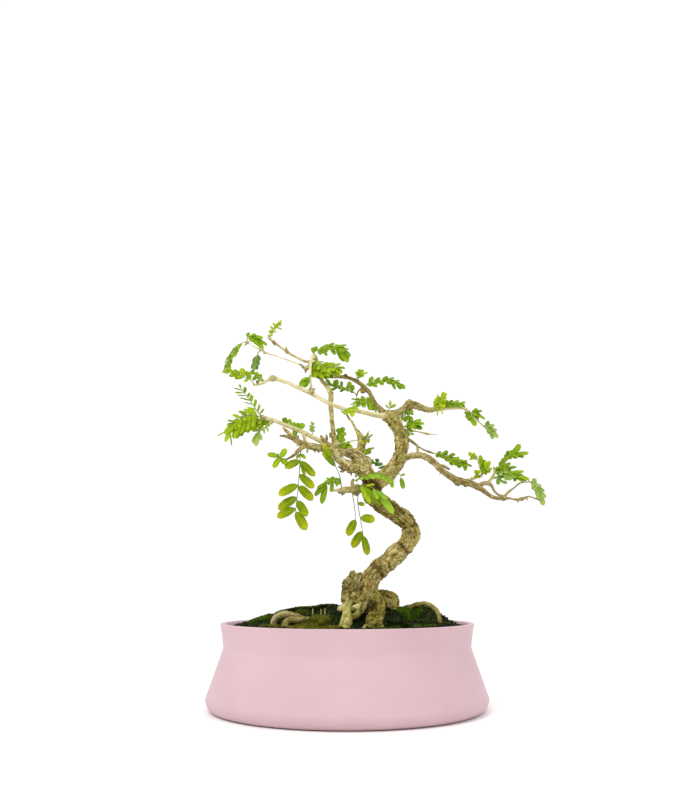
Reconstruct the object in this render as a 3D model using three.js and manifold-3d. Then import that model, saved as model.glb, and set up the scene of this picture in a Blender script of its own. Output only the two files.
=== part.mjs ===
// A potted red sesbania bonsai in millimetres, +Z up.
// The origin is the centre of the pot's flat underside. +X runs to the right of the front
// view, +Y away from it. The plant leans over a round clay pot that is widest at its heel.
//
// Pieces: the pot, two drainage meshes over its holes, the soil, three moss cushions,
// the wood (trunk, branches and roots, which grew as one piece) and its compound leaves,
// each leaf one node with its rachis and its leaflets.

import * as THREE from 'three';
import { mergeVertices } from 'three/addons/utils/BufferGeometryUtils.js';
import Module from 'manifold-3d';

// ---- driving dimensions -------------------------------------------------------------
const POT_OUTER = [[0, 0], [106.5, 0], [109.6, 1.2], [112.4, 3.8], [114, 8.9], [108.2, 26.8], [101, 47.7], [104, 66.7]];
const POT_INNER = [[99.4, 66.7], [96.2, 48.1], [103.4, 27.1], [107.6, 13.8], [104, 8], [0, 8]];
const POT_SIDES = 40;
const FLOOR_Z = 8;               // inner floor of the pot
const HOLE_X = 45;               // drain holes at +X and -X
const HOLE_R = 9;
const MESH_SIZE = 26;            // drainage mesh: square plate with square openings
const MESH_T = 1.2;
const MESH_CELL = 6.4;
const MESH_BAR = 1.8;
const GAP = 0.3;                 // clearance between separate pieces
// soil surface: radius, height above the underside of the pot
const SOIL_TOP = [[0, 80.2], [18, 79.6], [34, 77.8], [46, 76.2], [56, 74.2], [66, 71.4], [75, 68.8], [84, 66.4], [91, 64.9], [98.6, 64.1]];
const FRONT_DROP = 15;           // how much lower the soil lies in front of the trunk
const SOIL_SIDES = 36;
const MOUND_X = 67;              // small heap of soil under the arching root on the right
const MOUND_Y = 10;
const MOUND_H = 9;
const MOUND_R = 15;
const LEAF_T = 1.0;              // leaflet thickness at its middle
const PAIR_SHARE = 0.45;         // share of the leaflet pairs that is modelled, each a little wider
const STALK_R = 0.75;            // radius of a leaf's stalk at its foot

// Wood: one row per strand of trunk, branch or root: name, sides, then [x, y, z, radius].
const STRANDS = [
 ["trunk",9,[[11.3,4.0,52.6,12.44],[13.0,2.0,70.3,12.06],[14.3,0.0,83.3,10.83],[16.4,1.0,93.4,8.87],[19.7,2.0,101.6,8.15],[24.5,3.0,108.2,8.18],[31.9,6.0,114.6,7.97],[40.0,8.0,121.5,8.01],[47.2,9.0,127.4,7.95],[52.4,9.0,133.8,7.97],[54.1,7.0,140.8,8.39],[52.2,5.0,148.2,7.88],[44.9,2.0,154.5,7.77],[35.6,-2.0,160.3,7.57],[27.2,-5.0,165.3,7.3],[21.3,-7.0,170.7,7.46],[19.6,-8.0,176.5,7.63],[20.9,-7.0,183.4,7.66]]],
 ["right_leader",8,[[20.9,-8.0,178.2,6.79],[27.8,-5.0,184.1,6.83],[34.9,-1.0,190.2,6.71],[40.7,1.0,196.5,6.22],[44.8,3.0,203.8,5.91],[47.2,5.0,212.0,5.68],[47.6,7.0,220.3,5.79],[45.9,9.0,227.8,5.56],[42.1,11.0,235.0,5.32],[37.8,12.0,241.0,4.98],[34.3,12.0,246.0,4.1]]],
 ["left_low",6,[[20.9,-8.0,179.0,6.37],[16.6,-11.0,188.0,6.78],[9.8,-14.0,193.6,6.26],[2.2,-17.0,194.9,4.72],[-3.7,-20.0,197.4,3.61],[-9.7,-21.5,203.5,3.86],[-12.9,-22.0,210.2,3.7]]],
 ["left_high",6,[[18.3,-9.0,185.7,5.95],[14.1,-12.0,195.6,5.77],[9.0,-14.0,203.8,5.09],[2.2,-16.0,206.3,4.57],[-3.7,-18.5,208.2,4.14],[-12.1,-21.5,211.2,4.04]]],
 ["stub_up",5,[[9.8,-13.0,202.3,4.67],[12.0,-13.0,211.7,3.92],[11.9,-12.0,218.8,3.42],[9.4,-11.0,224.2,2.06],[7.0,-10.4,228.1,1.12],[4.3,-10.0,233.5,1.08],[1.0,-9.0,237.9,0.95],[-0.7,-8.4,240.8,0.69],[-5.2,-8.0,243.7,0.61]]],
 ["stick",4,[[-10.8,-21.0,210.4,2.86],[-11.5,-18.0,220.3,2.2],[-12.9,-14.0,230.6,2.14],[-13.9,-8.0,241.4,2.08],[-14.7,-4.0,251.2,2.18],[-14.7,0.0,260.2,2.38],[-16.1,2.0,264.9,2.3],[-19.5,4.0,270.2,2.04],[-23.7,6.0,276.2,1.87],[-25.6,9.0,285.3,1.8],[-27.6,12.0,294.5,1.9],[-30.6,12.0,299.7,2.17]]],
 ["branch_left",5,[[-9.6,-21.0,209.5,2.88],[-20.5,-24.0,214.1,2.23],[-29.6,-27.0,218.0,1.99],[-38.3,-30.0,222.0,1.98],[-47.6,-34.0,225.2,1.89],[-56.5,-38.0,228.2,1.81],[-63.7,-41.0,230.2,1.88],[-70.4,-44.0,231.7,1.87]]],
 ["gnarl",5,[[-8.7,-21.0,208.7,3.87],[-18.7,-26.0,208.7,3.42],[-26.0,-30.0,208.7,3.16],[-34.1,-34.0,209.9,2.97],[-40.5,-38.0,212.2,2.3],[-46.1,-41.0,214.7,1.8],[-51.2,-44.0,215.7,1.22],[-54.5,-46.0,215.5,0.73]]],
 ["gnarl_stub",4,[[-44.5,-40.0,213.9,1.64],[-47.5,-40.0,218.1,1.97],[-50.4,-40.0,221.0,1.48],[-52.9,-40.0,223.5,0.9]]],
 ["gnarl_link",4,[[-38.0,-30.0,222.4,1.25],[-35.5,-33.0,216.0,1.41],[-34.1,-34.0,209.9,1.82]]],
 ["gnarl_down",4,[[-35.7,-35.0,208.9,2.31],[-40.4,-39.0,204.1,1.8],[-43.4,-42.0,200.3,1.3],[-48.8,-45.0,196.4,0.73]]],
 ["branch_long",5,[[36.0,12.0,243.8,3.44],[27.0,8.0,243.3,2.52],[18.9,4.0,244.3,2.27],[11.8,0.0,245.2,2.18],[-1.3,-8.0,245.5,1.99],[-11.6,-14.0,247.9,1.98],[-20.9,-18.0,251.6,2.05],[-31.1,-21.0,256.8,2.12],[-40.4,-24.0,260.4,1.96],[-47.5,-27.0,263.2,1.8],[-54.5,-29.0,265.5,1.64],[-61.2,-31.0,267.4,2.1],[-64.9,-32.0,267.0,2.02],[-68.5,-33.0,264.2,1.32],[-72.9,-35.0,261.7,1.0],[-75.3,-36.0,261.0,1.23],[-78.1,-37.0,260.2,0.62]]],
 ["riser",4,[[-30.4,-21.0,257.1,1.91],[-31.4,-18.0,264.8,1.33],[-32.2,-13.0,274.1,1.27],[-32.6,-7.0,282.9,1.36],[-32.5,0.0,291.2,1.6],[-30.6,9.0,298.8,2.17]]],
 ["twig_top",4,[[-32.4,-1.0,290.0,1.6],[-38.2,8.0,293.2,1.17],[-46.7,12.0,298.2,1.0],[-54.2,15.0,303.3,1.18],[-60.9,18.0,308.9,0.91],[-67.7,21.0,314.8,1.29],[-71.1,22.0,317.5,0.83],[-74.0,23.0,319.9,0.55]]],
 ["twig_pale",4,[[-32.5,-5.0,284.7,1.33],[-36.3,-2.0,284.2,1.49],[-40.5,-5.0,285.8,0.81],[-48.7,-9.0,288.3,0.81],[-55.9,-12.0,290.2,0.73],[-64.0,-15.0,292.3,0.73],[-70.7,-18.0,293.6,0.87],[-77.5,-20.0,296.8,0.73],[-83.4,-22.0,299.6,0.73],[-87.0,-23.0,302.2,1.02]]],
 ["branch_back",5,[[36.0,12.0,242.9,3.74],[29.9,14.0,249.6,3.13],[24.9,16.0,255.1,2.69],[22.1,19.0,261.3,2.35],[19.9,21.0,266.9,2.27],[15.0,24.0,273.2,2.19],[8.6,27.0,279.3,1.93],[2.2,30.0,283.0,1.75],[-5.2,33.0,285.1,1.95],[-9.9,35.0,285.6,1.49],[-14.1,37.0,285.2,0.84]]],
 ["back_loop",4,[[13.2,25.0,272.5,1.1],[10.0,25.0,269.7,0.64],[8.2,25.0,265.6,0.82]]],
 ["branch_right",5,[[34.2,12.0,242.9,4.09],[39.7,14.0,245.6,3.75],[46.1,16.0,247.7,3.49],[51.2,18.0,251.8,3.42],[56.4,20.0,255.8,3.7],[61.9,22.0,255.4,3.44],[67.6,25.0,253.7,3.0],[74.2,28.0,252.6,2.64],[80.9,31.0,254.0,2.2],[89.6,34.0,255.6,2.12],[99.2,37.0,256.6,1.85],[107.4,40.0,257.1,1.85],[113.6,42.0,252.3,1.39],[121.1,44.0,245.6,0.93],[128.9,46.0,238.6,0.56]]],
 ["right_strut",4,[[47.1,15.0,246.2,1.34],[47.6,11.0,238.1,1.15],[49.0,9.0,229.6,1.59]]],
 ["branch_low",5,[[46.0,3.0,202.1,3.99],[51.5,0.0,205.1,3.12],[57.7,-4.0,205.7,2.75],[63.9,-7.0,205.2,2.66],[70.1,-9.0,202.2,2.82],[75.7,-11.0,196.3,2.8],[81.3,-13.0,190.5,2.79],[88.0,-16.0,185.3,2.86],[92.7,-18.0,182.2,3.18],[99.2,-19.0,180.9,2.93],[106.7,-21.0,177.9,2.83],[112.9,-23.0,173.5,2.41],[117.8,-25.0,169.1,1.73],[123.2,-27.0,166.8,1.48],[128.3,-28.0,166.7,1.89],[132.6,-29.5,166.5,0.82],[138.3,-31.0,165.2,0.9],[142.2,-32.0,165.6,1.55],[145.4,-33.0,166.7,0.98],[148.0,-34.0,167.4,0.73],[152.6,-35.0,165.8,0.57],[156.8,-36.0,163.9,0.49]]],
 ["low_strand",4,[[109.7,-21.0,178.4,1.83],[116.7,-17.0,180.5,2.01],[121.1,-15.0,178.6,1.34],[122.7,-17.0,174.2,1.0],[125.0,-22.0,170.4,1.0],[128.5,-27.5,168.1,1.32]]],
 ["low_up",4,[[98.4,-19.0,181.1,2.26],[104.1,-12.0,184.2,1.75],[110.4,-7.0,187.0,1.38],[115.1,-4.0,189.5,1.23],[114.3,-2.0,194.8,0.85],[112.9,0.0,201.6,0.7],[111.8,1.0,207.0,0.39]]],
 ["low_up2",4,[[117.0,-17.0,179.7,1.59],[122.3,-12.0,185.8,1.27],[125.3,-9.0,191.3,1.02],[124.9,-7.0,195.2,0.68]]],
 ["low_fork",4,[[127.9,-28.0,166.8,1.56],[133.4,-24.0,172.2,1.24],[138.9,-20.0,176.0,0.67],[143.7,-16.0,179.8,0.84],[147.1,-14.0,181.2,0.67],[154.1,-11.0,182.3,0.51]]],
 ["low_nub",4,[[76.6,-11.0,195.7,1.53],[81.6,-8.0,196.1,1.62],[87.1,-4.0,194.1,0.94]]],
 ["twig_right",4,[[48.0,8.0,226.8,1.94],[52.8,8.0,222.7,1.23],[56.3,8.5,220.4,1.5],[63.0,11.0,215.7,0.79],[68.9,13.0,212.8,0.79],[72.0,14.0,211.9,1.33],[75.5,15.0,210.7,0.62]]],
 ["twig_drop",4,[[61.0,10.0,217.7,0.88],[61.1,4.0,212.8,1.13],[60.8,-5.5,205.1,1.63]]],
 ["twig_hair",4,[[46.4,10.0,232.5,1.42],[52.7,12.0,231.1,0.89],[58.2,14.0,230.8,0.62],[64.2,17.0,230.2,0.62],[68.4,19.0,229.6,0.89],[71.6,20.0,229.0,1.07],[74.9,21.0,228.9,0.54],[80.4,23.0,228.8,0.4]]],
 ["front_stub",5,[[20.0,-7.0,176.6,5.1],[11.5,-13.0,176.4,3.45],[3.9,-18.0,175.0,3.09],[-2.0,-22.0,174.1,2.74],[-5.8,-24.0,173.5,1.91],[-10.6,-27.0,173.2,0.99],[-13.8,-29.5,172.4,0.66]]],
 ["stub_knob",4,[[6.4,-15.0,175.7,2.52],[3.9,-14.0,180.4,1.94],[5.2,-12.0,184.9,1.1]]],
 ["stub_spur",4,[[-2.0,-21.5,173.7,1.83],[-4.5,-20.5,169.8,1.08]]],
 ["stump",7,[[16.4,2.0,75.1,9.99],[7.2,1.0,84.0,11.68],[5.2,1.0,93.0,10.04],[5.4,1.0,99.1,9.05],[6.8,1.0,103.2,5.54]]],
 ["root_back_r",6,[[19.0,6.0,84.8,6.72],[26.8,12.0,87.8,5.17],[34.6,16.0,87.7,4.95],[39.5,16.0,84.9,4.86],[40.2,13.0,79.7,4.07],[38.9,9.0,74.9,3.87],[36.1,6.0,69.7,3.51],[33.8,4.0,63.8,3.16]]],
 ["root_front_r",6,[[19.6,-6.0,89.0,5.79],[24.8,-12.0,85.9,3.77],[27.4,-17.0,81.3,3.17],[27.5,-21.0,76.3,3.22],[25.5,-25.0,71.4,3.84],[22.0,-29.0,67.3,4.45],[16.4,-32.0,63.3,4.1],[9.2,-38.0,59.1,2.81]]],
 ["root_mid",5,[[15.3,-10.0,86.7,5.09],[12.8,-17.0,81.3,3.73],[10.4,-22.5,76.7,2.98],[7.0,-26.0,73.4,2.4],[2.2,-27.0,71.8,2.23]]],
 ["root_pale",6,[[5.5,-5.0,89.8,4.56],[2.0,-13.0,83.9,3.27],[0.7,-18.0,78.9,2.75],[-0.4,-24.0,73.3,3.77],[-1.0,-31.0,67.8,4.75],[-3.3,-39.0,62.1,4.21],[-7.0,-47.0,57.4,3.08]]],
 ["root_bump_l",4,[[1.4,-15.0,80.7,2.12],[-2.8,-18.0,79.2,2.27],[-6.4,-19.0,78.2,2.26]]],
 ["root_bump_m",4,[[13.6,-15.0,83.6,2.12],[8.2,-22.0,80.2,2.01],[5.3,-23.5,79.9,1.85]]],
 ["root_left",5,[[5.5,4.0,80.7,6.69],[-3.6,1.0,74.4,4.49],[-14.3,-4.0,69.3,3.79],[-24.8,-9.0,67.7,3.43],[-34.4,-13.0,69.3,2.93],[-42.4,-16.0,72.4,2.76],[-50.4,-18.0,74.2,2.83],[-57.0,-18.0,71.9,2.67],[-59.5,-17.0,67.6,2.75],[-59.0,-15.0,62.4,2.75],[-56.9,-13.0,57.6,2.43]]],
 ["root_left_in",4,[[-31.9,-14.0,69.4,2.11],[-40.4,-22.0,70.1,2.41],[-46.9,-26.0,69.6,2.55],[-49.9,-28.0,66.4,2.62],[-48.6,-28.0,62.3,2.38]]],
 ["root_arch",5,[[27.5,10.0,79.8,5.43],[36.9,14.0,73.9,3.58],[46.1,12.0,73.6,2.64],[53.2,4.0,78.9,2.31],[58.6,-2.0,81.7,2.06],[64.9,-6.0,82.1,2.05],[70.6,-9.0,79.5,2.04],[74.1,-11.0,75.1,1.96],[75.2,-12.0,70.1,1.95],[74.9,-12.0,64.2,2.09]]],
 ["root_back_1",5,[[12.3,10.0,84.7,7.61],[3.1,24.0,78.6,5.16],[-9.2,38.0,74.4,3.94],[-22.7,52.0,67.4,3.03],[-33.8,62.0,61.8,2.34]]],
 ["root_back_2",5,[[20.8,10.0,84.7,6.76],[31.6,28.0,79.3,4.67],[42.8,44.0,75.5,3.71],[55.2,58.0,68.9,2.69],[63.8,66.0,62.5,2.17]]],
 ["root_fore_l",4,[[2.2,-16.0,71.0,4.05],[-6.5,-30.0,61.6,3.32],[-17.2,-42.0,57.1,2.64],[-27.5,-53.0,52.6,1.98],[-34.6,-60.0,48.8,1.5]]],
 ["root_fore_r",4,[[20.7,-20.0,69.6,4.43],[30.7,-30.0,59.3,3.48],[41.8,-40.0,52.5,2.64],[50.2,-52.0,48.9,1.98],[57.8,-60.0,45.9,1.5]]]
];

// Burls and knots that show from afar: [x, y, z, radius].
const LUMPS = [
 [-2.4,-17.0,194.0,3.54],
 [7.2,-19.0,197.1,4.37],
 [1.4,-14.0,191.5,2.87],
 [15.9,-9.0,200.3,4.27],
 [-9.6,-23.0,210.9,4.37],
 [-17.9,-25.0,210.2,3.52],
 [-30.7,10.0,297.7,2.98],
 [-30.7,-21.0,258.4,2.99],
 [-63.2,-31.5,267.3,3.04],
 [-72.0,-18.0,293.8,1.65],
 [-36.3,-2.0,283.9,2.56],
 [-39.3,-3.0,284.7,1.77],
 [-55.1,15.0,303.8,2.0],
 [-68.1,21.0,315.1,1.84],
 [-86.4,-23.0,302.0,1.64],
 [-2.0,32.0,285.6,2.22],
 [13.6,22.0,268.5,2.36],
 [56.6,20.0,250.9,1.98],
 [55.9,20.0,256.8,3.97],
 [44.6,14.0,243.7,3.57],
 [34.7,12.0,242.4,4.81],
 [40.8,3.0,207.3,2.0],
 [42.2,5.0,214.0,1.75],
 [42.6,8.0,221.0,1.67],
 [51.8,6.0,221.5,1.93],
 [92.2,-18.0,181.6,3.52],
 [128.3,-28.0,166.8,2.38],
 [142.5,-32.0,165.6,1.8],
 [58.1,7.0,140.5,4.54],
 [47.0,8.0,127.0,7.0],
 [48.9,4.0,155.6,5.57],
 [29.1,2.0,109.0,5.22],
 [36.1,5.0,112.7,4.57],
 [17.8,3.0,107.3,3.88],
 [11.4,1.0,102.4,4.7],
 [20.6,-24.0,69.8,6.4],
 [8.7,-18.0,77.8,4.37],
 [-1.5,-13.0,79.6,4.24],
 [19.9,-13.0,182.7,5.23],
 [24.2,-10.0,178.0,5.42],
 [1.8,-4.0,97.1,4.99],
 [0.1,-6.0,88.2,5.37],
 [4.9,1.0,106.4,2.44],
 [10.4,-14.0,82.8,4.24],
 [23.5,-13.0,84.7,3.6],
 [32.4,6.0,82.3,5.04],
 [-6.1,-23.0,173.1,2.49],
 [7.2,-14.0,173.3,3.19],
 [-49.1,-22.0,67.4,3.53],
 [-41.4,-38.0,215.9,2.14],
 [108.8,-21.0,176.3,2.66],
 [99.3,-18.0,179.6,2.85],
 [71.8,-9.0,201.1,2.73]
];

// Compound leaves: name, stalk points, leaflet pairs, where the pairs start along the stalk,
// leaflet length, leaflet width, sweep from the stalk (degrees), fold (degrees), the side
// that the upper face looks to, and the tone of green.
const LEAVES = [
 ["leaf_03",[[-87.3,-23.0,302.2],[-92.4,-26.0,299.2],[-97.4,-30.0,291.5],[-100.7,-33.0,283.4],[-102.0,-35.0,276.3]],10,0.1,7.68,2.73,34,24,[-0.5,-0.8,0.4],"g"],
 ["leaf_46",[[154.1,-11.0,182.3],[150.0,-13.0,185.6],[145.7,-14.0,188.1],[142.3,-14.4,189.6]],4,0.12,6.25,3.04,38,16,[0,-0.7,0.7],"g"],
 ["leaf_51",[[13.1,-14.5,218.6],[15.8,-18.0,218.4],[18.7,-21.0,218.1]],5,0.08,5.59,2.03,56,10,[0.2,-0.95,0.2],"a"],
 ["leaf_53",[[34.2,3.7,195.9],[31.1,9.0,198.7],[26.0,14.0,202.3],[21.2,17.0,203.8]],4,0.06,7.72,3.42,30,16,[0,-0.7,0.7],"d"],
 ["leaf_17",[[4.9,-14.0,182.2],[6.8,-17.0,183.0],[11.4,-23.0,184.8],[19.6,-27.0,186.8],[27.8,-28.0,186.3],[34.0,-28.0,183.7],[37.3,-28.0,181.2]],9,0.08,7.97,3.65,38,30,[0,-0.6,0.8],"y"]
];

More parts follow.
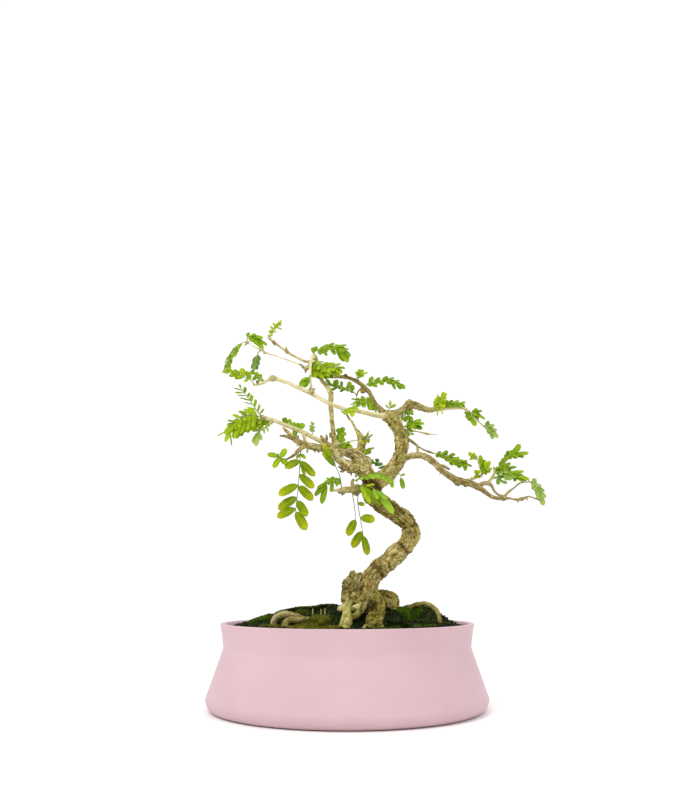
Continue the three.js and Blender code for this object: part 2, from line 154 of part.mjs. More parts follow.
// Leaves whose leaflets are stated one by one: name, stalk points,
// then [foot, tip, width, side that the upper face looks to], and the tone.
const LARGE = [
 ["leaf_01",[[-70.6,21.9,317.3],[-71.2,21.6,321.0],[-69.8,21.0,325.7],[-68.0,20.5,328.4],[-65.7,20.0,331.1],[-62.4,19.0,333.1]],[[[-71.2,21.6,320.5],[-73.8,21.0,321.8],1.65,[-0.25,-0.9,0.4]],[[-70.7,21.3,323.4],[-72.9,20.6,326.3],1.86,[-0.18,-0.9,0.4]],[[-68.8,20.7,327.3],[-71.3,20.0,329.8],2.07,[-0.2,-0.9,0.4]],[[-66.6,20.2,330.2],[-69.1,19.4,333.1],1.86,[-0.18,-0.9,0.4]],[[-67.2,20.3,329.5],[-60.2,19.0,326.4],1.65,[0.26,-0.9,0.4]],[[-65.2,19.9,331.5],[-60.7,19.0,330.2],1.55,[0.27,-0.9,0.4]],[[-63.0,19.2,332.8],[-60.7,18.6,335.3],1.76,[0.18,-0.9,0.4]],[[-69.6,20.9,326.1],[-65.6,20.0,323.8],1.55,[0.25,-0.9,0.4]],[[-71.0,21.5,322.1],[-72.9,22.1,324.2],2.16,[-0.34,-0.94,-0.04]],[[-70.0,21.1,325.3],[-67.6,20.1,325.4],2.02,[-0.36,-0.93,0.02]],[[-67.2,20.3,329.4],[-66.6,21.7,332.4],2.0,[-0.67,-0.61,0.43]],[[-64.9,19.8,331.7],[-62.7,17.9,331.0],1.86,[-0.5,-0.75,0.43]]],"y"],
 ["leaf_02",[[-86.8,-23.0,302.4],[-86.2,-22.0,307.0],[-82.8,-21.0,307.2],[-79.1,-20.0,305.5]],[[[-84.8,-21.5,307.4],[-79.7,-21.4,309.9],2.33,[0.25,-0.75,0.65]],[[-82.8,-21.0,307.2],[-73.2,-18.6,306.8],4.08,[0.28,-0.75,0.65]],[[-81.1,-20.5,306.6],[-69.7,-18.4,300.0],4.47,[0.24,-0.75,0.65]],[[-81.6,-20.7,306.8],[-72.7,-20.6,295.9],4.08,[0.18,-0.97,0.2]],[[-83.9,-21.3,307.4],[-77.0,-22.0,299.1],3.69,[0.18,-0.97,0.2]],[[-85.8,-21.8,307.3],[-82.2,-22.6,302.0],2.52,[0.17,-0.97,0.2]]],"g"],
 ["leaf_04",[[-75.3,-19.4,295.7],[-77.6,-21.0,291.8],[-78.7,-22.0,286.9],[-79.3,-22.6,283.7]],[[[-77.8,-21.2,291.2],[-75.3,-20.6,286.0],2.32,[0.13,-0.97,0.2]],[[-78.2,-21.5,289.8],[-76.3,-21.0,281.5],2.7,[0.06,-0.97,0.2]],[[-78.8,-22.1,286.5],[-77.6,-22.0,277.1],2.9,[0.03,-0.97,0.2]],[[-79.1,-22.4,284.6],[-80.4,-23.4,275.7],2.9,[-0.05,-0.97,0.2]],[[-78.7,-22.0,286.9],[-82.5,-22.8,278.0],2.7,[-0.12,-0.97,0.2]],[[-78.1,-21.4,290.2],[-81.6,-21.8,284.3],2.51,[-0.15,-0.97,0.2]]],"d"],
 ["leaf_05",[[-77.9,-36.9,260.2],[-79.7,-38.0,263.4],[-82.1,-39.0,264.9],[-86.1,-40.5,266.2],[-92.6,-42.5,268.3],[-97.7,-44.0,269.3]],[[[-97.5,-43.9,269.3],[-103.5,-45.6,269.7],3.92,[-0.28,-0.9,0.4]],[[-91.0,-42.0,267.8],[-98.4,-43.5,266.3],3.17,[-0.28,-0.97,0.2]],[[-89.0,-41.4,267.2],[-95.5,-42.5,271.5],4.48,[-0.23,-0.75,0.65]],[[-86.6,-40.7,266.4],[-93.7,-42.0,264.6],2.8,[-0.28,-0.97,0.2]],[[-85.7,-40.4,266.1],[-88.7,-41.6,273.7],4.29,[-0.1,-0.9,0.4]],[[-82.1,-39.0,264.9],[-84.5,-40.0,271.7],2.99,[-0.09,-0.9,0.4]],[[-80.8,-38.5,264.3],[-82.5,-37.8,271.7],2.61,[-0.05,-0.9,0.4]],[[-82.4,-39.1,265.0],[-85.8,-40.0,262.0],2.8,[-0.22,-0.97,0.2]],[[-95.0,-43.2,268.8],[-99.7,-43.8,273.4],2.8,[-0.2,-0.75,0.65]]],"y"],
 ["leaf_06",[[-69.3,-33.1,264.4],[-73.6,-33.0,267.3],[-76.6,-32.5,269.5],[-78.9,-32.2,270.9]],[[[-78.0,-32.3,270.4],[-81.9,-32.0,274.0],3.02,[-0.21,-0.9,0.4]],[[-76.6,-32.5,269.5],[-79.4,-33.4,265.1],3.21,[-0.17,-0.97,0.2]],[[-75.0,-32.8,268.4],[-77.2,-32.2,272.9],2.46,[-0.12,-0.9,0.4]],[[-72.8,-33.1,266.7],[-73.1,-32.6,271.0],2.27,[-0.01,-0.9,0.4]],[[-73.6,-33.0,267.3],[-75.1,-34.0,263.0],2.27,[-0.11,-0.97,0.2]]],"g"],
 ["leaf_07",[[-32.1,-13.7,274.1],[-33.2,-17.4,272.1],[-35.1,-19.6,269.4]],[[[-33.0,-17.0,272.4],[-40.4,-21.4,262.8],6.18,[-0.19,-0.97,0.2]],[[-33.7,-18.1,271.4],[-36.8,-21.0,261.8],4.64,[-0.1,-0.97,0.2]],[[-33.3,-17.6,271.9],[-40.1,-19.6,268.2],3.67,[-0.25,-0.75,0.65]]],"g"],
 ["leaf_08",[[-70.8,-44.0,232.8],[-74.1,-44.6,236.4],[-77.9,-45.4,242.1],[-81.6,-46.4,247.3],[-86.6,-47.4,253.4],[-87.7,-48.0,255.3]],[[[-86.3,-47.3,253.0],[-93.4,-49.4,254.5],1.56,[-0.27,-0.75,0.65]],[[-84.7,-47.0,251.1],[-92.3,-49.0,251.0],2.02,[-0.28,-0.75,0.65]],[[-82.6,-46.6,248.6],[-90.4,-48.6,248.6],1.29,[-0.28,-0.75,0.65]],[[-79.9,-45.9,244.9],[-88.2,-48.2,246.8],1.84,[-0.27,-0.75,0.65]],[[-77.6,-45.3,241.6],[-84.7,-47.0,243.1],1.29,[-0.27,-0.75,0.65]],[[-75.1,-44.8,237.7],[-81.0,-46.4,239.0],1.47,[-0.27,-0.75,0.65]],[[-87.4,-47.8,254.8],[-88.8,-48.0,258.2],1.66,[-0.1,-0.9,0.4]],[[-84.3,-46.9,250.5],[-84.2,-46.0,256.5],2.48,[0.02,-0.9,0.4]],[[-81.8,-46.4,247.6],[-80.5,-45.6,251.7],2.02,[0.1,-0.9,0.4]],[[-79.0,-45.7,243.6],[-78.7,-44.6,250.2],2.76,[0.02,-0.9,0.4]],[[-76.0,-45.0,239.2],[-75.4,-44.0,246.6],2.21,[0.03,-0.9,0.4]],[[-73.4,-44.5,235.6],[-72.1,-43.4,242.5],1.84,[0.07,-0.9,0.4]],[[-71.8,-44.2,233.8],[-68.6,-43.0,238.6],1.66,[0.17,-0.9,0.4]]],"g"],
 ["leaf_09",[[-70.2,-44.9,230.9],[-74.3,-49.0,231.8],[-80.2,-54.0,230.8],[-85.9,-59.0,226.5],[-90.9,-62.0,221.3],[-93.3,-64.0,217.4]],[[[-73.2,-48.0,231.7],[-81.3,-51.0,238.2],3.79,[-0.21,-0.75,0.65]],[[-77.2,-51.5,231.6],[-83.9,-55.0,235.7],3.61,[-0.23,-0.75,0.65]],[[-80.0,-53.8,230.9],[-87.3,-58.0,233.2],4.51,[-0.26,-0.75,0.65]],[[-84.8,-58.1,227.5],[-91.7,-61.4,229.6],3.79,[-0.26,-0.75,0.65]],[[-88.3,-60.5,224.2],[-95.2,-63.6,224.6],2.88,[-0.28,-0.75,0.65]],[[-87.5,-60.0,225.1],[-97.1,-65.6,213.4],4.51,[-0.2,-0.97,0.2]],[[-91.1,-62.2,221.0],[-96.0,-66.4,206.7],3.43,[-0.11,-0.97,0.2]],[[-85.4,-58.7,226.9],[-90.3,-62.4,210.1],4.33,[-0.1,-0.97,0.2]],[[-82.9,-56.4,229.1],[-85.1,-59.4,214.5],4.33,[-0.06,-0.97,0.2]],[[-80.2,-54.0,230.8],[-80.3,-57.0,217.7],4.33,[-0.02,-0.97,0.2]],[[-76.9,-51.3,231.7],[-76.2,-54.0,220.9],4.15,[0,-0.97,0.2]],[[-93.2,-63.9,217.6],[-102.9,-67.0,211.2],1.26,[-0.25,-0.9,0.4]],[[-93.1,-63.8,217.7],[-90.7,-66.0,203.6],1.17,[0.03,-0.9,0.4]],[[-75.0,-49.6,231.8],[-77.7,-52.5,228.2],3.66,[0.66,-0.75,0.09]],[[-79.8,-53.6,231.0],[-84.3,-53.0,230.9],3.33,[-0.06,-0.35,0.93]],[[-85.9,-59.0,226.5],[-84.4,-61.3,221.2],3.41,[0.23,-0.86,0.45]],[[-90.0,-61.5,222.4],[-95.2,-60.9,221.9],3.54,[-0.14,-0.83,0.54]]],"y"],
 ["leaf_10",[[-70.0,-43.6,230.4],[-74.6,-45.4,228.4],[-79.2,-47.6,225.8],[-83.7,-49.8,221.7],[-86.2,-51.4,218.5]],[[[-72.7,-44.6,229.3],[-72.1,-45.8,221.8],3.46,[0.01,-0.97,0.2]],[[-74.2,-45.2,228.6],[-80.8,-46.4,231.3],4.01,[-0.26,-0.75,0.65]],[[-76.7,-46.4,227.3],[-76.5,-48.4,219.0],3.83,[-0.01,-0.97,0.2]],[[-79.2,-47.6,225.8],[-85.6,-49.0,228.3],4.19,[-0.26,-0.75,0.65]],[[-81.6,-48.7,223.8],[-81.2,-50.6,217.4],3.65,[-0.01,-0.97,0.2]],[[-83.7,-49.8,221.7],[-89.6,-51.8,222.0],3.65,[-0.28,-0.75,0.65]],[[-85.3,-50.8,219.7],[-85.2,-52.6,213.8],3.28,[-0.02,-0.97,0.2]],[[-86.0,-51.3,218.8],[-89.7,-53.6,212.0],3.83,[-0.16,-0.97,0.2]],[[-76.1,-46.1,227.6],[-75.6,-48.5,222.7],3.82,[0.19,-0.87,0.45]],[[-82.0,-48.9,223.4],[-87.7,-48.5,222.0],3.44,[-0.21,-0.76,0.61]]],"y"],
 ["leaf_11",[[-61.3,-40.0,228.3],[-66.5,-43.6,223.2],[-71.0,-46.6,219.3],[-73.2,-48.4,215.7],[-73.8,-49.4,213.1]],[[[-69.3,-45.4,220.9],[-75.0,-47.6,219.0],3.83,[-0.27,-0.75,0.65]],[[-71.0,-46.6,219.3],[-76.4,-50.0,208.7],3.83,[-0.15,-0.97,0.2]],[[-73.2,-48.4,215.7],[-73.4,-51.4,206.2],3.83,[-0.03,-0.97,0.2]],[[-68.1,-44.7,221.9],[-67.3,-46.0,217.3],1.64,[0.03,-0.97,0.2]],[[-66.1,-43.3,223.6],[-64.4,-44.4,219.1],1.64,[0.09,-0.97,0.2]],[[-72.1,-47.4,217.8],[-69.6,-49.4,211.1],3.1,[0.09,-0.97,0.2]]],"l"],
 ["leaf_12",[[-63.2,-41.1,228.9],[-67.1,-39.0,228.0],[-72.2,-37.0,226.5],[-79.1,-34.6,224.9],[-83.7,-33.0,224.1]],[[[-65.3,-39.9,228.4],[-70.9,-39.0,230.3],3.33,[-0.27,-0.75,0.65]],[[-68.3,-38.5,227.7],[-75.1,-37.0,229.7],3.52,[-0.27,-0.75,0.65]],[[-69.8,-37.9,227.2],[-72.3,-38.6,221.7],3.15,[-0.13,-0.97,0.2]],[[-73.3,-36.6,226.2],[-80.2,-35.4,228.5],3.71,[-0.27,-0.75,0.65]],[[-75.1,-36.0,225.8],[-78.1,-36.6,220.5],3.15,[-0.15,-0.97,0.2]],[[-78.6,-34.8,225.0],[-85.1,-33.6,227.2],3.52,[-0.27,-0.75,0.65]],[[-80.3,-34.2,224.7],[-83.3,-34.6,220.2],2.96,[-0.17,-0.97,0.2]],[[-83.3,-33.1,224.2],[-88.6,-32.4,222.5],3.15,[-0.27,-0.75,0.65]],[[-66.0,-39.6,228.3],[-67.9,-39.4,224.3],2.47,[-0.5,-0.84,0.22]],[[-69.8,-37.9,227.2],[-70.8,-34.6,227.5],2.92,[-0.36,-0.2,0.91]],[[-75.7,-35.8,225.7],[-77.7,-35.7,222.1],2.73,[-0.36,-0.91,0.19]],[[-79.6,-34.4,224.8],[-82.6,-31.6,225.6],2.84,[-0.34,-0.59,0.73]]],"g"],
 ["leaf_13",[[-38.8,-29.1,222.8],[-41.8,-26.0,225.9],[-45.9,-23.0,228.0],[-50.4,-20.4,230.1],[-53.1,-18.8,231.7]],[[[-40.1,-27.7,224.3],[-36.2,-28.0,229.3],4.53,[0.17,-0.9,0.4]],[[-42.0,-25.9,226.0],[-41.0,-26.0,230.3],3.4,[0.07,-0.9,0.4]],[[-43.4,-24.7,226.9],[-46.6,-24.0,230.7],3.59,[-0.17,-0.9,0.4]],[[-47.4,-22.1,228.7],[-49.3,-21.4,234.7],2.64,[-0.08,-0.9,0.4]],[[-52.4,-19.2,231.3],[-54.2,-18.6,236.3],3.97,[-0.09,-0.9,0.4]],[[-43.4,-24.7,226.9],[-44.0,-27.4,218.5],3.97,[-0.03,-0.97,0.2]],[[-50.8,-20.2,230.3],[-51.5,-20.0,234.1],2.27,[-0.04,-0.9,0.4]]],"g"],
 ["leaf_14",[[-29.4,-26.0,218.9],[-29.4,-25.6,222.4],[-29.7,-25.2,226.7],[-29.5,-25.0,229.3]],[[[-29.5,-25.0,228.8],[-27.5,-24.6,230.3],2.07,[0.24,-0.9,0.4]],[[-29.6,-25.0,228.7],[-30.3,-25.0,231.6],1.69,[-0.06,-0.9,0.4]],[[-29.7,-25.2,226.2],[-32.1,-25.6,227.8],1.88,[-0.23,-0.9,0.4]],[[-29.6,-25.3,225.5],[-27.1,-25.0,226.9],1.88,[0.25,-0.9,0.4]],[[-29.5,-25.5,223.8],[-32.2,-26.0,224.5],1.88,[-0.27,-0.9,0.4]],[[-29.4,-25.5,223.1],[-27.2,-25.0,223.7],1.88,[0.27,-0.9,0.4]]],"l"],
 ["leaf_21",[[-30.7,9.0,300.3],[-29.3,8.0,302.2],[-24.8,6.0,303.1],[-17.5,3.4,304.6],[-8.5,0.0,303.6],[-3.1,-3.0,300.8]],[[[-30.4,8.8,300.8],[-31.9,8.8,306.5],3.21,[-0.07,-0.9,0.4]],[[-29.0,7.9,302.3],[-28.1,7.4,307.1],3.21,[0.05,-0.9,0.4]],[[-26.3,6.6,302.9],[-16.7,5.2,307.9],4.02,[0.24,-0.75,0.65]],[[-23.1,5.4,303.5],[-18.2,3.0,296.8],2.81,[0.18,-0.97,0.2]],[[-19.4,4.1,304.4],[-11.4,2.6,308.1],3.61,[0.25,-0.75,0.65]],[[-15.3,2.6,304.6],[-10.8,0.0,296.7],3.21,[0.15,-0.97,0.2]],[[-11.7,1.3,304.3],[-0.6,-1.6,305.3],4.02,[0.28,-0.75,0.65]],[[-9.9,0.6,303.9],[-3.1,-3.0,289.8],4.82,[0.13,-0.97,0.2]],[[-5.3,-1.7,302.1],[0.3,-5.4,288.6],5.02,[0.12,-0.97,0.2]],[[-3.5,-2.7,301.0],[2.2,-6.6,292.8],4.02,[0.18,-0.97,0.2]],[[-26.3,6.6,302.9],[-22.3,9.0,305.5],3.42,[-0.29,-0.45,0.85]],[[-23.7,5.6,303.3],[-19.2,4.2,300.0],3.77,[-0.34,-0.94,-0.05]],[[-19.9,4.2,304.3],[-16.1,4.4,307.7],3.42,[-0.37,-0.82,0.44]],[[-17.2,3.3,304.6],[-14.1,2.4,301.2],3.49,[-0.34,-0.94,-0.07]],[[-13.2,1.9,304.5],[-8.1,1.8,306.7],3.69,[-0.24,-0.82,0.52]],[[-10.6,0.9,304.1],[-7.7,0.1,299.5],3.3,[-0.38,-0.92,-0.07]],[[-6.9,-0.8,303.0],[-2.8,-0.1,304.2],3.27,[-0.08,-0.74,0.67]],[[-4.7,-2.0,301.7],[-4.2,-3.7,297.8],3.17,[-0.33,-0.89,0.32]]],"g"],
 ["leaf_22",[[-32.0,1.5,291.2],[-31.2,3.0,289.2],[-27.9,-1.0,288.2],[-21.6,-6.0,284.6],[-14.4,-10.0,282.6],[-8.2,-13.0,280.8]],[[[-29.8,1.4,288.7],[-30.5,-1.4,281.3],4.34,[-0.03,-0.97,0.2]],[[-28.4,-0.5,288.4],[-24.4,-2.0,290.3],3.75,[0.24,-0.75,0.65]],[[-27.5,-1.4,288.0],[-28.3,-5.4,274.2],5.13,[-0.02,-0.97,0.2]],[[-25.2,-3.4,286.6],[-21.9,-7.4,273.4],5.13,[0.07,-0.97,0.2]],[[-23.9,-4.4,285.8],[-16.8,-6.0,287.9],4.14,[0.26,-0.75,0.65]],[[-21.3,-6.2,284.5],[-15.8,-10.0,274.2],4.73,[0.14,-0.97,0.2]],[[-19.0,-7.6,283.7],[-10.9,-9.6,286.7],4.14,[0.26,-0.75,0.65]],[[-16.5,-8.9,283.1],[-10.0,-12.4,275.5],4.54,[0.2,-0.97,0.2]],[[-13.6,-10.4,282.4],[-5.6,-13.0,285.1],4.14,[0.26,-0.75,0.65]],[[-11.8,-11.3,281.8],[-4.6,-15.0,275.9],4.14,[0.23,-0.97,0.2]],[[-9.0,-12.6,281.0],[-2.0,-16.0,280.1],4.14,[0.28,-0.75,0.65]],[[-31.0,2.9,289.0],[-24.3,3.9,288.8],4.84,[0.13,-0.67,0.73]],[[-29.1,0.5,288.6],[-29.3,-4.2,284.1],4.56,[-0.62,-0.53,0.58]],[[-26.0,-2.7,287.2],[-19.0,-0.3,288.9],4.24,[0.0,-0.6,0.8]],[[-23.8,-4.4,285.8],[-24.2,-9.1,277.8],4.22,[-0.31,-0.82,0.49]],[[-20.2,-6.9,284.1],[-14.1,-3.7,288.2],4.69,[-0.16,-0.65,0.74]],[[-17.6,-8.3,283.4],[-16.9,-11.3,276.4],4.38,[-0.38,-0.86,0.33]],[[-13.5,-10.4,282.4],[-5.4,-8.5,285.4],4.49,[-0.12,-0.66,0.74]],[[-10.8,-11.8,281.6],[-9.0,-17.3,275.4],4.04,[-0.17,-0.76,0.63]]],"y"],
 ["leaf_23",[[-32.2,-1.9,287.8],[-29.8,2.0,284.4],[-26.2,0.6,281.8],[-19.9,-2.0,279.3],[-14.5,-4.0,278.2]],[[[-28.0,1.5,282.9],[-31.1,0.6,276.3],3.96,[-0.13,-0.97,0.2]],[[-26.5,0.8,282.0],[-21.4,0.4,285.8],3.77,[0.23,-0.75,0.65]],[[-24.5,-0.1,281.0],[-24.4,-1.4,274.0],4.36,[-0.01,-0.97,0.2]],[[-22.3,-1.0,280.1],[-16.7,-1.4,283.1],3.77,[0.25,-0.75,0.65]],[[-19.9,-2.0,279.3],[-18.7,-3.4,273.5],4.16,[0.05,-0.97,0.2]],[[-16.7,-3.2,278.6],[-13.3,-5.0,274.0],3.77,[0.18,-0.97,0.2]],[[-14.9,-3.8,278.3],[-9.0,-6.0,276.4],3.57,[0.27,-0.75,0.65]]],"g"],
 ["leaf_24",[[8.3,25.0,266.0],[4.0,22.0,269.0],[-1.4,20.0,271.1],[-6.9,18.0,272.5],[-13.1,15.0,273.3],[-16.7,13.6,274.0]],[[[4.8,22.4,268.6],[4.4,22.4,275.1],3.25,[-0.02,-0.9,0.4]],[[1.4,20.9,270.2],[1.7,20.6,277.8],3.86,[0.01,-0.9,0.4]],[[-1.9,19.8,271.2],[-7.0,18.4,267.2],2.64,[-0.23,-0.97,0.2]],[[-5.3,18.6,272.2],[-5.6,18.0,277.4],2.64,[-0.02,-0.9,0.4]],[[-7.4,17.8,272.6],[-16.7,14.6,266.7],2.64,[-0.25,-0.97,0.2]],[[-9.3,16.9,272.8],[-11.4,16.0,278.2],4.67,[-0.1,-0.75,0.65]],[[-12.2,15.4,273.2],[-19.5,12.6,272.9],4.06,[-0.28,-0.75,0.65]],[[-15.2,14.1,273.7],[-19.6,12.8,277.4],3.45,[-0.21,-0.75,0.65]],[[4.0,22.0,269.0],[1.2,19.9,268.2],2.47,[0.54,-0.81,0.22]],[[1.2,20.9,270.2],[-1.0,22.5,273.2],2.52,[0.45,-0.59,0.67]],[[-3.3,19.3,271.7],[-5.1,17.7,270.0],2.54,[0.39,-0.83,0.39]],[[-6.4,18.2,272.4],[-8.9,20.3,273.7],2.95,[0.28,-0.22,0.93]],[[-10.9,16.1,273.0],[-12.6,14.7,270.7],2.55,[0.46,-0.87,0.17]],[[-13.9,14.7,273.4],[-16.0,15.4,276.6],2.64,[0.4,-0.79,0.46]]],"d"],
 ["leaf_25",[[26.9,14.2,249.5],[20.5,10.0,254.3],[14.6,6.0,256.7],[10.1,2.6,255.7]],[[[21.0,10.4,254.0],[17.2,9.0,260.2],3.98,[-0.14,-0.75,0.65]],[[18.5,8.7,255.4],[20.6,7.2,247.7],3.78,[0.08,-0.97,0.2]],[[16.0,7.0,256.4],[11.8,5.6,260.2],3.98,[-0.2,-0.75,0.65]],[[15.1,6.3,256.6],[14.2,4.2,249.6],4.18,[-0.03,-0.97,0.2]],[[12.5,4.4,256.4],[3.1,1.0,256.6],2.59,[-0.28,-0.75,0.65]],[[11.6,3.7,256.1],[8.7,1.4,249.7],3.98,[-0.12,-0.97,0.2]],[[10.5,2.9,255.8],[5.5,0.4,252.5],3.38,[-0.25,-0.75,0.65]],[[22.6,11.4,252.9],[25.6,9.0,246.1],1.59,[0.14,-0.97,0.2]],[[21.3,10.5,253.8],[17.8,7.6,251.6],3.13,[0.6,-0.79,0.11]],[[15.5,6.6,256.6],[12.0,7.0,258.3],3.22,[0.4,-0.29,0.87]]],"g"],
 ["leaf_26",[[8.2,24.9,265.5],[8.1,11.0,257.6],[6.9,0.0,252.6],[5.0,-9.0,248.5],[4.1,-12.0,245.5]],[[[4.8,-9.8,247.9],[2.4,-13.6,242.6],2.96,[-0.13,-0.97,0.2]],[[4.3,-11.4,246.1],[-3.3,-13.6,239.9],3.95,[-0.22,-0.97,0.2]],[[4.1,-12.0,245.5],[4.1,-13.4,237.7],3.95,[0,-0.97,0.2]],[[5.1,-8.4,248.9],[9.1,-12.0,243.3],2.96,[0.18,-0.97,0.2]]],"y"],
 ["leaf_27",[[9.8,27.6,279.5],[10.1,26.0,282.6],[11.7,25.0,285.7]],[[[10.3,25.8,283.1],[7.5,26.0,288.6],2.26,[-0.13,-0.9,0.4]],[[10.6,25.6,283.8],[15.4,24.4,283.9],2.88,[0.28,-0.9,0.4]],[[11.2,25.3,284.8],[19.0,23.4,287.0],2.05,[0.27,-0.9,0.4]],[[11.4,25.2,285.2],[10.3,24.6,290.4],3.08,[-0.06,-0.9,0.4]],[[11.7,25.0,285.7],[14.3,24.0,289.8],2.88,[0.15,-0.9,0.4]]],"y"],
 ["leaf_28",[[15.4,22.4,273.3],[19.0,22.0,275.5],[24.9,20.4,277.0],[30.3,19.0,278.2],[35.7,17.6,278.2],[41.1,16.2,276.5],[45.5,14.8,274.2]],[[[19.4,21.9,275.7],[23.0,21.0,282.4],3.66,[0.13,-0.9,0.4]],[[20.9,21.6,276.1],[27.1,19.8,272.4],3.05,[0.25,-0.97,0.2]],[[24.9,20.4,277.0],[29.8,19.4,280.9],3.25,[0.22,-0.75,0.65]],[[27.6,19.7,277.7],[32.6,18.0,273.6],3.45,[0.23,-0.97,0.2]],[[31.0,18.8,278.3],[37.0,17.6,281.2],3.45,[0.25,-0.75,0.65]],[[34.4,17.9,278.3],[39.2,16.2,274.1],3.45,[0.23,-0.97,0.2]],[[36.6,17.4,278.0],[42.4,16.0,279.8],3.25,[0.26,-0.75,0.65]],[[39.4,16.7,277.2],[43.0,14.4,268.5],2.64,[0.13,-0.97,0.2]],[[41.7,16.0,276.2],[47.3,14.4,277.0],3.05,[0.28,-0.75,0.65]],[[44.1,15.3,275.0],[47.8,13.0,268.3],3.05,[0.16,-0.97,0.2]],[[45.3,14.9,274.3],[51.6,12.6,269.0],4.06,[0.23,-0.97,0.2]],[[19.0,22.0,275.5],[20.9,23.7,277.6],2.57,[-0.42,-0.5,0.76]],[[21.9,21.3,276.4],[24.2,20.3,273.9],2.66,[-0.3,-0.95,0.1]],[[26.3,20.0,277.3],[29.4,20.8,279.5],2.88,[-0.34,-0.6,0.72]],[[29.2,19.3,278.0],[31.8,17.9,274.8],2.6,[-0.28,-0.94,0.19]],[[33.7,18.1,278.4],[36.7,19.6,279.0],2.61,[-0.06,-0.31,0.95]],[[36.6,17.4,278.0],[38.0,17.1,275.1],2.44,[-0.25,-0.97,-0.03]],[[40.9,16.3,276.6],[44.2,17.0,278.5],2.74,[-0.06,-0.89,0.45]],[[43.5,15.4,275.3],[44.1,14.9,272.2],2.67,[-0.24,-0.96,0.13]]],"g"],
 ["leaf_31",[[48.4,8.4,232.9],[52.6,3.0,233.9],[56.3,0.0,234.2],[58.8,-2.0,233.6]],[[[51.5,4.2,233.7],[56.3,3.0,238.0],3.92,[0.2,-0.75,0.65]],[[51.0,4.9,233.6],[56.5,3.0,229.2],3.14,[0.22,-0.97,0.2]],[[54.6,1.3,234.2],[64.6,-2.4,237.4],4.51,[0.26,-0.75,0.65]],[[57.2,-0.7,234.1],[66.9,-5.0,233.2],4.71,[0.28,-0.75,0.65]],[[55.0,1.0,234.2],[65.3,-2.6,229.3],4.51,[0.26,-0.97,0.2]],[[52.4,3.2,233.9],[57.1,2.4,236.1],3.97,[-0.45,-0.28,0.85]],[[56.0,0.2,234.2],[57.5,-4.5,231.1],3.56,[-0.43,-0.59,0.68]]],"g"],
 ["leaf_33",[[81.4,30.1,255.1],[82.4,30.0,257.2],[84.2,29.0,260.3],[86.0,28.2,263.1]],[[[82.5,30.0,257.3],[79.1,29.4,252.9],2.05,[-0.17,-0.97,0.2]],[[82.7,29.9,257.7],[80.2,29.0,264.1],2.66,[-0.1,-0.9,0.4]],[[82.9,29.8,258.1],[81.6,28.4,247.1],1.43,[-0.02,-0.97,0.2]],[[83.3,29.6,258.7],[89.4,27.4,255.7],4.1,[0.26,-0.97,0.2]],[[83.7,29.3,259.4],[79.2,28.6,260.4],3.28,[-0.27,-0.9,0.4]],[[84.0,29.1,259.9],[82.5,28.6,267.5],1.64,[-0.06,-0.9,0.4]],[[84.3,28.9,260.5],[86.6,27.6,247.7],1.43,[0.06,-0.97,0.2]],[[84.6,28.8,260.9],[90.2,27.0,260.8],4.1,[0.28,-0.75,0.65]],[[85.5,28.4,262.3],[88.1,27.6,269.9],2.77,[0.09,-0.9,0.4]],[[85.8,28.3,262.9],[90.7,26.8,268.3],3.07,[0.19,-0.9,0.4]],[[85.2,28.5,261.9],[90.5,27.2,264.2],3.48,[0.25,-0.9,0.4]],[[81.8,30.1,255.9],[79.5,32.7,259.8],3.4,[-0.52,-0.82,0.23]],[[82.2,30.0,256.9],[88.1,30.9,256.1],3.12,[0.11,-0.98,-0.18]],[[83.0,29.7,258.4],[80.7,30.8,263.9],3.36,[-0.47,-0.88,-0.03]],[[83.6,29.3,259.3],[88.0,27.3,258.9],3.64,[-0.43,-0.9,-0.07]],[[84.4,28.9,260.7],[80.9,31.8,265.6],3.04,[-0.54,-0.83,0.09]],[[85.0,28.6,261.6],[91.5,27.2,262.0],3.18,[-0.2,-0.97,-0.14]]],"y"],
 ["leaf_34",[[83.8,32.0,256.0],[88.4,31.4,258.0],[94.9,32.0,259.1],[101.6,33.4,259.4],[105.4,34.6,259.1]],[[[87.0,31.5,257.5],[88.4,30.4,261.6],3.09,[0.09,-0.75,0.65]],[[89.4,31.4,258.3],[92.6,30.4,262.1],3.29,[0.18,-0.75,0.65]],[[90.2,31.5,258.4],[95.4,30.6,256.0],3.29,[0.26,-0.97,0.2]],[[93.0,31.7,258.9],[96.8,31.0,262.6],3.5,[0.19,-0.75,0.65]],[[95.2,32.0,259.1],[100.3,31.6,256.4],3.29,[0.25,-0.97,0.2]],[[97.8,32.5,259.3],[102.4,32.0,262.1],3.5,[0.24,-0.75,0.65]],[[100.6,33.1,259.4],[106.0,33.0,256.9],3.29,[0.26,-0.97,0.2]],[[103.1,33.8,259.3],[108.9,34.0,261.0],3.29,[0.27,-0.75,0.65]],[[87.6,31.4,257.7],[90.0,33.5,260.5],2.71,[-0.32,-0.6,0.73]],[[89.5,31.4,258.3],[92.5,31.5,256.1],2.82,[0.03,-1.0,0.02]],[[92.4,31.7,258.8],[95.4,32.7,260.5],2.91,[0.04,-0.89,0.46]],[[94.4,31.9,259.0],[97.2,31.3,257.2],2.89,[0.09,-0.91,0.41]],[[97.3,32.4,259.3],[100.0,34.0,260.7],3.01,[0.11,-0.77,0.62]],[[99.2,32.8,259.4],[102.0,33.2,258.0],2.8,[0.21,-0.97,0.14]],[[102.1,33.5,259.4],[104.6,35.0,260.6],2.9,[0.26,-0.83,0.5]],[[104.0,34.1,259.2],[106.2,35.4,256.1],2.94,[0.3,-0.94,-0.17]]],"g"],
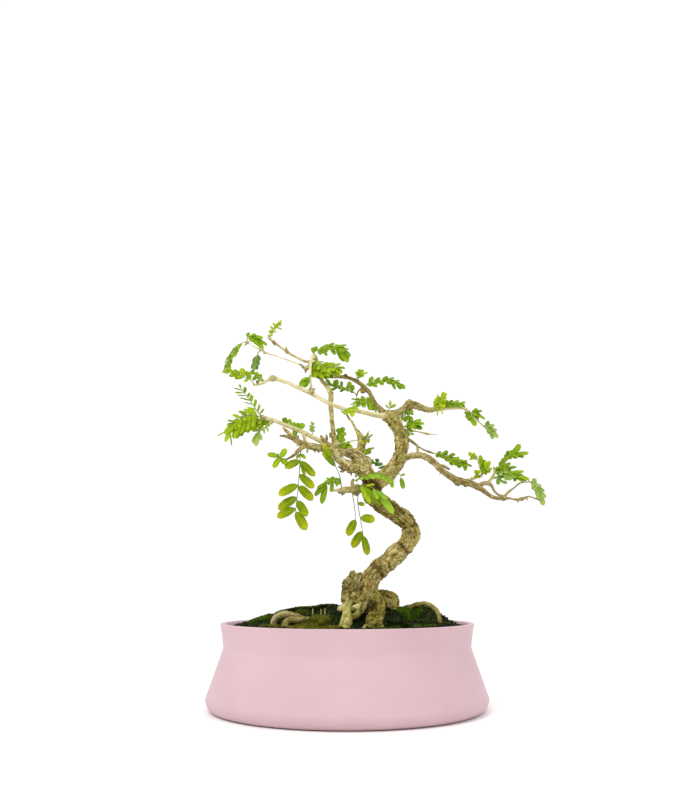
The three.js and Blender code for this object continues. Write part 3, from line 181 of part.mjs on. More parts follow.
 ["leaf_35",[[114.1,42.0,252.7],[116.6,40.6,252.8],[119.6,39.0,251.2]],[[[115.9,41.0,252.9],[120.7,40.0,256.3],3.32,[0.23,-0.75,0.65]],[[116.2,40.8,252.9],[120.7,38.0,245.3],2.28,[0.17,-0.97,0.2]],[[117.1,40.3,252.6],[124.5,38.0,253.8],3.32,[0.27,-0.75,0.65]],[[118.5,39.6,251.9],[122.6,37.6,248.1],3.11,[0.23,-0.97,0.2]],[[119.2,39.2,251.4],[126.3,36.0,245.5],3.74,[0.23,-0.75,0.65]]],"g"],
 ["leaf_36",[[110.1,41.3,256.0],[111.1,40.0,251.9],[112.9,38.0,247.2]],[[[110.5,40.8,254.3],[114.1,39.0,251.5],2.49,[0.24,-0.75,0.65]],[[111.1,40.0,251.9],[112.0,38.8,244.5],2.69,[0.05,-0.97,0.2]],[[112.0,39.0,249.6],[116.2,37.0,246.4],3.11,[0.24,-0.75,0.65]],[[112.7,38.2,247.6],[117.7,35.4,239.2],4.56,[0.17,-0.97,0.2]]],"g"],
 ["leaf_37",[[126.2,45.3,241.1],[128.3,43.4,240.9],[131.4,41.0,237.4]],[[[127.5,44.1,241.1],[131.5,42.6,245.5],2.9,[0.18,-0.75,0.65]],[[129.1,42.8,240.3],[136.0,41.0,240.8],4.15,[0.28,-0.75,0.65]],[[129.6,42.4,239.7],[130.0,41.0,232.8],3.11,[0.04,-0.97,0.2]],[[130.2,41.9,238.9],[137.7,39.4,235.5],4.36,[0.26,-0.75,0.65]],[[131.0,41.3,237.9],[133.4,38.8,227.1],3.11,[0.08,-0.97,0.2]],[[131.3,41.1,237.5],[138.0,38.2,228.5],4.15,[0.19,-0.97,0.2]]],"l"],
 ["leaf_38",[[75.5,15.0,210.7],[79.8,13.0,209.8],[85.6,10.0,207.9],[90.4,7.0,204.4],[95.3,4.6,201.1],[101.8,1.8,199.8]],[[[78.5,13.6,210.1],[83.3,12.4,211.4],2.94,[0.24,-0.75,0.65]],[[79.8,13.0,209.8],[83.8,11.6,206.5],3.14,[0.23,-0.97,0.2]],[[83.0,11.4,208.9],[88.5,9.8,211.9],3.53,[0.25,-0.75,0.65]],[[84.9,10.4,208.2],[88.3,8.6,202.5],3.73,[0.16,-0.97,0.2]],[[87.9,8.6,206.4],[94.4,6.8,208.6],3.92,[0.26,-0.75,0.65]],[[89.4,7.6,205.1],[91.5,5.8,198.3],3.92,[0.1,-0.97,0.2]],[[92.0,6.2,203.2],[97.6,4.4,205.1],3.73,[0.26,-0.75,0.65]],[[95.1,4.7,201.2],[97.5,3.0,195.8],3.14,[0.14,-0.97,0.2]],[[94.6,4.9,201.4],[100.8,2.8,202.6],3.53,[0.27,-0.75,0.65]],[[98.5,3.2,200.3],[103.9,1.2,202.0],3.14,[0.26,-0.75,0.65]],[[99.3,2.9,200.2],[103.3,1.0,195.7],2.75,[0.21,-0.97,0.2]],[[101.5,1.9,199.9],[101.8,0.8,192.9],2.94,[0.03,-0.97,0.2]],[[101.8,1.8,199.8],[107.4,-0.4,196.5],2.94,[0.25,-0.75,0.65]],[[79.0,13.4,210.0],[82.3,14.0,210.0],2.99,[0.05,-0.34,0.94]],[[81.6,12.1,209.3],[83.3,10.6,205.6],3.26,[-0.41,-0.9,0.17]],[[85.4,10.1,208.0],[89.0,10.0,209.7],2.73,[-0.24,-0.85,0.47]],[[87.7,8.7,206.5],[88.9,7.8,203.1],2.92,[-0.52,-0.85,0.05]],[[90.9,6.7,204.0],[95.4,7.0,202.4],3.14,[0.32,-0.51,0.8]],[[93.2,5.6,202.3],[94.3,3.1,198.4],2.95,[-0.02,-0.84,0.54]],[[97.0,3.9,200.6],[101.3,4.6,201.2],3.03,[-0.03,-0.52,0.86]],[[99.7,2.7,200.1],[101.4,1.9,196.9],3.0,[-0.39,-0.92,0.02]]],"g"],
 ["leaf_39",[[112.0,0.8,205.8],[109.3,-1.0,204.4],[107.8,-2.2,204.8]],[[[109.3,-1.0,204.4],[105.1,-2.6,202.6],2.13,[-0.26,-0.97,0.2]],[[108.1,-2.0,204.7],[104.4,-3.6,208.7],3.29,[-0.18,-0.9,0.4]],[[109.9,-0.6,204.6],[109.1,-1.4,208.9],2.32,[-0.05,-0.9,0.4]]],"y"],
 ["leaf_40",[[115.0,-4.5,189.7],[115.6,-6.8,192.9],[114.6,-8.6,196.0]],[[[115.0,-7.9,194.8],[113.1,-10.4,205.4],3.44,[-0.05,-0.9,0.4]],[[115.5,-7.3,193.7],[117.5,-9.0,201.7],2.68,[0.07,-0.9,0.4]],[[114.7,-8.5,195.7],[116.3,-12.0,188.7],3.83,[0.1,-0.97,0.2]]],"g"],
 ["leaf_41",[[115.2,-4.6,189.4],[117.9,-9.4,192.0],[119.3,-11.4,194.1]],[[[118.1,-9.7,192.3],[117.5,-11.6,200.2],2.86,[-0.02,-0.9,0.4]],[[119.2,-11.2,193.9],[120.5,-12.8,200.1],3.05,[0.06,-0.9,0.4]],[[117.5,-8.7,191.5],[121.6,-10.4,191.0],2.48,[0.28,-0.97,0.2]]],"y"],
 ["leaf_42",[[111.3,-7.1,187.0],[112.7,-8.6,186.1],[111.3,-11.6,187.3],[110.4,-13.4,188.4]],[[[110.8,-12.6,187.9],[107.0,-15.0,191.4],3.23,[-0.17,-0.9,0.4]],[[110.6,-13.0,188.2],[111.1,-14.6,192.0],2.47,[0,-0.9,0.4]],[[111.6,-11.1,187.1],[107.0,-13.0,186.4],2.47,[-0.28,-0.97,0.2]]],"y"],
 ["leaf_43",[[125.4,-9.3,191.4],[130.0,-14.0,196.1],[131.9,-15.6,199.3],[133.8,-17.6,202.1],[137.6,-20.0,203.4],[140.6,-22.1,204.3]],[[[130.7,-14.6,197.2],[133.5,-15.6,198.1],1.7,[0.26,-0.9,0.4]],[[131.9,-15.6,199.3],[130.1,-16.4,201.4],1.7,[-0.17,-0.9,0.4]],[[134.1,-17.8,202.3],[135.5,-19.6,207.7],2.65,[0.07,-0.9,0.4]],[[134.6,-18.2,202.6],[138.4,-19.6,200.9],2.65,[0.27,-0.97,0.2]],[[136.5,-19.3,203.1],[139.0,-21.0,207.7],3.78,[0.14,-0.9,0.4]],[[137.7,-20.1,203.4],[142.7,-21.8,201.1],3.4,[0.26,-0.97,0.2]],[[138.4,-20.5,203.6],[141.8,-23.0,209.0],3.59,[0.15,-0.9,0.4]],[[139.5,-21.3,204.0],[144.7,-25.0,212.3],4.35,[0.14,-0.9,0.4]],[[140.0,-21.7,204.1],[147.6,-24.0,201.1],3.03,[0.27,-0.97,0.2]],[[140.0,-21.7,204.1],[151.6,-25.0,204.7],4.16,[0.24,-0.8,0.6]],[[131.7,-15.4,198.9],[130.6,-15.1,202.5],2.63,[-0.56,-0.82,-0.1]],[[136.1,-19.1,203.0],[138.7,-21.2,200.7],3.17,[-0.53,-0.83,0.15]]],"g"],
 ["leaf_44",[[125.1,-7.9,193.7],[128.4,-13.0,194.9],[131.9,-17.0,193.2],[136.0,-21.0,189.2],[139.4,-24.0,186.3]],[[[127.5,-11.8,194.8],[126.3,-15.0,187.8],3.39,[-0.01,-0.97,0.2]],[[129.1,-13.9,194.8],[127.9,-17.6,184.6],3.96,[0,-0.97,0.2]],[[130.9,-15.9,193.9],[137.8,-17.0,197.4],3.02,[0.25,-0.75,0.65]],[[131.6,-16.7,193.4],[131.5,-20.6,183.4],4.15,[0.03,-0.97,0.2]],[[132.6,-17.7,192.7],[142.1,-19.0,193.9],3.21,[0.28,-0.75,0.65]],[[134.3,-19.4,190.9],[135.4,-23.4,183.1],4.15,[0.08,-0.97,0.2]],[[136.0,-21.0,189.2],[147.5,-23.4,189.3],3.39,[0.28,-0.75,0.65]],[[137.1,-22.0,188.2],[139.4,-25.6,182.0],3.77,[0.14,-0.97,0.2]],[[138.7,-23.4,186.9],[145.2,-27.0,180.5],3.77,[0.22,-0.97,0.2]],[[139.4,-24.0,186.3],[150.6,-27.4,182.1],4.34,[0.27,-0.75,0.65]],[[127.5,-11.7,194.8],[133.2,-12.2,196.8],3.81,[-0.33,-0.03,0.94]],[[129.2,-14.0,194.7],[129.0,-19.4,191.0],4.01,[-0.38,-0.52,0.77]],[[131.9,-17.0,193.2],[136.3,-18.1,192.6],3.36,[-0.04,-0.6,0.8]],[[133.6,-18.8,191.6],[133.6,-23.4,187.1],3.62,[0.05,-0.7,0.71]],[[136.2,-21.2,189.0],[141.0,-20.6,189.2],3.58,[0.06,-0.66,0.74]],[[138.0,-22.8,187.5],[137.3,-25.0,182.6],3.59,[-0.36,-0.83,0.43]]],"g"],
 ["leaf_47",[[123.3,-11.7,187.0],[125.4,-16.0,184.8],[127.2,-19.0,182.6]],[[[125.7,-16.5,184.4],[130.3,-20.0,184.8],2.83,[0.28,-0.75,0.65]],[[126.1,-17.2,184.0],[125.7,-20.0,178.5],2.83,[0.02,-0.97,0.2]],[[127.0,-18.6,182.9],[132.5,-23.0,179.3],3.96,[0.25,-0.75,0.65]]],"l"],
 ["leaf_48",[[154.1,-11.0,182.3],[156.4,-13.6,180.8],[158.3,-17.0,177.2],[159.6,-20.0,173.0],[160.3,-22.2,169.4]],[[[155.4,-12.4,181.6],[159.6,-13.0,184.4],3.57,[0.23,-0.75,0.65]],[[156.7,-14.0,180.4],[163.0,-16.0,178.1],3.75,[0.27,-0.75,0.65]],[[157.0,-14.6,179.9],[155.4,-16.0,174.8],2.44,[-0.06,-0.97,0.2]],[[158.2,-16.9,177.4],[164.5,-19.0,173.2],4.13,[0.25,-0.75,0.65]],[[158.3,-17.0,177.2],[157.5,-19.4,168.5],1.69,[0.01,-0.97,0.2]],[[159.3,-19.3,174.1],[164.4,-22.4,167.4],4.5,[0.2,-0.75,0.65]],[[159.6,-20.0,173.0],[157.3,-22.4,166.9],3.19,[-0.07,-0.97,0.2]],[[160.2,-21.9,169.8],[161.4,-25.4,160.9],3.94,[0.08,-0.97,0.2]],[[155.4,-12.4,181.6],[158.8,-13.6,181.1],3.38,[-0.05,-0.51,0.86]],[[156.4,-13.7,180.7],[156.5,-17.0,177.3],3.02,[-0.19,-0.7,0.69]],[[157.5,-15.4,179.0],[161.5,-16.6,178.3],3.18,[-0.1,-0.76,0.64]],[[158.1,-16.6,177.7],[156.9,-18.2,173.7],3.4,[-0.48,-0.76,0.44]],[[158.8,-18.2,175.7],[162.2,-18.5,172.1],3.14,[0.57,-0.56,0.59]],[[159.3,-19.2,174.3],[156.4,-21.7,171.0],3.15,[0.08,-0.81,0.58]],[[159.8,-20.6,172.1],[162.6,-22.3,169.2],3.48,[0.03,-0.85,0.53]],[[160.1,-21.5,170.5],[158.3,-20.8,166.8],3.45,[-0.75,-0.62,0.24]]],"l"],
 ["leaf_49",[[-8.9,-18.6,212.9],[-7.5,-15.6,217.3],[-6.3,-13.0,221.2],[-5.5,-11.0,224.2]],[[[-7.2,-14.9,218.3],[-10.2,-14.4,221.0],2.86,[-0.22,-0.9,0.4]],[[-7.1,-14.7,218.6],[-9.8,-16.6,215.1],3.44,[-0.19,-0.97,0.2]],[[-6.3,-13.0,221.2],[-2.9,-15.0,215.5],4.2,[0.15,-0.97,0.2]],[[-5.9,-12.0,222.7],[-0.7,-11.6,223.2],3.82,[0.28,-0.9,0.4]],[[-5.7,-11.4,223.6],[-9.0,-10.8,228.1],3.82,[-0.17,-0.9,0.4]],[[-5.5,-11.0,224.2],[-3.3,-10.0,229.6],3.82,[0.11,-0.9,0.4]]],"g"],
 ["leaf_50",[[-7.0,-22.6,211.8],[-4.5,-25.6,212.0],[-2.0,-28.0,211.4]],[[[-4.9,-25.1,212.0],[2.5,-29.0,212.6],3.94,[0.28,-0.75,0.65]],[[-4.0,-26.1,211.9],[4.2,-30.0,208.4],4.31,[0.26,-0.75,0.65]],[[-5.1,-24.9,212.0],[-1.1,-27.6,207.6],3.19,[0.2,-0.97,0.2]]],"g"],
 ["leaf_15",[[-38.2,-38.0,204.6],[-38.1,-46.0,197.3],[-38.4,-50.0,183.8],[-39.5,-52.0,167.6],[-40.8,-53.0,153.3]],[[[-38.1,-47.0,195.4],[-50.0,-50.0,188.6],6.74,[-0.15,-0.95,0.25]],[[-38.1,-47.6,193.8],[-33.8,-52.0,181.9],4.01,[0.75,-0.6,0.1]],[[-38.1,-47.2,194.9],[-26.0,-45.0,182.6],6.25,[0.2,-0.95,0.2]],[[-38.4,-50.0,183.8],[-26.4,-52.0,172.3],6.58,[0.1,-0.97,0.2]],[[-38.9,-51.3,175.1],[-54.4,-54.0,166.6],7.22,[-0.1,-0.97,0.2]],[[-39.0,-51.4,174.4],[-27.2,-50.0,162.8],7.06,[0.15,-0.97,0.1]],[[-39.7,-52.2,165.2],[-54.9,-51.0,155.6],7.54,[-0.05,-0.97,0.25]],[[-39.9,-52.4,162.8],[-31.6,-54.0,149.6],6.74,[0.2,-0.95,0.1]],[[-40.5,-52.8,156.3],[-55.1,-55.0,149.0],7.06,[-0.1,-0.9,0.35]],[[-40.7,-53.0,153.9],[-32.1,-52.0,139.1],7.38,[0.1,-0.98,0.1]],[[-38.1,-41.5,201.8],[-33.9,-44.0,197.1],3.05,[0.1,-0.9,0.3]],[[-38.1,-41.9,201.5],[-41.2,-45.0,196.9],2.89,[-0.1,-0.9,0.3]]],"a"],
 ["leaf_16",[[-48.5,-44.8,196.6],[-52.3,-47.0,196.6],[-56.1,-49.0,198.6]],[[[-53.9,-47.9,197.3],[-48.8,-51.0,204.0],5.01,[0,-0.95,0.2]],[[-55.5,-48.7,198.2],[-64.4,-50.0,199.7],4.84,[0,-0.9,0.4]],[[-54.5,-48.2,197.7],[-58.8,-52.0,188.3],4.84,[-0.2,-0.95,0]],[[-52.9,-47.4,196.8],[-48.8,-50.0,191.3],4.68,[0.1,-0.95,0.1]]],"y"],
 ["leaf_18",[[-4.7,-23.2,175.2],[-6.4,-27.0,185.5],[-9.8,-31.0,192.9],[-12.8,-34.0,199.5]],[[[-9.5,-30.7,192.3],[-20.7,-34.0,204.9],4.79,[-0.3,-0.9,0.2]],[[-12.8,-34.0,199.5],[-19.6,-36.0,210.6],4.63,[-0.5,-0.8,0.2]]],"y"],
 ["leaf_19",[[-4.7,-23.6,175.1],[-4.9,-24.0,177.7],[-6.9,-27.0,180.5],[-11.0,-30.0,181.1],[-15.8,-33.0,179.1],[-17.4,-34.0,177.6]],[[[-15.2,-32.6,179.5],[-24.7,-35.0,174.1],3.79,[-0.1,-0.7,0.7]],[[-16.6,-33.5,178.4],[-26.5,-37.0,167.7],4.77,[-0.1,-0.9,0.4]],[[-17.1,-33.8,177.9],[-20.9,-37.0,161.1],4.77,[0,-0.98,0.15]],[[-12.2,-30.8,180.8],[-13.2,-33.0,170.9],3.29,[0.3,-0.95,0]],[[-11.4,-30.3,181.0],[-17.5,-30.6,182.8],2.96,[0,-0.7,0.7]],[[-8.4,-28.3,181.0],[-13.5,-27.6,184.4],2.96,[0,-0.7,0.7]],[[-7.6,-27.6,180.8],[-9.0,-29.4,176.2],2.63,[0,-0.95,0.3]],[[-5.9,-25.8,179.6],[-8.4,-25.4,183.8],2.63,[0,-0.8,0.6]]],"g"],
 ["leaf_20",[[4.0,-19.0,172.7],[4.9,-22.0,166.6],[6.2,-25.0,157.3],[6.8,-26.0,149.5]],[[[6.8,-26.0,149.8],[0.3,-29.0,136.1],6.94,[-0.2,-0.95,0.15]]],"a"],
 ["leaf_54",[[9.1,-16.0,173.5],[8.7,-21.0,163.4],[10.9,-24.0,149.2],[13.1,-26.0,135.7]],[[[8.7,-20.8,163.9],[14.1,-24.0,161.3],3.97,[0.1,-0.9,0.4]],[[10.5,-23.6,151.6],[22.7,-26.0,149.2],7.1,[0,-0.97,0.2]],[[12.4,-25.4,140.2],[4.0,-28.0,126.7],6.94,[-0.1,-0.98,0.1]],[[13.0,-25.9,136.3],[16.3,-28.0,120.5],6.28,[0.4,-0.9,0.1]]],"a"],
 ["leaf_55",[[6.7,-18.2,177.2],[7.5,-20.0,179.3],[10.9,-24.0,177.7],[15.0,-27.0,176.7]],[[[12.4,-25.2,177.3],[18.9,-29.0,161.8],4.48,[-0.2,-0.95,0.1]],[[14.8,-26.9,176.7],[27.9,-29.0,160.5],4.32,[0.3,-0.9,0.2]],[[11.2,-24.3,177.6],[15.8,-28.0,166.8],3.82,[-0.5,-0.85,0.1]],[[15.0,-27.0,176.7],[22.4,-30.0,177.6],3.82,[0,-0.7,0.7]]],"y"],
 ["leaf_56",[[10.2,-17.0,176.4],[15.8,-26.0,178.2],[20.3,-30.0,175.2],[25.5,-32.0,171.2]],[[[25.3,-31.9,171.4],[38.1,-29.0,153.5],6.25,[0.2,-0.95,0.2]],[[23.5,-31.3,172.7],[32.3,-34.0,164.9],5.1,[0.2,-0.7,0.6]],[[21.1,-30.5,174.6],[25.4,-33.0,165.0],3.95,[-0.3,-0.9,0.1]]],"y"],
 ["leaf_57",[[40.8,-4.5,191.1],[43.5,-8.0,189.7],[45.0,-10.0,187.8],[45.4,-11.0,185.5]],[[[45.3,-10.7,186.2],[47.2,-13.0,175.9],4.08,[0.2,-0.95,0.1]],[[45.0,-9.9,187.9],[48.9,-12.0,188.2],2.89,[0,-0.8,0.6]]],"g"]
];

// Moss cushions: name, centre x, centre y, half sizes, height.
const MOSS = [
  ['moss_right', 52, 4, 11, 15, 2.0],
  ['moss_left', -36, 14, 25, 17, 1.6],
  ['moss_back', 18, 60, 30, 17, 3.0],
];

// ---- solids ---------------------------------------------------------------------------
const wasm = await Module();
wasm.setup();
const V = (p) => new THREE.Vector3(p[0], p[1], p[2]);

// a closed three.js geometry as a solid for joining and cutting
function solid(geometry) {
  let g = geometry.clone();
  g.deleteAttribute('normal');
  if (g.getAttribute('uv')) g.deleteAttribute('uv');
  g = mergeVertices(g, 1e-4);
  const index = [];
  const src = g.getIndex().array;
  for (let i = 0; i < src.length; i += 3) {
    if (src[i] !== src[i + 1] && src[i + 1] !== src[i + 2] && src[i] !== src[i + 2]) index.push(src[i], src[i + 1], src[i + 2]);
  }
  return new wasm.Manifold(new wasm.Mesh({
    numProp: 3,
    vertProperties: new Float32Array(g.getAttribute('position').array),
    triVerts: new Uint32Array(index),
  }));
}

function geometryOf(body) {
  const mesh = body.getMesh();
  const g = new THREE.BufferGeometry();
  g.setAttribute('position', new THREE.BufferAttribute(new Float32Array(mesh.vertProperties), 3));
  g.setIndex(new THREE.BufferAttribute(new Uint32Array(mesh.triVerts), 1));
  g.computeVertexNormals();
  return g;
}

function join(list) {
  while (list.length > 1) {
    const next = [];
    for (let i = 0; i < list.length; i += 2) next.push(i + 1 < list.length ? list[i].add(list[i + 1]) : list[i]);
    list = next;
  }
  return list[0];
}

// the largest of the separate bodies in a solid
function largest(body) {
  const parts = body.decompose();
  if (parts.length < 2) return body;
  return parts.sort((a, b) => b.volume() - a.volume())[0];
}

function bounds(body) {
  const v = body.getMesh().vertProperties;
  const b = new THREE.Box3();
  for (let i = 0; i < v.length; i += 3) b.expandByPoint(new THREE.Vector3(v[i], v[i + 1], v[i + 2]));
  return b;
}

// a capped cylinder whose rings are laid along a curve through points of [x, y, z, radius]
function limb(points, sides, steps, grow, spin = 0) {
  const curve = new THREE.CatmullRomCurve3(points.map(V), false, 'centripetal');
  const frames = curve.computeFrenetFrames(steps, false);
  const g = new THREE.CylinderGeometry(1, 1, 1, sides, steps, false);
  const pos = g.getAttribute('position');
  const last = points.length - 1;
  const out = new THREE.Vector3();
  for (let i = 0; i < pos.count; i++) {
    const ring = Math.round((pos.getY(i) + 0.5) * steps);
    const u = ring / steps;
    const t = curve.getUtoTmapping(u) * last;
    const k = Math.min(last - 1, Math.floor(t));
    const f = t - k;
    const r = points[k][3] * (1 - f) + points[k + 1][3] * f + grow;
    const T = frames.tangents[ring];
    const N = frames.normals[ring];
    const B = new THREE.Vector3().crossVectors(N, T);
    const ca = Math.cos(spin), sa = Math.sin(spin);
    const x = (pos.getX(i) * ca - pos.getZ(i) * sa) * r;
    const z = (pos.getX(i) * sa + pos.getZ(i) * ca) * r;
    out.copy(curve.getPointAt(u)).addScaledVector(N, x).addScaledVector(B, z);
    if (ring === 0) out.addScaledVector(T, -grow);
    if (ring === steps) out.addScaledVector(T, grow);
    pos.setXYZ(i, out.x, out.y, out.z);
  }
  return solid(g);
}

function ball(c, r, grow) {
  const g = new THREE.SphereGeometry(r + grow, 6, 4);
  g.translate(c[0], c[1], c[2]);
  return solid(g);
}

// ---- pot ------------------------------------------------------------------------------
const profile = POT_OUTER.concat(POT_INNER).map((p) => new THREE.Vector2(p[0], p[1]));
const lathe = new THREE.LatheGeometry(profile, POT_SIDES);
lathe.rotateX(Math.PI / 2);
let pot = solid(lathe);
for (const x of [-HOLE_X, HOLE_X]) {
  const hole = new THREE.CylinderGeometry(HOLE_R, HOLE_R, FLOOR_Z + 4, 16);
  hole.rotateX(Math.PI / 2);
  hole.translate(x, 0, FLOOR_Z / 2);
  pot = pot.subtract(solid(hole));
}

// drainage meshes lie on the floor over the holes
function drainMesh(x) {
  const plate = new THREE.BoxGeometry(MESH_SIZE, MESH_SIZE, MESH_T);
  plate.translate(x, 0, FLOOR_Z + GAP + MESH_T / 2);
  let body = solid(plate);
  const pitch = MESH_CELL + MESH_BAR;
  for (let i = -1; i <= 1; i++) {
    for (let j = -1; j <= 1; j++) {
      const cell = new THREE.BoxGeometry(MESH_CELL, MESH_CELL, MESH_T * 3);
      cell.translate(x + i * pitch, j * pitch, FLOOR_Z + GAP);
      body = body.subtract(solid(cell));
    }
  }
  return body;
}

// ---- wood -----------------------------------------------------------------------------
function wood(grow) {
  const list = STRANDS.map(([, sides, points]) => {
    let length = 0;
    for (let i = 1; i < points.length; i++) length += V(points[i]).distanceTo(V(points[i - 1]));
    const r = points.reduce((s, p) => s + p[3], 0) / points.length;
    const steps = Math.max(2, Math.min(14, Math.round(length / Math.max(10, r * 1.9))));
    return limb(points, sides, steps, grow, 0.3);
  });
  for (const [x, y, z, r] of LUMPS) if (r > 4.9) list.push(ball([x, y, z], r, grow));
  return join(list);
}
const tree = wood(0);
const treeClear = wood(GAP + 0.08);

// ---- soil and moss --------------------------------------------------------------------
function soilHeight(x, y) {
  const r = Math.hypot(x, y);
  let h = SOIL_TOP[SOIL_TOP.length - 1][1];
  for (let i = 1; i < SOIL_TOP.length; i++) {
    if (r <= SOIL_TOP[i][0]) {
      const [r0, h0] = SOIL_TOP[i - 1];
      const [r1, h1] = SOIL_TOP[i];
      h = h0 + (h1 - h0) * (r - r0) / (r1 - r0);
      break;
    }
  }
  // the mound stands behind the trunk and falls away in front of it
  const ramp = (v, a, c) => { const t = Math.min(1, Math.max(0, (v - a) / (c - a))); return t * t * (3 - 2 * t); };
  h -= FRONT_DROP * ramp(-y, -10, 42) * (1 - ramp(r, 58, 97)) * Math.min(1, Math.max(0, (h - 63.3) / 12));
  h += MOUND_H * Math.exp(-((x - MOUND_X) ** 2 + (y - MOUND_Y) ** 2) / MOUND_R ** 2);
  const edge = Math.max(0, 1 - (r / 96) ** 4);
  return h + edge * (0.9 * Math.sin(x * 0.083 + 1.2) * Math.cos(y * 0.071) + 0.5 * Math.sin(x * 0.19 - y * 0.16 + 0.6));
}

function soilSolid() {
  const ringR = [0, 26, 46, 60, 72, 84, 91, 98.9];
  const position = [];
  const index = [];
  position.push(0, 0, soilHeight(0, 0));
  // the wall follows the inside of the pot from the surface down to the floor
  const wall = [[98.55, 64.1], [95.85, 48.1], [103.0, 27.1], [107.1, 14.0], [103.8, FLOOR_Z + GAP]];
  for (let k = 1; k < ringR.length - 1; k++) {
    for (let j = 0; j < SOIL_SIDES; j++) {
      const a = (j / SOIL_SIDES) * 2 * Math.PI;
      const x = ringR[k] * Math.cos(a), y = ringR[k] * Math.sin(a);
      position.push(x, y, soilHeight(x, y));
    }
  }
  for (const [r, z] of wall) {
    for (let j = 0; j < SOIL_SIDES; j++) {
      const a = (j / SOIL_SIDES) * 2 * Math.PI;
      position.push(r * Math.cos(a), r * Math.sin(a), z);
    }
  }
  const rings = ringR.length - 2 + wall.length;
  const at = (k, j) => 1 + k * SOIL_SIDES + (j % SOIL_SIDES);
  for (let j = 0; j < SOIL_SIDES; j++) index.push(0, at(0, j), at(0, j + 1));
  for (let k = 0; k < rings - 1; k++) {
    for (let j = 0; j < SOIL_SIDES; j++) {
      index.push(at(k, j), at(k + 1, j), at(k + 1, j + 1), at(k, j), at(k + 1, j + 1), at(k, j + 1));
    }
  }
  const base = position.length / 3;
  position.push(0, 0, FLOOR_Z + GAP);
  for (let j = 0; j < SOIL_SIDES; j++) index.push(base, at(rings - 1, j + 1), at(rings - 1, j));
  const g = new THREE.BufferGeometry();
  g.setAttribute('position', new THREE.BufferAttribute(new Float32Array(position), 3));
  g.setIndex(index);
  return solid(g);
}
let soil = soilSolid();
for (const x of [-HOLE_X, HOLE_X]) {
  const pocket = new THREE.BoxGeometry(MESH_SIZE + 2 * GAP, MESH_SIZE + 2 * GAP, 2 * (MESH_T + 2 * GAP));
  pocket.translate(x, 0, FLOOR_Z);
  soil = soil.subtract(solid(pocket));
}
const ground = soil.translate([0, 0, GAP]);
soil = largest(soil.subtract(treeClear));

function mossSolid([, cx, cy, a, b, h]) {
  const g = new THREE.SphereGeometry(1, 16, 7);
  g.rotateX(Math.PI / 2);
  const pos = g.getAttribute('position');
  for (let i = 0; i < pos.count; i++) {
    const x = cx + a * pos.getX(i), y = cy + b * pos.getY(i);
    pos.setXYZ(i, x, y, soilHeight(x, y) + h * pos.getZ(i));
  }
  return largest(solid(g).subtract(ground).subtract(treeClear));
}

// ---- leaves ---------------------------------------------------------------------------
// a leaflet from foot to tip: a four-sided outline with a raised middle on both faces
function leaflet(foot, tip, width, normal, grow) {
  const d = tip.clone().sub(foot);
  const length = d.length();
  d.normalize();
  const side = new THREE.Vector3().crossVectors(d, normal).normalize();
  const up = new THREE.Vector3().crossVectors(side, d);
  const at = (a, w, n) => foot.clone().addScaledVector(d, a).addScaledVector(side, w).addScaledVector(up, n);
  const w = width / 2 + grow;
  const outline = [at(-0.8 - grow, 0, 0), at(length * 0.52, w, 0), at(length + grow, 0, 0), at(length * 0.52, -w, 0)];
  const t = LEAF_T / 2 + grow;
  const points = outline.concat([at(length * 0.52, 0, t), at(length * 0.52, 0, -t)]);
  const index = [];
  for (let i = 0; i < 4; i++) {
    index.push(i, 5, (i + 1) % 4, (i + 1) % 4, 4, i);
  }
  const g = new THREE.BufferGeometry();
  g.setAttribute('position', new THREE.BufferAttribute(new Float32Array(points.flatMap((p) => [p.x, p.y, p.z])), 3));
  g.setIndex(index);
  return solid(g);
}

function stalk(path, grow) {
  const rows = path.map((p, i) => [p[0], p[1], p[2], STALK_R * (1 - 0.25 * i / (path.length - 1))]);
  let length = 0;
  for (let i = 1; i < path.length; i++) length += V(path[i]).distanceTo(V(path[i - 1]));
  return limb(rows, 3, Math.max(1, Math.min(4, Math.round(length / 9))), grow);
}

// a repeatable number from 0 to 1 for leaflet k of leaf n
function chance(n, k) {
  const s = Math.sin(n * 12.9898 + k * 78.233) * 43758.5453;
  return s - Math.floor(s);
}

function pinnate(row, n, grow) {
  const [, path, fullPairs, t0, L, fullW, sweep, fold, hint] = row;
  const curve = new THREE.CatmullRomCurve3(path.map(V), false, 'centripetal');
  const list = [stalk(path, grow)];
  const a = sweep * Math.PI / 180;
  const f = fold * Math.PI / 180;
  const pairs = Math.max(2, Math.round(fullPairs * PAIR_SHARE));
  const pitch = curve.getLength() * (1 - t0) / pairs;
  const W = Math.min(fullW * 1.5, 0.8 * pitch * Math.sin(a) + 0.6);
  for (let i = 0; i < pairs; i++) {
    for (const s of [-1, 1]) {
      const t = t0 + (1 - t0) * (i + 0.5 + 0.18 * s) / pairs;
      const P = curve.getPointAt(t);
      const T = curve.getTangentAt(t);
      const S = new THREE.Vector3().crossVectors(T, V(hint)).normalize();
      const N = new THREE.Vector3().crossVectors(S, T);
      const k = 2 * i + (s > 0 ? 1 : 0);
      const aa = a + (chance(n, k + 31) - 0.5) * 0.28;
      const ff = f + (chance(n, k + 67) - 0.5) * 0.3;
      const dir = S.clone().multiplyScalar(s * Math.sin(aa) * Math.cos(ff))
        .addScaledVector(T, Math.cos(aa)).addScaledVector(N, -Math.sin(aa) * Math.sin(ff)).normalize();
      const normal = N.clone().multiplyScalar(Math.cos(ff)).addScaledVector(S, s * Math.sin(ff));
      const length = L * (0.84 + 0.16 * Math.sin(Math.PI * t)) * (0.92 + 0.2 * chance(n, k));
      const foot = P.clone().addScaledVector(dir, 0.2);
      list.push(leaflet(foot, foot.clone().addScaledVector(dir, length), W * (0.92 + 0.16 * chance(n, k + 7)), normal, grow));
    }
  }
  return join(list);
}

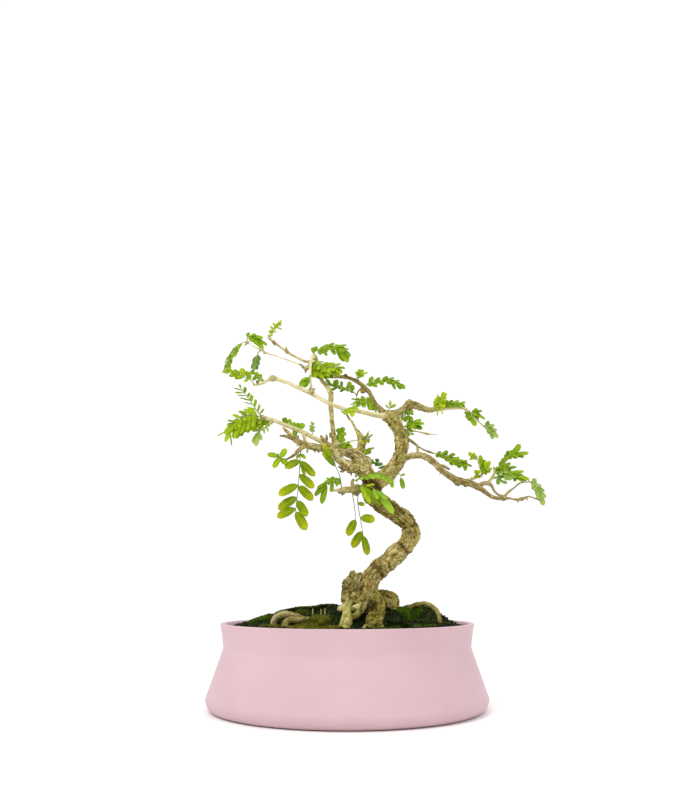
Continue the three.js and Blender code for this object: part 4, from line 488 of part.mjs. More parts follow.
function stated(row, grow) {
  const [, path, rows] = row;
  const list = [stalk(path, grow)];
  for (const [foot, tip, width, hint] of rows) list.push(leaflet(V(foot), V(tip), width, V(hint), grow));
  return join(list);
}

// ---- scene ----------------------------------------------------------------------------
const model = new THREE.Group();
function place(name, body, color, roughness, metalness = 0) {
  const mesh = new THREE.Mesh(geometryOf(body), new THREE.MeshStandardMaterial({ color, roughness, metalness }));
  mesh.name = name;
  model.add(mesh);
}

place('pot', pot, 0xe4c3ca, 0.5);
place('drain_mesh_left', drainMesh(-HOLE_X), 0x2b2b2b, 0.6);
place('drain_mesh_right', drainMesh(HOLE_X), 0x2b2b2b, 0.6);
place('soil', soil, 0x2a211a, 0.95);
const cushions = [];
for (const row of MOSS) {
  let body = mossSolid(row);
  for (const other of cushions) body = body.subtract(other);
  cushions.push(body);
  place(row[0], largest(body), 0x5f7a22, 0.9);
}
place('tree_wood', tree, 0xa58a5a, 0.85);

const TONE = { g: 0x5a9612, d: 0x3f6f1e, y: 0x86b41c, l: 0x7fa83a, a: 0xa0a018 };
const done = [];
LEAVES.concat(LARGE).forEach((row, n) => {
  const make = (grow) => (row.length === 10 ? pinnate(row, n, grow) : stated(row, grow));
  let body = make(0).subtract(treeClear);
  const box = bounds(body);
  for (const other of done) if (other.box.intersectsBox(box)) body = body.subtract(other.body);
  body = largest(body).simplify(0.01);
  const clear = make(GAP * 0.6);
  done.push({ body: clear, box: bounds(clear) });
  place(row[0], body, TONE[row[row.length - 1]], 0.6);
});

export default model;
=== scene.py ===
# Looks of a potted bonsai: bark, leaves, moss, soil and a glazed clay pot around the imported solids.
import bpy
import math
import numpy as np
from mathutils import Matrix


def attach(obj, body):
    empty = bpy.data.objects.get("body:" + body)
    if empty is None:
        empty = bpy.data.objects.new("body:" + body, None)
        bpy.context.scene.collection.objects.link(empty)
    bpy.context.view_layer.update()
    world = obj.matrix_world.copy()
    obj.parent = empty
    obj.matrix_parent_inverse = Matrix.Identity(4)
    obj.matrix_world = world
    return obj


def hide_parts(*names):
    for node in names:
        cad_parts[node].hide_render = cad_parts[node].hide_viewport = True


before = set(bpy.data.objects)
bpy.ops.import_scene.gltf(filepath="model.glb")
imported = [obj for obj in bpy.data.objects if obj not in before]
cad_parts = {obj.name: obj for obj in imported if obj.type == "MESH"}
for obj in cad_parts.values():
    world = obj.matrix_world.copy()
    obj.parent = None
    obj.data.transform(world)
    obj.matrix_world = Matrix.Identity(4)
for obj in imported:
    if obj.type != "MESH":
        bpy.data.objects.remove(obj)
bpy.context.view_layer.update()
MM = 0.001

# ---------------------------------------------------------------- camera, stage, light
scene = bpy.context.scene
cam_data = bpy.data.cameras.new("view")
cam_data.lens = 36.73
cam_data.sensor_width = 36.0
cam_data.clip_start = 0.01
cam = bpy.data.objects.new("view", cam_data)
cam.location = (0.0022, -0.700, 0.0983)
cam.rotation_euler = (math.radians(90 + 12.67), 0.0, 0.0)
scene.collection.objects.link(cam)
scene.camera = cam
scene.view_settings.view_transform = "Standard"
scene.view_settings.look = "None"
scene.view_settings.exposure = 0.0
scene.view_settings.gamma = 1.0

world = bpy.data.worlds.new("studio")
scene.world = world
world.use_nodes = True
bg = world.node_tree.nodes["Background"]
bg.inputs["Color"].default_value = (1.0, 1.0, 1.0, 1.0)
bg.inputs["Strength"].default_value = 1.08


def area_light(name, loc, target, size, watts, color=(1, 1, 1)):
    data = bpy.data.lights.new(name, "AREA")
    data.shape = "DISK"
    data.size = size
    data.energy = watts
    data.color = color
    ob = bpy.data.objects.new(name, data)
    ob.location = loc
    d = np.array(target, float) - np.array(loc, float)
    d /= np.linalg.norm(d)
    yaw = math.atan2(d[1], d[0])
    pitch = math.acos(-d[2])
    ob.rotation_euler = (pitch, 0.0, yaw - math.pi / 2)
    scene.collection.objects.link(ob)
    return ob


area_light("key", (-0.42, -0.85, 1.0), (0.02, 0, 0.16), 0.5, 5.0, (1.0, 0.985, 0.95))
area_light("rim", (0.5, 0.9, 0.8), (0.0, 0, 0.18), 0.5, 1.8, (0.97, 0.99, 1.0))

# ---------------------------------------------------------------- tables, in millimetres
STRANDS = [
    ["trunk", 9, [[11.3, 4.0, 52.6, 12.44], [13.0, 2.0, 70.3, 12.06], [14.3, 0.0, 83.3, 10.83], [16.4, 1.0, 93.4, 8.87], [19.7, 2.0, 101.6, 8.15], [24.5, 3.0, 108.2, 8.18], [31.9, 6.0, 114.6, 7.97], [40.0, 8.0, 121.5, 8.01], [47.2, 9.0, 127.4, 7.95], [52.4, 9.0, 133.8, 7.97], [54.1, 7.0, 140.8, 8.39], [52.2, 5.0, 148.2, 7.88], [44.9, 2.0, 154.5, 7.77], [35.6, -2.0, 160.3, 7.57], [27.2, -5.0, 165.3, 7.3], [21.3, -7.0, 170.7, 7.46], [19.6, -8.0, 176.5, 7.63], [20.9, -7.0, 183.4, 7.66]]],
    ["right_leader", 8, [[20.9, -8.0, 178.2, 6.79], [27.8, -5.0, 184.1, 6.83], [34.9, -1.0, 190.2, 6.71], [40.7, 1.0, 196.5, 6.22], [44.8, 3.0, 203.8, 5.91], [47.2, 5.0, 212.0, 5.68], [47.6, 7.0, 220.3, 5.79], [45.9, 9.0, 227.8, 5.56], [42.1, 11.0, 235.0, 5.32], [37.8, 12.0, 241.0, 4.98], [34.3, 12.0, 246.0, 4.1]]],
    ["left_low", 6, [[20.9, -8.0, 179.0, 6.37], [16.6, -11.0, 188.0, 6.78], [9.8, -14.0, 193.6, 6.26], [2.2, -17.0, 194.9, 4.72], [-3.7, -20.0, 197.4, 3.61], [-9.7, -21.5, 203.5, 3.86], [-12.9, -22.0, 210.2, 3.7]]],
    ["left_high", 6, [[18.3, -9.0, 185.7, 5.95], [14.1, -12.0, 195.6, 5.77], [9.0, -14.0, 203.8, 5.09], [2.2, -16.0, 206.3, 4.57], [-3.7, -18.5, 208.2, 4.14], [-12.1, -21.5, 211.2, 4.04]]],
    ["stub_up", 5, [[9.8, -13.0, 202.3, 4.67], [12.0, -13.0, 211.7, 3.92], [11.9, -12.0, 218.8, 3.42], [9.4, -11.0, 224.2, 2.06], [7.0, -10.4, 228.1, 1.12], [4.3, -10.0, 233.5, 1.08], [1.0, -9.0, 237.9, 0.95], [-0.7, -8.4, 240.8, 0.69], [-5.2, -8.0, 243.7, 0.61]]],
    ["stick", 4, [[-10.8, -21.0, 210.4, 2.86], [-11.5, -18.0, 220.3, 2.2], [-12.9, -14.0, 230.6, 2.14], [-13.9, -8.0, 241.4, 2.08], [-14.7, -4.0, 251.2, 2.18], [-14.7, 0.0, 260.2, 2.38], [-16.1, 2.0, 264.9, 2.3], [-19.5, 4.0, 270.2, 2.04], [-23.7, 6.0, 276.2, 1.87], [-25.6, 9.0, 285.3, 1.8], [-27.6, 12.0, 294.5, 1.9], [-30.6, 12.0, 299.7, 2.17]]],
    ["branch_left", 5, [[-9.6, -21.0, 209.5, 2.88], [-20.5, -24.0, 214.1, 2.23], [-29.6, -27.0, 218.0, 1.99], [-38.3, -30.0, 222.0, 1.98], [-47.6, -34.0, 225.2, 1.89], [-56.5, -38.0, 228.2, 1.81], [-63.7, -41.0, 230.2, 1.88], [-70.4, -44.0, 231.7, 1.87]]],
    ["gnarl", 5, [[-8.7, -21.0, 208.7, 3.87], [-18.7, -26.0, 208.7, 3.42], [-26.0, -30.0, 208.7, 3.16], [-34.1, -34.0, 209.9, 2.97], [-40.5, -38.0, 212.2, 2.3], [-46.1, -41.0, 214.7, 1.8], [-51.2, -44.0, 215.7, 1.22], [-54.5, -46.0, 215.5, 0.73]]],
    ["gnarl_stub", 4, [[-44.5, -40.0, 213.9, 1.64], [-47.5, -40.0, 218.1, 1.97], [-50.4, -40.0, 221.0, 1.48], [-52.9, -40.0, 223.5, 0.9]]],
    ["gnarl_link", 4, [[-38.0, -30.0, 222.4, 1.25], [-35.5, -33.0, 216.0, 1.41], [-34.1, -34.0, 209.9, 1.82]]],
    ["gnarl_down", 4, [[-35.7, -35.0, 208.9, 2.31], [-40.4, -39.0, 204.1, 1.8], [-43.4, -42.0, 200.3, 1.3], [-48.8, -45.0, 196.4, 0.73]]],
    ["branch_long", 5, [[36.0, 12.0, 243.8, 3.44], [27.0, 8.0, 243.3, 2.52], [18.9, 4.0, 244.3, 2.27], [11.8, 0.0, 245.2, 2.18], [-1.3, -8.0, 245.5, 1.99], [-11.6, -14.0, 247.9, 1.98], [-20.9, -18.0, 251.6, 2.05], [-31.1, -21.0, 256.8, 2.12], [-40.4, -24.0, 260.4, 1.96], [-47.5, -27.0, 263.2, 1.8], [-54.5, -29.0, 265.5, 1.64], [-61.2, -31.0, 267.4, 2.1], [-64.9, -32.0, 267.0, 2.02], [-68.5, -33.0, 264.2, 1.32], [-72.9, -35.0, 261.7, 1.0], [-75.3, -36.0, 261.0, 1.23], [-78.1, -37.0, 260.2, 0.62]]],
    ["riser", 4, [[-30.4, -21.0, 257.1, 1.91], [-31.4, -18.0, 264.8, 1.33], [-32.2, -13.0, 274.1, 1.27], [-32.6, -7.0, 282.9, 1.36], [-32.5, 0.0, 291.2, 1.6], [-30.6, 9.0, 298.8, 2.17]]],
    ["twig_top", 4, [[-32.4, -1.0, 290.0, 1.6], [-38.2, 8.0, 293.2, 1.17], [-46.7, 12.0, 298.2, 1.0], [-54.2, 15.0, 303.3, 1.18], [-60.9, 18.0, 308.9, 0.91], [-67.7, 21.0, 314.8, 1.29], [-71.1, 22.0, 317.5, 0.83], [-74.0, 23.0, 319.9, 0.55]]],
    ["twig_pale", 4, [[-32.5, -5.0, 284.7, 1.33], [-36.3, -2.0, 284.2, 1.49], [-40.5, -5.0, 285.8, 0.81], [-48.7, -9.0, 288.3, 0.81], [-55.9, -12.0, 290.2, 0.73], [-64.0, -15.0, 292.3, 0.73], [-70.7, -18.0, 293.6, 0.87], [-77.5, -20.0, 296.8, 0.73], [-83.4, -22.0, 299.6, 0.73], [-87.0, -23.0, 302.2, 1.02]]],
    ["branch_back", 5, [[36.0, 12.0, 242.9, 3.74], [29.9, 14.0, 249.6, 3.13], [24.9, 16.0, 255.1, 2.69], [22.1, 19.0, 261.3, 2.35], [19.9, 21.0, 266.9, 2.27], [15.0, 24.0, 273.2, 2.19], [8.6, 27.0, 279.3, 1.93], [2.2, 30.0, 283.0, 1.75], [-5.2, 33.0, 285.1, 1.95], [-9.9, 35.0, 285.6, 1.49], [-14.1, 37.0, 285.2, 0.84]]],
    ["back_loop", 4, [[13.2, 25.0, 272.5, 1.1], [10.0, 25.0, 269.7, 0.64], [8.2, 25.0, 265.6, 0.82]]],
    ["branch_right", 5, [[34.2, 12.0, 242.9, 4.09], [39.7, 14.0, 245.6, 3.75], [46.1, 16.0, 247.7, 3.49], [51.2, 18.0, 251.8, 3.42], [56.4, 20.0, 255.8, 3.7], [61.9, 22.0, 255.4, 3.44], [67.6, 25.0, 253.7, 3.0], [74.2, 28.0, 252.6, 2.64], [80.9, 31.0, 254.0, 2.2], [89.6, 34.0, 255.6, 2.12], [99.2, 37.0, 256.6, 1.85], [107.4, 40.0, 257.1, 1.85], [113.6, 42.0, 252.3, 1.39], [121.1, 44.0, 245.6, 0.93], [128.9, 46.0, 238.6, 0.56]]],
    ["right_strut", 4, [[47.1, 15.0, 246.2, 1.34], [47.6, 11.0, 238.1, 1.15], [49.0, 9.0, 229.6, 1.59]]],
    ["branch_low", 5, [[46.0, 3.0, 202.1, 3.99], [51.5, 0.0, 205.1, 3.12], [57.7, -4.0, 205.7, 2.75], [63.9, -7.0, 205.2, 2.66], [70.1, -9.0, 202.2, 2.82], [75.7, -11.0, 196.3, 2.8], [81.3, -13.0, 190.5, 2.79], [88.0, -16.0, 185.3, 2.86], [92.7, -18.0, 182.2, 3.18], [99.2, -19.0, 180.9, 2.93], [106.7, -21.0, 177.9, 2.83], [112.9, -23.0, 173.5, 2.41], [117.8, -25.0, 169.1, 1.73], [123.2, -27.0, 166.8, 1.48], [128.3, -28.0, 166.7, 1.89], [132.6, -29.5, 166.5, 0.82], [138.3, -31.0, 165.2, 0.9], [142.2, -32.0, 165.6, 1.55], [145.4, -33.0, 166.7, 0.98], [148.0, -34.0, 167.4, 0.73], [152.6, -35.0, 165.8, 0.57], [156.8, -36.0, 163.9, 0.49]]],
    ["low_strand", 4, [[109.7, -21.0, 178.4, 1.83], [116.7, -17.0, 180.5, 2.01], [121.1, -15.0, 178.6, 1.34], [122.7, -17.0, 174.2, 1.0], [125.0, -22.0, 170.4, 1.0], [128.5, -27.5, 168.1, 1.32]]],
    ["low_up", 4, [[98.4, -19.0, 181.1, 2.26], [104.1, -12.0, 184.2, 1.75], [110.4, -7.0, 187.0, 1.38], [115.1, -4.0, 189.5, 1.23], [114.3, -2.0, 194.8, 0.85], [112.9, 0.0, 201.6, 0.7], [111.8, 1.0, 207.0, 0.39]]],
    ["low_up2", 4, [[117.0, -17.0, 179.7, 1.59], [122.3, -12.0, 185.8, 1.27], [125.3, -9.0, 191.3, 1.02], [124.9, -7.0, 195.2, 0.68]]],
    ["low_fork", 4, [[127.9, -28.0, 166.8, 1.56], [133.4, -24.0, 172.2, 1.24], [138.9, -20.0, 176.0, 0.67], [143.7, -16.0, 179.8, 0.84], [147.1, -14.0, 181.2, 0.67], [154.1, -11.0, 182.3, 0.51]]],
    ["low_nub", 4, [[76.6, -11.0, 195.7, 1.53], [81.6, -8.0, 196.1, 1.62], [87.1, -4.0, 194.1, 0.94]]],
    ["twig_right", 4, [[48.0, 8.0, 226.8, 1.94], [52.8, 8.0, 222.7, 1.23], [56.3, 8.5, 220.4, 1.5], [63.0, 11.0, 215.7, 0.79], [68.9, 13.0, 212.8, 0.79], [72.0, 14.0, 211.9, 1.33], [75.5, 15.0, 210.7, 0.62]]],
    ["twig_drop", 4, [[61.0, 10.0, 217.7, 0.88], [61.1, 4.0, 212.8, 1.13], [60.8, -5.5, 205.1, 1.63]]],
    ["twig_hair", 4, [[46.4, 10.0, 232.5, 1.42], [52.7, 12.0, 231.1, 0.89], [58.2, 14.0, 230.8, 0.62], [64.2, 17.0, 230.2, 0.62], [68.4, 19.0, 229.6, 0.89], [71.6, 20.0, 229.0, 1.07], [74.9, 21.0, 228.9, 0.54], [80.4, 23.0, 228.8, 0.4]]],
    ["front_stub", 5, [[20.0, -7.0, 176.6, 5.1], [11.5, -13.0, 176.4, 3.45], [3.9, -18.0, 175.0, 3.09], [-2.0, -22.0, 174.1, 2.74], [-5.8, -24.0, 173.5, 1.91], [-10.6, -27.0, 173.2, 0.99], [-13.8, -29.5, 172.4, 0.66]]],
    ["stub_knob", 4, [[6.4, -15.0, 175.7, 2.52], [3.9, -14.0, 180.4, 1.94], [5.2, -12.0, 184.9, 1.1]]],
    ["stub_spur", 4, [[-2.0, -21.5, 173.7, 1.83], [-4.5, -20.5, 169.8, 1.08]]],
    ["stump", 7, [[16.4, 2.0, 75.1, 9.99], [7.2, 1.0, 84.0, 11.68], [5.2, 1.0, 93.0, 10.04], [5.4, 1.0, 99.1, 9.05], [6.8, 1.0, 103.2, 5.54]]],
    ["root_back_r", 6, [[19.0, 6.0, 84.8, 6.72], [26.8, 12.0, 87.8, 5.17], [34.6, 16.0, 87.7, 4.95], [39.5, 16.0, 84.9, 4.86], [40.2, 13.0, 79.7, 4.07], [38.9, 9.0, 74.9, 3.87], [36.1, 6.0, 69.7, 3.51], [33.8, 4.0, 63.8, 3.16]]],
    ["root_front_r", 6, [[19.6, -6.0, 89.0, 5.79], [24.8, -12.0, 85.9, 3.77], [27.4, -17.0, 81.3, 3.17], [27.5, -21.0, 76.3, 3.22], [25.5, -25.0, 71.4, 3.84], [22.0, -29.0, 67.3, 4.45], [16.4, -32.0, 63.3, 4.1], [9.2, -38.0, 59.1, 2.81]]],
    ["root_mid", 5, [[15.3, -10.0, 86.7, 5.09], [12.8, -17.0, 81.3, 3.73], [10.4, -22.5, 76.7, 2.98], [7.0, -26.0, 73.4, 2.4], [2.2, -27.0, 71.8, 2.23]]],
    ["root_pale", 6, [[5.5, -5.0, 89.8, 4.56], [2.0, -13.0, 83.9, 3.27], [0.7, -18.0, 78.9, 2.75], [-0.4, -24.0, 73.3, 3.77], [-1.0, -31.0, 67.8, 4.75], [-3.3, -39.0, 62.1, 4.21], [-7.0, -47.0, 57.4, 3.08]]],
    ["root_bump_l", 4, [[1.4, -15.0, 80.7, 2.12], [-2.8, -18.0, 79.2, 2.27], [-6.4, -19.0, 78.2, 2.26]]],
    ["root_bump_m", 4, [[13.6, -15.0, 83.6, 2.12], [8.2, -22.0, 80.2, 2.01], [5.3, -23.5, 79.9, 1.85]]],
    ["root_left", 5, [[5.5, 4.0, 80.7, 6.69], [-3.6, 1.0, 74.4, 4.49], [-14.3, -4.0, 69.3, 3.79], [-24.8, -9.0, 67.7, 3.43], [-34.4, -13.0, 69.3, 2.93], [-42.4, -16.0, 72.4, 2.76], [-50.4, -18.0, 74.2, 2.83], [-57.0, -18.0, 71.9, 2.67], [-59.5, -17.0, 67.6, 2.75], [-59.0, -15.0, 62.4, 2.75], [-56.9, -13.0, 57.6, 2.43]]],
    ["root_left_in", 4, [[-31.9, -14.0, 69.4, 2.11], [-40.4, -22.0, 70.1, 2.41], [-46.9, -26.0, 69.6, 2.55], [-49.9, -28.0, 66.4, 2.62], [-48.6, -28.0, 62.3, 2.38]]],
    ["root_arch", 5, [[27.5, 10.0, 79.8, 5.43], [36.9, 14.0, 73.9, 3.58], [46.1, 12.0, 73.6, 2.64], [53.2, 4.0, 78.9, 2.31], [58.6, -2.0, 81.7, 2.06], [64.9, -6.0, 82.1, 2.05], [70.6, -9.0, 79.5, 2.04], [74.1, -11.0, 75.1, 1.96], [75.2, -12.0, 70.1, 1.95], [74.9, -12.0, 64.2, 2.09]]],
    ["root_back_1", 5, [[12.3, 10.0, 84.7, 7.61], [3.1, 24.0, 78.6, 5.16], [-9.2, 38.0, 74.4, 3.94], [-22.7, 52.0, 67.4, 3.03], [-33.8, 62.0, 61.8, 2.34]]],
    ["root_back_2", 5, [[20.8, 10.0, 84.7, 6.76], [31.6, 28.0, 79.3, 4.67], [42.8, 44.0, 75.5, 3.71], [55.2, 58.0, 68.9, 2.69], [63.8, 66.0, 62.5, 2.17]]],
    ["root_fore_l", 4, [[2.2, -16.0, 71.0, 4.05], [-6.5, -30.0, 61.6, 3.32], [-17.2, -42.0, 57.1, 2.64], [-27.5, -53.0, 52.6, 1.98], [-34.6, -60.0, 48.8, 1.5]]],
    ["root_fore_r", 4, [[20.7, -20.0, 69.6, 4.43], [30.7, -30.0, 59.3, 3.48], [41.8, -40.0, 52.5, 2.64], [50.2, -52.0, 48.9, 1.98], [57.8, -60.0, 45.9, 1.5]]],
]

LUMPS = [
    [-2.4, -17.0, 194.0, 3.54],
    [7.2, -19.0, 197.1, 4.37],
    [1.4, -14.0, 191.5, 2.87],
    [15.9, -9.0, 200.3, 4.27],
    [-9.6, -23.0, 210.9, 4.37],
    [-17.9, -25.0, 210.2, 3.52],
    [-30.7, 10.0, 297.7, 2.98],
    [-30.7, -21.0, 258.4, 2.99],
    [-63.2, -31.5, 267.3, 3.04],
    [-72.0, -18.0, 293.8, 1.65],
    [-36.3, -2.0, 283.9, 2.56],
    [-39.3, -3.0, 284.7, 1.77],
    [-55.1, 15.0, 303.8, 2.0],
    [-68.1, 21.0, 315.1, 1.84],
    [-86.4, -23.0, 302.0, 1.64],
    [-2.0, 32.0, 285.6, 2.22],
    [13.6, 22.0, 268.5, 2.36],
    [56.6, 20.0, 250.9, 1.98],
    [55.9, 20.0, 256.8, 3.97],
    [44.6, 14.0, 243.7, 3.57],
    [34.7, 12.0, 242.4, 4.81],
    [40.8, 3.0, 207.3, 2.0],
    [42.2, 5.0, 214.0, 1.75],
    [42.6, 8.0, 221.0, 1.67],
    [51.8, 6.0, 221.5, 1.93],
    [92.2, -18.0, 181.6, 3.52],
    [128.3, -28.0, 166.8, 2.38],
    [142.5, -32.0, 165.6, 1.8],
    [58.1, 7.0, 140.5, 4.54],
    [47.0, 8.0, 127.0, 7.0],
    [48.9, 4.0, 155.6, 5.57],
    [29.1, 2.0, 109.0, 5.22],
    [36.1, 5.0, 112.7, 4.57],
    [17.8, 3.0, 107.3, 3.88],
    [11.4, 1.0, 102.4, 4.7],
    [20.6, -24.0, 69.8, 6.4],
    [8.7, -18.0, 77.8, 4.37],
    [-1.5, -13.0, 79.6, 4.24],
    [19.9, -13.0, 182.7, 5.23],
    [24.2, -10.0, 178.0, 5.42],
    [1.8, -4.0, 97.1, 4.99],
    [0.1, -6.0, 88.2, 5.37],
    [4.9, 1.0, 106.4, 2.44],
    [10.4, -14.0, 82.8, 4.24],
    [23.5, -13.0, 84.7, 3.6],
    [32.4, 6.0, 82.3, 5.04],
    [-6.1, -23.0, 173.1, 2.49],
    [7.2, -14.0, 173.3, 3.19],
    [-49.1, -22.0, 67.4, 3.53],
    [-41.4, -38.0, 215.9, 2.14],
    [108.8, -21.0, 176.3, 2.66],
    [99.3, -18.0, 179.6, 2.85],
    [71.8, -9.0, 201.1, 2.73],
]

LEAVES = [
    ["leaf_03", [[-87.3, -23.0, 302.2], [-92.4, -26.0, 299.2], [-97.4, -30.0, 291.5], [-100.7, -33.0, 283.4], [-102.0, -35.0, 276.3]], 10, 0.1, 7.68, 2.73, 34, 24, [-0.5, -0.8, 0.4], "g"],
    ["leaf_46", [[154.1, -11.0, 182.3], [150.0, -13.0, 185.6], [145.7, -14.0, 188.1], [142.3, -14.4, 189.6]], 4, 0.12, 6.25, 3.04, 38, 16, [0, -0.7, 0.7], "g"],
    ["leaf_51", [[13.1, -14.5, 218.6], [15.8, -18.0, 218.4], [18.7, -21.0, 218.1]], 5, 0.08, 5.59, 2.03, 56, 10, [0.2, -0.95, 0.2], "a"],
    ["leaf_53", [[34.2, 3.7, 195.9], [31.1, 9.0, 198.7], [26.0, 14.0, 202.3], [21.2, 17.0, 203.8]], 4, 0.06, 7.72, 3.42, 30, 16, [0, -0.7, 0.7], "d"],
    ["leaf_17", [[4.9, -14.0, 182.2], [6.8, -17.0, 183.0], [11.4, -23.0, 184.8], [19.6, -27.0, 186.8], [27.8, -28.0, 186.3], [34.0, -28.0, 183.7], [37.3, -28.0, 181.2]], 9, 0.08, 7.97, 3.65, 38, 30, [0, -0.6, 0.8], "y"],
]

